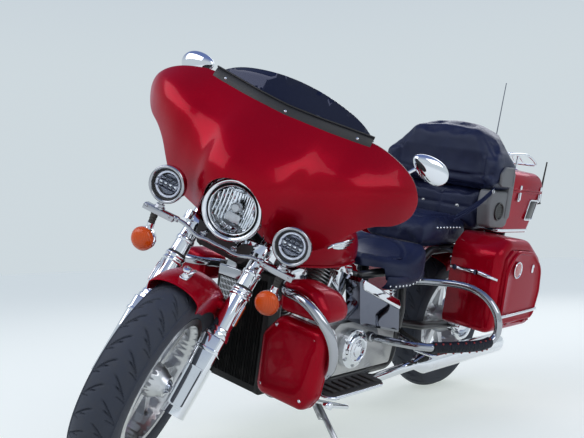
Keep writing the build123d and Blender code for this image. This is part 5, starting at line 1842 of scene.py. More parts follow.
def make_fork():
    """Bright fork legs with collars, reflectors and long square covers ending in raised pads."""
    tube = spun(
        "fork_tube",
        [
            (0, 0.0), (0.0275, 0.0), (0.028, 0.004), (0.028, 0.404), (0.0272, 0.408), (0.023, 0.41),
            (0.022, 0.413), (0.022, 0.419), (0.02, 0.422), (0, 0.422),
        ],
        steps=64,
    )
    up_the_fork(tube, leg_half, leg_forward, 0.715)
    collar = spun(
        "fork_collar",
        [
            (0.0281, 0.0), (0.033, 0.0), (0.0345, 0.002), (0.0345, 0.008), (0.0325, 0.011), (0.0325, 0.016),
            (0.0345, 0.019), (0.0345, 0.025), (0.033, 0.027), (0.0281, 0.027),
        ],
        steps=64,
    )
    up_the_fork(collar, leg_half, leg_forward, 0.69)
    sleeve = spun(
        "fork_sleeve",
        [(0.0, 0.0), (0.0305, 0.0), (0.031, 0.003), (0.031, 0.388), (0.03, 0.392), (0, 0.392)], steps=64,
    )
    up_the_fork(sleeve, leg_half, leg_forward, 0.322)
    ring = spun(
        "fork_ring",
        [(0.0281, 0.0), (0.03, 0.0), (0.0312, 0.002), (0.0312, 0.012), (0.03, 0.014), (0.0281, 0.014)],
        steps=64,
    )
    up_the_fork(ring, leg_half, leg_forward, 0.764)
    legs = mirrored(joined([tube, collar, sleeve, ring], "fork_tubes"))
    done(legs, "chrome", "steering", replaces=("fork_legs",), smooth=45.0)
    seal = spun(
        "fork_seals",
        [(0.0, 0.0), (0.0296, 0.0), (0.03, 0.0015), (0.03, 0.006), (0.0284, 0.008), (0, 0.008)], steps=48,
    )
    up_the_fork(seal, leg_half, leg_forward, 0.7165)
    done(mirrored(seal), "inner_black", "steering")

    # The shell is drawn across (x) and forward (y) in the fork's frame, then carried up it
    shell = slab(
        "fork_shell",
        corner_ring(
            (
                (-0.036, -0.028, 0.01), (-0.0365, 0.034, 0.011), (-0.026, 0.0455, 0.01),
                (0.026, 0.0455, 0.01), (0.0365, 0.034, 0.011), (0.036, -0.028, 0.01),
            ),
            4,
        ),
        0.298, 0.548, "z",
    )
    pick(shell, lambda c, n: n.z > 0.9)
    bpy.ops.mesh.inset(thickness=0.004, depth=0.003)
    bpy.ops.object.mode_set(mode="OBJECT")
    for point in shell.data.vertices:
        share = (point.co.z - 0.298) / 0.25
        point.co.x *= 0.93 + 0.07 * min(1.0, share * 1.6)
        if point.co.y > 0.02:
            point.co.y -= 0.012 * max(0.0, 0.24 - share) / 0.24
    finish_edges(shell, 0.0018, 2, 50.0)
    pad = slab(
        "fork_pad",
        corner_ring(
            (
                (-0.0235, 0.322, 0.012), (-0.0245, 0.448, 0.006), (0.0245, 0.448, 0.006),
                (0.0235, 0.322, 0.012),
            ),
            5,
        ),
        0.0, 0.0045, "y", 0.0016, 3,
    )
    pick(pad, lambda c, n: n.y > 0.9)
    bpy.ops.mesh.inset(thickness=0.0045, depth=-0.0016)
    bpy.ops.object.mode_set(mode="OBJECT")
    for point in pad.data.vertices:
        point.co = (
            point.co.x, point.co.y + 0.0452 - 0.012 * max(0.0, 0.06 - (point.co.z - 0.298)) / 0.06,
            point.co.z,
        )
    band = slab(
        "fork_band",
        corner_ring(
            (
                (-0.0385, -0.024, 0.012), (-0.0385, 0.036, 0.012), (-0.027, 0.0475, 0.01),
                (0.027, 0.0475, 0.01), (0.0385, 0.036, 0.012), (0.0385, -0.024, 0.012),
            ),
            4,
        ),
        0.5, 0.512, "z", 0.0016, 2,
    )
    cuff = spun(
        "fork_cuff",
        [
            (0.0311, 0.546), (0.0375, 0.546), (0.0385, 0.549), (0.0385, 0.561), (0.037, 0.565),
            (0.0345, 0.566), (0.0345, 0.578), (0.0325, 0.581), (0.0311, 0.581),
        ],
        steps=64,
    )
    turn = Matrix((Vector((1, 0, 0)), head_forward, head_up)).transposed().to_4x4()
    turn.translation = fork_point(leg_half, leg_forward, 0.0)
    up_the_fork(cuff, leg_half, leg_forward, 0.0)
    for part in (shell, pad, band):
        part.data.transform(turn)
    cover = joined([shell, pad, band], "fork_shell")
    pick(cover, lambda c, n: True)
    bpy.ops.mesh.normals_make_consistent(inside=False)
    clear()
    cover = mirrored(joined([cover, cuff], "fork_shells"))
    done(cover, "chrome", "steering", replaces=("fork_covers",), smooth=40.0)

    for side, finish, name in ((1, "amber_lens", "left"), (-1, "red_lens", "right")):
        lens = slab(
            "fork_reflector_" + name, rounded(-0.0085, 0.0085, -0.034, 0.034, 0.006, 4), 0.0, 0.004, "x",
            0.0012, 2,
        )
        frame_rim = slab(
            "fork_reflector_rim", rounded(-0.0105, 0.0105, -0.037, 0.037, 0.008, 4), -0.002, 0.002, "x",
            0.0008, 2,
        )
        turn = Matrix((Vector((side, 0, 0)), head_forward * side, head_up)).transposed().to_4x4()
        turn.translation = fork_point(side * (leg_half + 0.0306), leg_forward + 0.004, 0.64)
        for part in (lens, frame_rim):
            part.data.transform(turn)
        done(lens, finish, "steering")
        done(frame_rim, "chrome", "steering")


fender_radius = 0.341
fender_half = 0.079


def fender_section(radius, half, rise, drop):
    """Half outline of a mudguard's crown and side, as (radius, across) from the middle outwards."""
    line = []
    crown_angle, count = 72.0, 12
    for k in range(count + 1):
        a = math.radians(crown_angle * k / count)
        wide = half * math.sin(a) / math.sin(math.radians(crown_angle))
        line.append((radius - rise * (1 - math.cos(a)), wide))
    end = line[-1]
    line += [
        (end[0] - drop * share, half * (1.0 + 0.015 * math.sin(math.pi * share)))
        for share in (0.25, 0.5, 0.75, 1.0)
    ]
    return line


def mudguard(name, centre, radius, half, rise, drop, start, sweep, thick):
    """A mudguard turned about the axle, its sides shorter towards both ends and its rim rounded."""
    side = fender_section(radius, half, rise, drop)
    section = [(r, -x) for r, x in reversed(side[1:])] + side
    piece = spun(name, section, steps=56, angle=math.radians(sweep))
    first = math.radians(start)
    for point in piece.data.vertices:
        reach, a = math.hypot(point.co.x, point.co.y), abs(math.atan2(-point.co.y, -point.co.x))
        share = a / math.radians(sweep)
        low = max(0.0, radius - rise * 0.7 - reach)
        if low > 0.0:
            near_front, near_rear = max(0.0, 1.0 - share / 0.16), max(0.0, (share - 0.84) / 0.16)
            reach += 0.55 * low * near_front + 0.35 * low * near_rear
        turn = first + a
        point.co = (point.co.z, centre.y + reach * math.sin(turn), centre.z + reach * math.cos(turn))
    pick(piece, lambda c, n: True)
    bpy.ops.mesh.normals_make_consistent(inside=False)
    bpy.ops.object.mode_set(mode="OBJECT")
    test = max(piece.data.polygons, key=lambda p: p.center.z)
    if test.normal.z < 0:
        pick(piece, lambda c, n: True)
        bpy.ops.mesh.flip_normals()
        bpy.ops.object.mode_set(mode="OBJECT")
    apply(piece, "SOLIDIFY", thickness=thick, offset=-1.0)
    apply(piece, "BEVEL", width=thick * 0.4, segments=2, limit_method="ANGLE", angle_limit=math.radians(50))
    return piece


def make_front_fender():
    """The valanced front fender with its fork bosses, and the finial on its crown."""
    guard = mudguard(
        "front_fender_skin", front_axle, fender_radius, fender_half, 0.046, 0.06, -13.0, 88.0, 0.0032,
    )
    boss = bar(
        "fender_boss",
        [
            fork_point(fender_half - 0.002, leg_forward, 0.644), fork_point(0.088, leg_forward, 0.644),
            fork_point(0.0905, leg_forward, 0.644),
        ],
        0.013,
    )
    guard = joined([guard, mirrored(boss)], "front_fender_skin")
    done(guard, "red_paint", "steering", replaces=("front_fender",), smooth=55.0)
    # A plain polished finial: a waisted drop with two swept leaves
    a = math.radians(-3.0)
    crown = fender_radius + 0.001
    top = front_axle + Vector((0, math.sin(a) * crown, math.cos(a) * crown))
    foot = slab(
        "finial_foot",
        corner_ring(
            ((-0.014, -0.026, 0.01), (-0.01, 0.034, 0.009), (0.01, 0.034, 0.009), (0.014, -0.026, 0.01)), 5,
        ),
        -0.002, 0.004, "z", 0.0014, 2,
    )
    drop = spun(
        "finial_drop",
        [
            (0, -0.004), (0.01, -0.002), (0.0115, 0.003), (0.008, 0.009), (0.0065, 0.013), (0.0105, 0.019),
            (0.0118, 0.024), (0.009, 0.029), (0, 0.031),
        ],
        (0, -0.25, 1), (0, -0.008, 0.003), 32,
    )
    leaves = []
    for side in (-1, 1):
        leaf = bar(
            "finial_leaf",
            [
                (side * 0.003, -0.01, 0.01), (side * 0.012, -0.002, 0.017), (side * 0.015, 0.014, 0.02),
                (side * 0.009, 0.032, 0.014), (side * 0.004, 0.044, 0.007),
            ],
            0.0042, radii=(0.7, 1.0, 1.1, 0.8, 0.2),
        )
        leaves.append(leaf)
    piece = joined([foot, drop] + leaves, "fender_finial")
    piece.data.transform(Matrix.Translation(top) @ Matrix.Rotation(math.radians(3.0), 4, "X"))
    done(piece, "chrome", "steering", replaces=("fender_ornament",), smooth=45.0)


mirror_place = Vector((0.457, -0.204, 1.147))
# The handlebar's clamp, and the bend and end of its left half
bar_clamp = fork_point(0, -0.014, 1.165)
bar_bend = bar_clamp + Vector((0.305, 0.15, 0.012))
bar_end = bar_clamp + Vector((0.4, 0.33, -0.062))


def make_mirrors():
    """Teardrop mirrors: a bright shell with a rolled rim, the glass facing back, a stem and a clamp."""
    for side, name in both_sides:
        shell = begin("uv_sphere", "mirror_shell", segments=56, ring_count=28, radius=1.0)
        for point in shell.data.vertices:
            x, y, z = point.co
            taper = 1.0 - 0.34 * (1 - x) * 0.5
            point.co = (x * 0.07, (y * 0.026 if y < 0 else y * 0.007), z * 0.05 * taper)
        pick(shell, lambda c, n: c.y > 0.0052)
        bpy.ops.mesh.inset(thickness=0.004, depth=-0.0025)
        bpy.ops.object.mode_set(mode="OBJECT")
        turn = Matrix.Rotation(math.radians(12), 4, "Z") @ Matrix.Rotation(math.radians(16), 4, "Y")
        shell.data.transform(Matrix.Translation(mirror_place) @ turn)
        foot = bar_bend * 0.84 + bar_end * 0.16
        stem = bar(
            "mirror_stem",
            [
                foot, foot + Vector((0.01, -0.01, 0.03)), foot + Vector((0.022, -0.024, 0.068)),
                foot + Vector((0.05, -0.034, 0.09)), mirror_place + Vector((-0.04, 0.0, -0.012)),
            ],
            0.0058,
        )
        clamp = spun(
            "mirror_clamp",
            [
                (0.0115, -0.013), (0.0175, -0.013), (0.019, -0.011), (0.019, 0.011), (0.0175, 0.013),
                (0.0115, 0.013),
            ],
            bar_end - bar_bend, foot, 36,
        )
        piece = joined([shell, stem, clamp], "mirror_shell_" + name)
        if side < 0:
            flipped(piece)
        done(piece, "chrome", "steering", replaces=("mirrors",), smooth=50.0)


# x, ring radius, face radius, then the (y, z) and the direction that all dials share
dials = ((-0.062, 0.046, 0.04), (0.062, 0.046, 0.04), (-0.17, 0.026, 0.0225), (0.17, 0.026, 0.0225))
dial_place = (-0.404, 1.08)
dial_facing = (0, 0.94, 0.34)


def make_grips():
    """Ribbed grips, levers with ball ends, switch boxes and the dials behind the screen."""
    end = bar_end
    run = (bar_end - bar_bend).normalized()
    profile = [(0.0, -0.124), (0.0165, -0.124), (0.0185, -0.121), (0.0185, -0.117)]
    for k in range(12):
        low = -0.114 + 0.0092 * k
        profile += [(0.0166, low), (0.018, low + 0.0018), (0.018, low + 0.0062), (0.0166, low + 0.008)]
    profile += [(0.0185, -0.002), (0.0185, 0.004), (0.015, 0.008), (0.0, 0.009)]
    grip = spun("grip", profile, run, end, 36)
    done(mirrored(joined([grip], "grips")), "footboard_rubber", "steering", smooth=30.0)
    lever = bar(
        "lever",
        [
            end - run * 0.14 + Vector((0.004, -0.026, 0.004)),
            end - run * 0.105 + Vector((0.012, -0.048, 0.004)),
            end - run * 0.05 + Vector((0.016, -0.052, 0.0)), end + Vector((0.018, -0.05, -0.004)),
            end + run * 0.012 + Vector((0.02, -0.044, -0.006)),
        ],
        0.0058, radii=(1.3, 1.1, 0.9, 0.9, 1.5),
    )
    box = slab(
        "switch_box", rounded(-0.022, 0.022, -0.02, 0.022, (0.008, 0.01), 4), -0.019, 0.019, "z", 0.004, 3,
    )
    box.data.transform(aim(run, end - run * 0.148))
    pot = spun(
        "lever_pot",
        [
            (0, -0.012), (0.02, -0.012), (0.0225, -0.01), (0.0225, 0.01), (0.02, 0.013), (0.006, 0.014),
            (0, 0.014),
        ],
        (0, 0, 1), end - run * 0.15 + Vector((0.0, -0.03, 0.016)), 36,
    )
    done(mirrored(joined([lever, box, pot], "levers")), "chrome", "steering", smooth=45.0)
    housings, faces, marks = [], [], []
    for x, ring, radius in dials:
        at = (x, *dial_place)
        housings.append(
            spun(
                "dial_ring",
                [
                    (ring * 0.86, 0.004), (ring * 0.9, 0.009), (ring * 0.97, 0.009), (ring, 0.005),
                    (ring, -0.034), (ring * 0.86, -0.034),
                ],
                dial_facing, at, 48,
            )
        )
        faced = aim(dial_facing, at)
        faces.append(
            spun(
                "dial_face", [(0, 0.0012), (radius, 0.0012), (radius, -0.001), (0, -0.001)], dial_facing,
                at, 48,
            )
        )
        for k in range(19):
            tick = slab(
                "tick",
                [
                    (-0.0005, radius * 0.78), (0.0005, radius * 0.78), (0.0005, radius * 0.93),
                    (-0.0005, radius * 0.93),
                ],
                0.0012, 0.0017, "z",
            )
            tick.data.transform(faced @ Matrix.Rotation(math.radians(-135 + 15 * k), 4, "Z"))
            marks.append(tick)
        hand = slab(
            "dial_hand",
            [
                (-0.0012, -radius * 0.15), (0.0012, -radius * 0.15), (0.0006, radius * 0.72),
                (-0.0006, radius * 0.72),
            ],
            0.0018, 0.0026, "z",
        )
        hand.data.transform(faced @ Matrix.Rotation(math.radians(118), 4, "Z"))
        marks.append(hand)
    done(joined(housings, "dial_rings"), "chrome", "steering")
    done(joined(marks, "dial_marks"), "halo", "steering", slot="chrome", smooth=30.0)
    done(joined(faces, "dial_faces"), "inner_black", "steering", smooth=30.0)


class CRUISER_OT_front(bpy.types.Operator):
    """Makes the fork, the front fender with its finial, the mirrors and what is on the bars"""

    bl_idname = "cruiser.front"
    bl_label = "Front end"

    def execute(self, context):
        make_fork()
        make_front_fender()
        make_mirrors()
        make_grips()
        return {"FINISHED"}


# Plated, cast and painted parts that keep the frame's own form


def skin(node_name, smooth=35.0, finish=None, keep=True):
    """A part's own form with its doubles merged and its faces shaded smooth, in the part's place if kept."""
    node = frame["nodes"][node_name]
    clear()
    piece = bpy.data.objects.new(node_name + "_skin", node.data.copy())
    bpy.context.scene.collection.objects.link(piece)
    pick(piece, lambda c, n: True)
    bpy.ops.mesh.remove_doubles(threshold=2e-5)
    clear()
    used = finish or node_slots[node_name]
    return done(
        piece, used, node["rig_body"], slot=node_slots[node_name], replaces=(node_name,) if keep else (),
        smooth=smooth, place=Matrix.Identity(4),
    )


node_slots = {part["node"]: part["material_slot"] for part in frame["record"]["subparts"]}
# Parts dressed in their own form: name, angle under which faces are shaded smooth
own_forms = (
    ("frame", 40.0), ("swingarm", 40.0), ("final_drive", 35.0), ("rear_shocks", 40.0),
    ("crankcase", 30.0), ("rocker_covers", 35.0), ("engine_covers", 30.0), ("air_cleaner", 30.0),
    ("exhaust", 40.0), ("tank_console", 35.0), ("bag_rails", 50.0), ("floorboards", 35.0),
    ("foot_controls", 40.0), ("side_stand", 40.0), ("rear_wheel", 30.0), ("front_wheel", 30.0),
    ("triple_clamps", 35.0), ("fairing_bracket", 35.0), ("front_caliper", 30.0), ("handlebar", 50.0),
    ("windshield", 40.0), ("plate_bracket", 35.0), ("saddlebags", 40.0), ("trunk_base", 40.0),
)


class CRUISER_OT_own_forms(bpy.types.Operator):
    """Dresses the tubes, castings and shells that keep the frame's form"""

    bl_idname = "cruiser.own_forms"
    bl_label = "Tubes and castings"

    def execute(self, context):
        for name, smooth in own_forms:
            skin(name, smooth)
        skin("side_covers", 30.0, finish="chrome_dark")
        inner = skin("fairing_inner", 40.0)
        inner.data.transform(Matrix.Translation(steered.to_3x3() @ Vector((0, 0.013, 0))))
        return {"FINISHED"}


# Trunk and rack


def lofted(name, rings, cap_low=False, cap_high=False):
    """An outward-facing skin through closed rings, capped at its ends as wanted."""
    piece = drawn_through(name, rings)
    count = len(rings[0])
    for wanted, rank in ((cap_low, 0), (cap_high, len(rings) - 1)):
        if wanted:
            hold(piece)
            bpy.ops.object.mode_set(mode="EDIT")
            bpy.ops.mesh.select_mode(type="VERT")
            bpy.ops.mesh.select_all(action="DESELECT")
            bpy.ops.object.mode_set(mode="OBJECT")
            for k in range(count):
                piece.data.vertices[rank * count + k].select = True
            bpy.ops.object.mode_set(mode="EDIT")
            bpy.ops.mesh.edge_face_add()
            bpy.ops.object.mode_set(mode="OBJECT")
    pick(piece, lambda c, n: True)
    bpy.ops.mesh.normals_make_consistent(inside=False)
    clear()
    return piece


def level_ring(half, front, rear, radius, z):
    """A level rectangle with rounded corners about the middle line."""
    return [(x, y, z) for x, y in rounded(-half, half, front, rear, radius, 6)]


def make_trunk():
    """Lid with a rolled crown and a rim band, latches, side lamps and foot trim."""
    lid_rings = []
    for z, grow in (
        (0.9673, 0.0), (0.9675, 0.003), (0.969, 0.004), (0.9725, 0.004), (0.974, 0.0028), (0.975, 0.0),
        (0.988, 0.0),
    ):
        lid_rings.append(level_ring(0.2465 + grow, 0.8525 - grow, 1.2265 + grow, 0.044, z))
    for share in (k / 9 for k in range(1, 10)):
        a = share * math.pi / 2
        inset, rise = 0.046 * (1 - math.cos(a)), 0.988 + 0.062 * math.sin(a)
        lid_rings.append(level_ring(0.2465 - inset, 0.8525 + inset * 1.25, 1.2265 - inset, 0.044, rise))
    for share in (0.25, 0.6, 0.85):
        half, front, rear = 0.2005 * (1 - share), 0.91 + 0.13 * share, 1.1805 - 0.13 * share
        rise = 1.05 + 0.013 * math.sin(share * math.pi / 2)
        lid_rings.append(level_ring(half, front, rear, 0.044 * (1 - share), rise))
    lid = lofted("trunk_lid_skin", lid_rings, cap_high=True)
    apply(lid, "SOLIDIFY", thickness=0.0045, offset=-1.0)
    hinges = skin("trunk_lid", keep=False)
    pick(hinges, lambda c, n: (stance.inverted() @ c).x > -0.2478)
    bpy.ops.mesh.delete(type="FACE")
    clear()
    done(lid, "red_paint", "trunk_lid", replaces=("trunk_lid",), smooth=40.0)
    hinges.name = "trunk_lid_knuckles"
    band_rings = []
    for z, grow in (
        (0.9662, 0.0005), (0.9655, 0.003), (0.964, 0.0036), (0.9585, 0.0036), (0.957, 0.0028),
        (0.9562, 0.0002),
    ):
        band_rings.append(level_ring(0.2445 + grow, 0.8455 - grow, 1.2245 + grow, 0.036, z))
    done(lofted("trunk_rim_band", band_rings), "red_paint", "chassis", smooth=40.0)

    latches = []
    for y in (0.96, 1.18):
        plate = slab(
            "latch", rounded(-0.01, 0.01, -0.028, 0.024, (0.005, 0.007), 4), 0.0, 0.004, "x", 0.0012, 2,
        )
        tongue = slab(
            "latch_tongue", rounded(-0.0065, 0.0065, -0.022, 0.014, (0.004, 0.005), 4), 0.004, 0.0095, "x",
            0.002, 2,
        )
        pin = bar(
            "latch_pin", [(0.006, -0.0095, 0.012), (0.0072, 0.0, 0.012), (0.006, 0.0095, 0.012)], 0.0024,
        )
        piece = joined([plate, tongue, pin], "latch")
        piece.data.transform(Matrix.Translation((0.2435, y, 0.944)))
        latches.append(piece)
    keeps = slab(
        "latch_keep", rounded(-0.009, 0.009, -0.006, 0.014, (0.004, 0.005), 4), 0.0, 0.005, "x", 0.0015, 2,
    )
    done(joined(latches, "trunk_latches"), "chrome", "chassis", smooth=40.0)
    done(
        copies(keeps, [Matrix.Translation((0.2468, y, 0.976)) for y in (0.96, 1.18)], "trunk_keeps"),
        "chrome", "trunk_lid", smooth=40.0,
    )

    for side, name in both_sides:
        tilt = Matrix.Rotation(side * math.radians(8.9), 4, "Y")
        lean = Matrix.Translation((side * 0.2322, 0.026, 0)) @ tilt
        rim_out = rounded(1.062, 1.15, -0.052, 0.05, 0.012, 5)
        rim = slab("trunk_lamp_rim", rim_out, -0.003, 0.0075, "x")
        pick(rim, lambda c, n: n.x > 0.9)
        bpy.ops.mesh.inset(thickness=0.0065, depth=0.0)
        bpy.ops.mesh.extrude_region_move(TRANSFORM_OT_translate={"value": (-0.005, 0, 0)})
        clear()
        finish_edges(rim, 0.0012, 2, 50.0)
        glass = slab(
            "trunk_lamp_glass", rounded(1.071, 1.141, -0.043, 0.041, 0.008, 5), 0.001, 0.0062, "x", 0.0018,
            2,
        )
        for part in (rim, glass):
            if side < 0:
                flipped(part)
            part.data.transform(Matrix.Translation((0, 0, 0.88)) @ lean)
        rim.name, glass.name = "trunk_lamp_rim_" + name, "trunk_lamp_" + name
        done(rim, "chrome", "chassis", smooth=40.0)
        done(glass, "smoked_lens", "chassis", slot="red_lens", smooth=40.0)

    rings = []
    for z, grow in (
        (0.772, 0.0), (0.7728, 0.0032), (0.775, 0.0046), (0.783, 0.0046), (0.785, 0.0034), (0.7856, 0.0005),
    ):
        rings.append(level_ring(0.2155 + grow, 0.8765 - grow, 1.1905 + grow, 0.036, z))
    done(lofted("trunk_foot_trim", rings), "chrome", "chassis", smooth=40.0)


def make_rack():
    """Bent rack bars on four feet above the trunk's lid."""
    side = [
        (0.158, 0.948, 1.112), (0.163, 1.0, 1.124), (0.168, 1.09, 1.131), (0.176, 1.135, 1.131),
        (0.188, 1.18, 1.112), (0.192, 1.208, 1.092), (0.18, 1.216, 1.086),
    ]
    loop = side + [(0.0, 1.218, 1.086)] + [(-x, y, z) for x, y, z in reversed(side)] + [(0.0, 0.942, 1.11)]
    parts = [bar("rack_loop", loop, 0.0062, closed=True)]
    for x in (-0.084, 0.0, 0.084):
        parts.append(
            bar(
                "rack_bar",
                [
                    (x, 0.944, 1.11), (x, 0.985, 1.121), (x, 1.09, 1.13), (x, 1.14, 1.129),
                    (x, 1.185, 1.108), (x, 1.217, 1.087),
                ],
                0.0046,
            )
        )
    parts.append(
        bar("rack_cross", [(-0.167, 1.06, 1.1285), (0.0, 1.06, 1.1285), (0.167, 1.06, 1.1285)], 0.005)
    )
    for x in (-0.12, 0.12):
        for y, high in ((0.985, 1.121), (1.15, 1.123)):
            parts.append(bar("rack_foot", [(x, y, 1.056), (x, y, 1.08), (x * 1.02, y, high)], 0.0055))
            parts.append(
                spun(
                    "rack_pad",
                    [
                        (0, 0.0), (0.013, 0.0), (0.0135, 0.0015), (0.011, 0.0045), (0.0065, 0.0065),
                        (0, 0.0065),
                    ],
                    (0, 0, 1), (x, y, 1.0555), 24,
                )
            )
        parts.append(
            bar(
                "rack_side",
                [
                    (x * 1.02, 0.946, 1.11), (x * 1.02, 0.985, 1.121), (x * 1.02, 1.09, 1.13),
                    (x * 1.02, 1.15, 1.124), (x * 1.05, 1.185, 1.107), (x * 1.07, 1.216, 1.087),
                ],
                0.0046,
            )
        )
    done(joined(parts, "rack_bars"), "chrome", "trunk_lid", replaces=("luggage_rack",), smooth=50.0)


def make_antennas():
    """A tall whip behind the trunk, a short stub to its left and a lower whip to its right."""
    blacks, steels = [], []
    for x, y, top, lean in (
        (-0.054, 1.236, 1.47, 0.008), (0.226, 1.236, 1.112, 0.004), (-0.244, 1.236, 1.262, -0.002),
    ):
        thin = top > 1.2
        bracket = slab(
            "aerial_bracket", rounded(-0.01, 0.01, -0.014, 0.012, 0.004, 3), 0.0, 0.006, "z", 0.001, 2,
        )
        bracket.data.transform(Matrix.Translation((x * 0.985, y, 0.908)))
        stay = bar(
            "aerial_stay", [(x * 0.97, 1.195, 0.906), (x * 0.98, 1.218, 0.908), (x * 0.985, y, 0.91)],
            0.0048,
        )
        base = spun(
            "aerial_base",
            [
                (0, 0.0), (0.0072, 0.0), (0.0076, 0.004), (0.0064, 0.008), (0.0064, 0.052), (0.0052, 0.06),
                (0.0044, 0.074), (0.0034, 0.084), (0, 0.084),
            ],
            (0, 0, 1), (x, y, 0.912), 24,
        )
        blacks += [bracket, stay, base]
        if thin:
            steels.append(
                bar(
                    "aerial_whip",
                    [
                        (x, y, 0.99), (x + lean * 0.3, y + 0.001, (top + 0.99) / 2),
                        (x + lean, y + 0.004, top),
                    ],
                    0.0027, radii=(1.25, 1.0, 0.8),
                )
            )
            steels.append(
                spun(
                    "aerial_tip",
                    [(0, -0.003), (0.0022, -0.002), (0.0026, 0.001), (0.0018, 0.004), (0, 0.0045)],
                    (0, 0, 1), (x + lean, y + 0.004, top), 16,
                )
            )
        else:
            blacks.append(
                bar(
                    "aerial_stub",
                    [(x, y, 0.99), (x + lean * 0.5, y + 0.001, 1.05), (x + lean, y + 0.002, top)], 0.0038,
                    radii=(1.2, 1.0, 0.9),
                )
            )
    done(joined(blacks, "aerial_bases"), "antenna_black", "chassis", replaces=("antennas",), smooth=45.0)
    done(joined(steels, "aerial_whips"), "chrome_dark", "chassis", slot="antenna_black", smooth=45.0)


# Saddlebags and guards


bag_mouth_corners = (
    (0.5225, 0.4475, 0.003), (0.5225, 0.71, 0.0215), (0.5685, 0.743, 0.0175), (0.736, 0.734, 0.0475),
    (0.8435, 0.673, 0.0275), (0.862, 0.56, 0.0275), (0.8455, 0.457, 0.0075), (0.829, 0.4475, 0.003),
)
bag_lid_corners = (
    (0.525, 0.447, 0.018), (0.52, 0.672, 0.1), (0.59, 0.744, 0.09), (0.74, 0.734, 0.1),
    (0.846, 0.668, 0.09), (0.863, 0.56, 0.08), (0.838, 0.462, 0.04), (0.815, 0.447, 0.018),
)


# From the lid's rim inwards: inset from the outline, distance from the bike's middle
bag_lid_sections = (
    (0.0, 0.4425), (0.001, 0.4475), (0.0025, 0.4505), (0.005, 0.452), (0.0095, 0.452),
    (0.0115, 0.4508), (0.013, 0.4482), (0.0165, 0.4466), (0.06, 0.4478), (0.1, 0.4482),
)
# The lid's flat face from the middle, and where the reflector and the key sit on it
bag_face = 0.4475
reflector_place = (0.612, 0.664)
key_place = (0.752, 0.672)


def make_bag_lids():
    """Arched lids with a raised rim, a reflector, a key latch and a foot trim, and the rails' clamps."""
    centre = Vector((0.682, 0.588))
    outer = corner_ring(bag_lid_corners, 8)
    mouth = corner_ring(bag_mouth_corners, 8)
    for side, name in both_sides:
        rings = [[(side * x, y, z) for y, z in mouth] for x in (0.41, 0.4385)]
        rings.append([(side * 0.4405, *(centre + (Vector(point) - centre) * 0.992)) for point in mouth])
        for inset, x in bag_lid_sections:
            ring = []
            for y, z in outer:
                away = Vector((y, z)) - centre
                ring.append((side * x, *(centre + away * (1 - inset / away.length * 1.15))))
            rings.append(ring)
        lid = lofted(name + "_bag_lid_skin", rings, cap_high=True)
        apply(lid, "SOLIDIFY", thickness=0.003, offset=-1.0)
        hinges = skin(name + "_bag_lid", keep=False)
        pick(hinges, lambda c, n: (stance.inverted() @ c).z > 0.4445)
        bpy.ops.mesh.delete(type="FACE")
        clear()
        hinges.name = name + "_bag_knuckles"
        done(lid, "red_paint", name + "_bag_lid", replaces=(name + "_bag_lid",), smooth=40.0)
        rim = spun(
            "reflector_rim",
            [
                (0.0, 0.0), (0.03, 0.0), (0.034, 0.0015), (0.0345, 0.004), (0.033, 0.0055), (0.0305, 0.005),
                (0.0295, 0.003), (0.0, 0.003),
            ],
            (side, 0, 0), (side * bag_face, *reflector_place), 48,
        )
        key = spun(
            "bag_key",
            [
                (0, 0.0), (0.0095, 0.0), (0.01, 0.0015), (0.0095, 0.0045), (0.007, 0.006), (0.004, 0.005),
                (0, 0.005),
            ],
            (side, 0, 0), (side * bag_face, *key_place), 28,
        )
        tab = slab(
            "bag_tab", rounded(-0.0075, 0.0075, -0.026, 0.01, (0.005, 0.006), 4), 0.0, 0.0045, "x", 0.0014,
            2,
        )
        tab_foot = side * bag_face - (0.0045 if side < 0 else 0)
        tab.data.transform(Matrix.Translation((tab_foot, *key_place)))
        trim = bar(
            "bag_trim",
            [
                (side * x, y, z)
                for x, y, z in (
                    (0.447, 0.52, 0.48), (0.453, 0.526, 0.48), (0.4545, 0.56, 0.481), (0.4545, 0.7, 0.483),
                    (0.4545, 0.81, 0.486), (0.453, 0.846, 0.487), (0.447, 0.852, 0.487),
                )
            ],
            0.0066,
        )
        done(joined([rim, key, tab, trim], name + "_bag_latch"), "chrome", name + "_bag_lid", smooth=40.0)
        disc = spun(
            name + "_bag_reflector",
            [(0, 0.0058), (0.012, 0.0054), (0.022, 0.0044), (0.029, 0.003), (0.0292, 0.0022), (0, 0.0022)],
            (side, 0, 0), (side * bag_face, *reflector_place), 40,
        )
        done(disc, "red_lens", name + "_bag_lid", smooth=40.0)
    clamps = [
        spun(
            "rail_clamp",
            [(0.0, 0.0), (0.0105, 0.0), (0.0115, 0.002), (0.0115, 0.01), (0.01, 0.012), (0.0, 0.012)],
            (0, 1, 0), (x, 0.4625, 0.64), 24,
        )
        for x in (0.25, 0.345)
    ]
    done(mirrored(joined(clamps, "rail_clamps")), "chrome", "chassis", smooth=45.0)


def round_path(path, share, angle, reach):
    """A place at a share of a path, turned about it and at a reach from it."""
    share = share * (len(path) - 1)
    low = min(int(share), len(path) - 2)
    at = path[low].lerp(path[low + 1], share - low)
    run = (path[low + 1] - path[low]).normalized()
    right = run.cross(Vector((0, 0, 1))).normalized()
    return at + (right * math.cos(angle) + Vector((0, 0, 1)) * math.sin(angle)) * reach


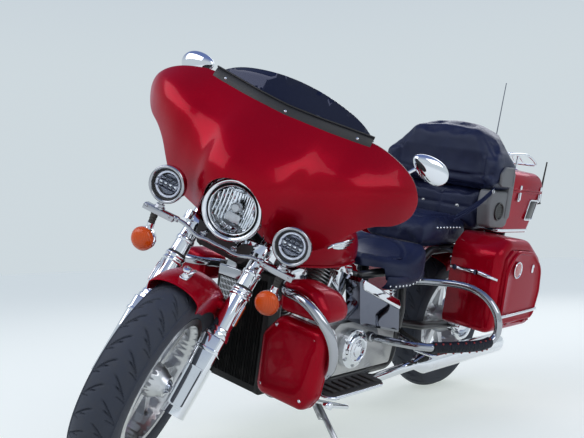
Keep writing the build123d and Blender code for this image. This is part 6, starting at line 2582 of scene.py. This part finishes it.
def make_guard_wrap():
    """Braided black wrap with red beads round the low run of each rear guard."""
    corners = [Vector(point) for point in rear_guard_path]
    path = []
    for k, shares in ((4, (0.55, 0.7, 0.85)), (5, (0.0, 0.2, 0.4, 0.6, 0.8, 1.0))):
        first, last = (corners[k - 1] + corners[k]) / 2, (corners[k] + corners[k + 1]) / 2
        path += [first * (1 - t) ** 2 + corners[k] * 2 * t * (1 - t) + last * t ** 2 for t in shares]
    sleeve = bar("guard_sleeve", path, 0.0172)
    braid = []
    steps = 190
    for strand in range(3):
        points = [
            round_path(path, k / steps, k * 0.62 + strand * 2 * math.pi / 3, 0.0185)
            for k in range(steps + 1)
        ]
        braid.append(bar("guard_braid", points, 0.0034, sides=1, fineness=3))
    wrap = mirrored(joined([sleeve] + braid, "guard_wraps"))
    done(wrap, "braid", "chassis", slot="footboard_rubber", smooth=50.0)
    bead = begin("ico_sphere", "guard_beads", subdivisions=2, radius=0.0042)
    pick(bead, lambda c, n: abs(n.z) > 0.85)
    bpy.ops.mesh.extrude_region_shrink_fatten(TRANSFORM_OT_shrink_fatten={"value": -0.0008})
    clear()
    places = [Matrix.Translation(round_path(path, (k + 0.5) / 26, k * 2.1, 0.0212)) for k in range(26)]
    done(mirrored(copies(bead, places, "guard_beads")), "red_bead", "chassis", slot="red_lens", smooth=60.0)


# Engine, tank and legs


bank_lean = math.radians(26.0)
bank_y = -0.2
case_side = 0.1155


def make_engine():
    """Finned barrels, push-rod tubes, bolts, cover domes, side cover bands, inlet body and starter."""
    barrels = []
    for sign in (-1, 1):
        tilt = bank_lean * sign
        core = spun("barrel", [(0, 0.122), (0.049, 0.122), (0.0495, 0.298), (0, 0.298)], steps=48)
        ring = rounded(-0.074, 0.074, -0.064, 0.064, 0.022, 4)
        lows = [0.1335 + 0.0125 * k for k in range(13)]
        fins = [slab("fin", ring, low, low + 0.0042, "z", 0.0011, 1) for low in lows]
        tubes = [
            spun(
                "pushrod_tube",
                [
                    (0, 0.0), (0.0105, 0.0), (0.0105, 0.016), (0.008, 0.02), (0.008, 0.12), (0.01, 0.124),
                    (0.01, 0.138), (0, 0.138),
                ],
                (0, 0, 1), (0.08, y, 0.146), 24,
            )
            for y in (-0.018, 0.018)
        ]
        bank = joined([core] + fins, "barrel_fins")
        turn = Matrix.Translation((0, bank_y, 0.36)) @ Matrix.Rotation(-tilt, 4, "X")
        bank.data.transform(turn)
        pipes = joined(tubes, "pushrods")
        pipes.data.transform(turn)
        # Only what lies on this bank's own side of the plane between the banks stays
        for part in (bank, pipes):
            cut_off(part, (0, bank_y + sign * 0.0008, 0.4), (0, sign, 0))
        barrels += [bank, pipes]
    fins = joined(barrels[::2], "barrel_fins")
    done(fins, "engine_silver", "chassis", replaces=("cylinders",), smooth=30.0)
    done(joined(barrels[1::2], "pushrods"), "chrome", "chassis", smooth=40.0)

    bolts = []
    for side, y, z, radius, depth, count in (
        (1, -0.2, 0.342, 0.084, 0.04, 8), (1, 0.02, 0.322, 0.064, 0.032, 6),
        (-1, 0.022, 0.32, 0.068, 0.036, 6),
    ):
        for k in range(count):
            a = 2 * math.pi * (k + 0.5) / count
            bolts.append(
                aim(
                    (side, 0, 0),
                    (side * (case_side + depth - 0.0065), y + radius * math.cos(a), z + radius * math.sin(a)),
                )
            )
    for sign in (-1, 1):
        for a, b in ((-0.1, 0.622), (-0.046, 0.618), (-0.084, 0.536)):
            y = a if sign > 0 else -0.4 - a
            bolts.append(aim((1, 0, 0), (0.1148, y, b)))
    done(copies(hexagon("engine_bolts", 0.0052, 0.0042), bolts, "engine_bolts"), "steel", "chassis")

    centre_ribs = []
    for side, y, z, radius, depth in ((1, -0.2, 0.342, 0.096, 0.046), (1, 0.02, 0.322, 0.074, 0.038)):
        face = side * (case_side + depth)
        ring = spun(
            "cover_ring",
            [
                (radius * 0.62, -0.002), (radius * 0.64, 0.0022), (radius * 0.6, 0.003),
                (radius * 0.56, 0.0022), (radius * 0.55, -0.002),
            ],
            (side, 0, 0), (face, y, z), 56,
        )
        dome = spun(
            "cover_dome",
            [
                (0, 0.0075), (radius * 0.22, 0.0065), (radius * 0.34, 0.0025), (radius * 0.36, -0.002),
                (0, -0.002),
            ],
            (side, 0, 0), (face, y, z), 48,
        )
        centre_ribs += [ring, dome]
    done(joined(centre_ribs, "cover_domes"), "chrome", "chassis", smooth=40.0)

    band = slab(
        "side_cover_band",
        corner_ring(
            (
                (-0.066, 0.59, 0.008), (-0.056, 0.603, 0.008), (0.184, 0.512, 0.01), (0.2, 0.489, 0.008),
                (0.196, 0.47, 0.008), (-0.056, 0.566, 0.01),
            ),
            4,
        ),
        0.186, 0.1955, "x", 0.0035, 3,
    )
    done(mirrored(joined([band], "side_cover_bands")), "chrome", "chassis", smooth=40.0)
    body = slab("inlet_body", rounded(-0.262, -0.142, 0.512, 0.578, 0.018, 5), 0.02, 0.074, "x", 0.006, 3)
    nose = spun(
        "inlet_nose",
        [(0, 0.0), (0.026, 0.0), (0.028, 0.006), (0.028, 0.022), (0.02, 0.03), (0.012, 0.034), (0, 0.035)],
        (1, 0, 0), (0.074, -0.2, 0.546), 40,
    )
    starter = spun(
        "starter_body",
        [
            (0, -0.052), (0.03, -0.052), (0.034, -0.046), (0.034, 0.04), (0.03, 0.048), (0.016, 0.054),
            (0, 0.054),
        ],
        (0, 1, 0), (0.086, -0.06, 0.45), 44,
    )
    done(joined([body, nose, starter], "inlet_parts"), "chrome", "chassis", smooth=40.0)


def make_oil_cooler():
    """Bright box, pale fins and two hoses in front of the radiator, and the radiator's own fins and edges."""
    box = slab(
        "cooler_box", [(-0.098, 0.584), (0.012, 0.584), (0.012, 0.618), (-0.098, 0.618)], -0.494, -0.47,
        "y", 0.003, 3,
    )
    neck = slab(
        "cooler_neck", [(-0.07, 0.618), (-0.02, 0.618), (-0.026, 0.642), (-0.064, 0.642)], -0.49, -0.474,
        "y", 0.002, 2,
    )
    done(joined([box, neck], "cooler_box"), "chrome_grey", "chassis", slot="chrome", smooth=40.0)
    fins = [
        slab(
            "cooler_fin", [(x, 0.506), (x + 0.0016, 0.506), (x + 0.0016, 0.58), (x, 0.58)], -0.49, -0.472,
            "y",
        )
        for x in (-0.088 + 0.0072 * k for k in range(13))
    ]
    rows = [
        bar("cooler_row", [(-0.09, -0.481, z), (-0.045, -0.481, z), (0.001, -0.481, z)], 0.0035, sides=2)
        for z in (0.516, 0.534, 0.552, 0.57)
    ]
    done(joined(fins + rows, "cooler_fins"), "fork_alloy", "chassis", smooth=40.0)
    hoses = []
    for x, end in ((-0.104, -0.112), (0.018, 0.03)):
        hoses.append(
            bar(
                "cooler_hose",
                [
                    (x * 0.9, -0.48, 0.6), (x, -0.48, 0.602), (x + (end - x) * 0.8, -0.474, 0.59),
                    (end, -0.47, 0.56), (end, -0.462, 0.52), (end, -0.452, 0.5),
                ],
                0.0058,
            )
        )
    done(joined(hoses, "cooler_hoses"), "footboard_rubber", "chassis", smooth=50.0)
    mesh = []
    for k in range(30):
        x = -0.102 + 0.00703 * k
        mesh.append(
            slab(
                "core_fin", [(x, 0.254), (x + 0.001, 0.254), (x + 0.001, 0.598), (x, 0.598)], -0.4645,
                -0.452, "y",
            )
        )
    for k in range(12):
        mesh.append(
            bar(
                "core_row",
                [
                    (-0.104, -0.456, 0.266 + 0.029 * k), (0.0, -0.456, 0.266 + 0.029 * k),
                    (0.104, -0.456, 0.266 + 0.029 * k),
                ],
                0.0022, sides=1,
            )
        )
    frame_rim = []
    for left, right in ((-0.127, -0.106), (0.106, 0.127)):
        edge = [(left, 0.23), (right, 0.23), (right, 0.622), (left, 0.622)]
        frame_rim.append(slab("core_rim", edge, -0.466, -0.448, "y", 0.002, 2))
    done(joined(mesh + frame_rim, "radiator_core"), "radiator_black", "chassis", smooth=30.0)


tank_rows = (
    # y, half width, bottom, top, corner radius
    (-0.394, 0.06, 0.625, 0.8, 0.052),
    (-0.325, 0.128, 0.602, 0.834, 0.092),
    (-0.205, 0.165, 0.592, 0.85, 0.116),
    (-0.08, 0.142, 0.6, 0.826, 0.104),
    (0.004, 0.096, 0.622, 0.756, 0.06),
    (0.026, 0.066, 0.64, 0.726, 0.04),
)
tank_floor = 0.6485


def tank_side(y, z):
    """Half width of the tank's side at a place."""
    half, low, high, corner = (read_at(tank_rows, column, y) for column in (1, 2, 3, 4))
    miss = max(0.0, z - (high - corner), (low + corner) - z)
    return half - corner + math.sqrt(max(0.0, corner ** 2 - min(miss, corner) ** 2))


def make_tank():
    """Teardrop tank cut level along its foot."""
    tank = section_body("fuel_tank_skin", between_sections(tank_rows, 40), 14)
    cut_off(tank, (0, 0, tank_floor), (0, 0, 1))
    apply(tank, "BEVEL", width=0.004, segments=3, limit_method="ANGLE", angle_limit=math.radians(55))
    done(tank, "red_paint", "chassis", replaces=("fuel_tank",), smooth=50.0)


def pillow(name, corners, layers):
    """A crowned panel: an outline drawn through layers of (place along the bike, share of its size)."""
    outline = corner_ring(corners, 6)
    centre = Vector((sum(p[0] for p in outline), sum(p[1] for p in outline))) / len(outline)
    rings = []
    for along, share in layers:
        ring = []
        for point in outline:
            a, b = centre + (Vector(point) - centre) * share
            ring.append((a, along, b))
        rings.append(ring)
    return lofted(name, rings, cap_low=True, cap_high=True)


def make_leg_shields():
    """Two red shields each side: a rounded lobe above and a crowned panel with a folded edge below."""
    lobe = pillow(
        "leg_lobe",
        (
            (0.182, 0.534, 0.024), (0.182, 0.63, 0.034), (0.25, 0.644, 0.07), (0.334, 0.626, 0.06),
            (0.378, 0.574, 0.04), (0.372, 0.534, 0.024),
        ),
        [
            (-0.5 + 0.034 * (1 - math.cos(math.radians(a))), 0.62 + 0.38 * math.sin(math.radians(a)))
            for a in range(0, 91, 10)
        ] + [(-0.44, 1.0), (-0.405, 0.985), (-0.384, 0.95), (-0.374, 0.88), (-0.372, 0.6)],
    )
    for point in lobe.data.vertices:
        x, y, z = point.co
        drop = 0.03 * max(0.0, (y + 0.44) / 0.07) ** 2 if z > 0.6 else 0.0
        point.co = (x, y, z - drop * (z - 0.6) / 0.04 * 0.5)
    panel = pillow(
        "leg_panel",
        (
            (0.134, 0.254, 0.03), (0.134, 0.45, 0.04), (0.198, 0.522, 0.04), (0.378, 0.512, 0.034),
            (0.388, 0.468, 0.034), (0.366, 0.304, 0.05), (0.33, 0.254, 0.034),
        ),
        [
            (-0.449, 0.955), (-0.452, 0.985), (-0.458, 1.0), (-0.474, 1.0), (-0.484, 0.985),
            (-0.4915, 0.955), (-0.496, 0.9), (-0.4995, 0.8), (-0.503, 0.62), (-0.505, 0.4), (-0.5058, 0.18),
        ],
    )
    lip = bar(
        "leg_lip",
        [
            (x, -0.452, z)
            for x, z in corner_ring(
                (
                    (0.138, 0.258, 0.03), (0.138, 0.448, 0.04), (0.199, 0.518, 0.04), (0.375, 0.508, 0.034),
                    (0.384, 0.468, 0.034), (0.362, 0.306, 0.05), (0.328, 0.258, 0.034),
                ),
                5,
            )
        ],
        0.005, closed=True,
    )
    done(
        mirrored(joined([lobe, panel, lip], "leg_shields_skin")), "red_paint", "chassis",
        replaces=("leg_shields",), smooth=50.0,
    )


engine_guard_path = (
    (0.1126, -0.3956, 0.594), (0.172, -0.402, 0.598), (0.196, -0.508, 0.604), (0.33, -0.532, 0.606),
    (0.427, -0.484, 0.494), (0.362, -0.426, 0.338), (0.1126, -0.3956, 0.232),
)
rear_guard_path = (
    (0.1126, 0.34, 0.556), (0.185, 0.405, 0.57), (0.379, 0.445, 0.588), (0.486, 0.445, 0.5),
    (0.482, 0.445, 0.388), (0.42, 0.215, 0.387), (0.33, 0.12, 0.374), (0.1156, 0.128, 0.352),
)


def make_guards():
    """Smoothly bent crash bars with collars where they leave the frame."""
    for name, path, radius in (
        ("engine_guard", engine_guard_path, 0.0158), ("rear_guards", rear_guard_path, 0.0148),
    ):
        tube = bar(name + "_tube", path, radius, sides=6)
        collars = []
        for end, after in ((path[0], path[1]), (path[-1], path[-2])):
            run = (Vector(after) - Vector(end)).normalized()
            collars.append(
                spun(
                    "guard_collar",
                    [
                        (0, -0.004), (radius * 1.3, -0.004), (radius * 1.36, -0.001),
                        (radius * 1.36, 0.012), (radius * 1.25, 0.016), (radius, 0.018), (0, 0.018),
                    ],
                    run, Vector(end) + run * 0.006, 36,
                )
            )
        done(
            mirrored(joined([tube] + collars, name + "_tube")), "chrome_grey", "chassis", slot="chrome",
            replaces=(name,), smooth=50.0,
        )


def make_tank_trim():
    """Plain swept badges, a bead along each side of the tank's foot, the filler cap and the console dial."""
    feathers = []
    for k, (rise, length, start) in enumerate(
        ((0.016, 0.15, -0.246), (0.006, 0.128, -0.24), (-0.004, 0.104, -0.236), (-0.013, 0.078, -0.232))
    ):
        points, radii = [], []
        for step in range(9):
            share = step / 8
            y = start + length * share
            z = 0.722 + rise * (0.35 + 0.65 * share) + 0.006 * share
            points.append((tank_side(y, z) + 0.0012, y, z))
            radii.append(0.45 + 0.75 * math.sin(math.pi * min(1.0, share * 1.1)) if share < 0.9 else 0.35)
        feathers.append(bar("badge_feather", points, 0.0048, radii=radii, sides=2))
    stem = [
        (tank_side(y, z) + 0.0015, y, z)
        for y, z in ((-0.254, 0.716), (-0.24, 0.724), (-0.222, 0.728), (-0.204, 0.726))
    ]
    feathers.append(bar("badge_stem", stem, 0.0062, radii=(0.5, 1.0, 1.0, 0.4)))
    done(mirrored(joined(feathers, "tank_badges")), "chrome", "chassis", smooth=50.0)
    low = [(tank_side(y, 0.652) + 0.0008, y, 0.652 - 0.0035) for y in (-0.372 + 0.03 * k for k in range(13))]
    done(mirrored(bar("tank_trims", low, 0.0042)), "red_paint", "chassis", smooth=50.0)
    cap = spun(
        "filler_cap",
        [
            (0, 0.02), (0.016, 0.0195), (0.026, 0.017), (0.0305, 0.012), (0.032, 0.006), (0.0345, 0.003),
            (0.035, -0.006), (0, -0.006),
        ],
        (0, 0, 1), (0, -0.1, 0.858), 56,
    )
    dial = spun(
        "console_dial",
        [(0.0335, 0.0), (0.034, 0.006), (0.0325, 0.009), (0.03, 0.0085), (0.029, 0.005), (0, 0.005)],
        (0, 0.35, 1), (0, -0.19, 0.865), 56,
    )
    done(joined([cap, dial], "tank_caps"), "chrome", "chassis", smooth=40.0)


def make_leg_trim():
    """Bolts and vents on the leg shields, ribs and rims on the boards, and the side stand's spring."""
    bolts = [
        aim((0, -1, 0.1), (x, y, z))
        for x, y, z in (
            (0.196, -0.4975, 0.492), (0.35, -0.4955, 0.484), (0.326, -0.4975, 0.29), (0.16, -0.4955, 0.29),
        )
    ]
    done(mirrored(copies(button("shield_bolts", 0.0052, 0.0042), bolts, "shield_bolts")), "chrome", "chassis")
    vents = []
    for k in range(4):
        z = 0.56 + 0.014 * k
        vents.append(
            slab(
                "shield_vent",
                [
                    (0.215 + 0.004 * k, z), (0.3 - 0.004 * k, z), (0.3 - 0.004 * k, z + 0.005),
                    (0.215 + 0.004 * k, z + 0.005),
                ],
                -0.3745, -0.37, "y", 0.001, 1,
            )
        )
    done(mirrored(joined(vents, "shield_vents")), "inner_black", "chassis")
    pads = []
    for k in range(7):
        y = -0.372 + 0.036 * k
        pads.append(
            slab("board_rib", rounded(0.286, 0.356, y, y + 0.018, 0.004, 3), 0.3002, 0.3062, "z", 0.0016, 2)
        )
    for k in range(4):
        y = 0.252 + 0.03 * k
        pads.append(
            slab("board_rib", rounded(0.264, 0.336, y, y + 0.016, 0.004, 3), 0.3342, 0.3395, "z", 0.0016, 2)
        )
    done(mirrored(joined(pads, "board_ribs")), "footboard_rubber", "chassis")
    rims = [
        bar(
            "board_rim", [(x, y, 0.2905) for x, y in rounded(0.27, 0.372, -0.4, -0.11, 0.03, 4)], 0.006,
            closed=True,
        ),
        bar(
            "board_rim", [(x, y, 0.327) for x, y in rounded(0.25, 0.35, 0.235, 0.385, 0.025, 4)], 0.0052,
            closed=True,
        ),
    ]
    done(mirrored(joined(rims, "board_rims")), "chrome", "chassis", smooth=50.0)
    pivot, foot = Vector((0.14, -0.2, 0.2)), Vector((0.36, -0.3, 0.096))
    down = (foot - pivot).normalized()
    ahead = Vector((-0.25, -0.95, -0.05))
    front = (ahead - down * down.dot(ahead)).normalized()
    right = down.cross(front)
    coil = [pivot + down * 0.06]
    for k in range(97):
        middle = pivot + down * (0.066 + 0.06 * k / 96) + front * 0.0178
        coil.append(middle + (front * math.cos(k * 0.8) + right * math.sin(k * 0.8)) * 0.0062)
    coil.append(pivot + down * 0.132)
    done(bar("stand_spring", coil, 0.0014, sides=1, fineness=3), "steel", "side_stand", smooth=50.0)


# Rear end


rear_fender_radius = 0.356
rear_fender_half = 0.098


def make_rear():
    """Rear mudguard with its stays, tail lamp with a bright frame, rear signals and a blank plate."""
    guard = mudguard(
        "rear_fender_skin", rear_axle, rear_fender_radius, rear_fender_half, 0.056, 0.058, -30.0, 108.0,
        0.0034,
    )
    stays = [
        bar(
            "fender_stay",
            [
                (rear_fender_half - 0.002, y, 0.63), ((rear_fender_half + 0.128) / 2, y, 0.662),
                (0.127, y, 0.676),
            ],
            0.008,
        )
        for y in (0.7825, 0.8825)
    ]
    guard = joined([guard, mirrored(joined(stays, "fender_stays"))], "rear_fender_skin")
    done(guard, "red_paint", "chassis", replaces=("rear_fender",), smooth=55.0)
    lens = slab("tail_lens", rounded(-0.08, 0.08, 0.552, 0.608, 0.022, 6), 1.112, 1.151, "y", 0.007, 3)
    rim = slab("tail_rim", rounded(-0.084, 0.084, 0.548, 0.612, 0.024, 6), 1.06, 1.126, "y", 0.003, 2)
    done(lens, "red_lens", "chassis", replaces=("tail_lamp",), smooth=45.0)
    done(rim, "chrome", "chassis", slot="red_lens", smooth=40.0)
    signals, ambers = [], []
    for x in (-0.15, 0.15):
        signals.append(
            bar(
                "rear_signal_arm",
                [(math.copysign(0.07, x), 1.09, 0.58), (x * 0.75, 1.094, 0.582), (x * 0.9, 1.096, 0.582)],
                0.0075,
            )
        )
        signals.append(
            spun(
                "rear_signal_cup",
                [
                    (0, -0.03), (0.014, -0.029), (0.026, -0.018), (0.0315, -0.004), (0.032, 0.004),
                    (0.03, 0.006), (0, 0.004),
                ],
                (0, 1, 0), (x, 1.104, 0.582), 40,
            )
        )
        ambers.append(
            spun(
                "rear_signal_lens",
                [
                    (0, 0.017), (0.012, 0.0155), (0.022, 0.0115), (0.0285, 0.005), (0.0295, 0.002),
                    (0, 0.002),
                ],
                (0, 1, 0), (x, 1.104, 0.582), 40,
            )
        )
    done(joined(signals, "rear_signals"), "chrome", "chassis", smooth=45.0)
    done(joined(ambers, "rear_signal_lenses"), "amber_lens", "chassis", smooth=45.0)
    plate = slab(
        "number_plate", rounded(-0.092, 0.092, 0.446, 0.544, 0.01, 4), 1.2004, 1.2022, "y", 0.0006, 1,
    )
    pick(plate, lambda c, n: n.y > 0.9)
    bpy.ops.mesh.inset(thickness=0.003, depth=0.0)
    bpy.ops.mesh.inset(thickness=0.0012, depth=0.0012)
    clear()
    done(plate, "plate_white", "chassis", slot="steel", smooth=35.0)
    screws = copies(
        button("plate_screws", 0.0045, 0.0035), [aim((0, 1, 0), (x, 1.2028, 0.532)) for x in (-0.07, 0.07)],
        "plate_screws",
    )
    done(screws, "steel", "chassis")


class CRUISER_OT_luggage(bpy.types.Operator):
    """Makes the trunk's lid and trim, the rack, the aerials, the bags' lids and the guards' wrap"""

    bl_idname = "cruiser.luggage"
    bl_label = "Luggage"

    def execute(self, context):
        make_trunk()
        make_rack()
        make_antennas()
        make_bag_lids()
        make_guard_wrap()
        return {"FINISHED"}


class CRUISER_OT_engine(bpy.types.Operator):
    """Makes the engine's fins, tubes and bolts, the coolers, the tank, the leg shields and the rear end"""

    bl_idname = "cruiser.engine"
    bl_label = "Engine and trim"

    def execute(self, context):
        make_engine()
        make_oil_cooler()
        make_tank()
        make_tank_trim()
        make_leg_shields()
        make_guards()
        make_leg_trim()
        make_rear()
        return {"FINISHED"}


class CRUISER_PT_panel(bpy.types.Panel):
    """Sizes, colours and the build steps"""

    bl_idname = "CRUISER_PT_panel"
    bl_label = "Touring cruiser"
    bl_space_type = "VIEW_3D"
    bl_region_type = "UI"
    bl_category = "Cruiser"

    def draw(self, context):
        for group in (context.scene.cruiser_colours, context.scene.cruiser_sizes):
            for key in group.bl_rna.properties.keys():
                if key not in ("rna_type", "name"):
                    self.layout.prop(group, key)
        for operator in build_order:
            self.layout.operator(operator.bl_idname)


build_order = (
    CRUISER_OT_finishes,
    CRUISER_OT_studio,
    CRUISER_OT_wheels,
    CRUISER_OT_fairing,
    CRUISER_OT_lamps,
    CRUISER_OT_seats,
    CRUISER_OT_front,
    CRUISER_OT_own_forms,
    CRUISER_OT_luggage,
    CRUISER_OT_engine,
)
classes = (CruiserColours, CruiserSizes, *build_order, CRUISER_PT_panel)


def register():
    for item in classes:
        bpy.utils.register_class(item)
    bpy.types.Scene.cruiser_colours = bpy.props.PointerProperty(type=CruiserColours)
    bpy.types.Scene.cruiser_sizes = bpy.props.PointerProperty(type=CruiserSizes)


def unregister():
    del bpy.types.Scene.cruiser_colours
    del bpy.types.Scene.cruiser_sizes
    for item in reversed(classes):
        bpy.utils.unregister_class(item)


def main():
    register()
    for operator in build_order:
        getattr(bpy.ops.cruiser, operator.bl_idname.split(".")[1])()


if __name__ == "__main__":
    main()
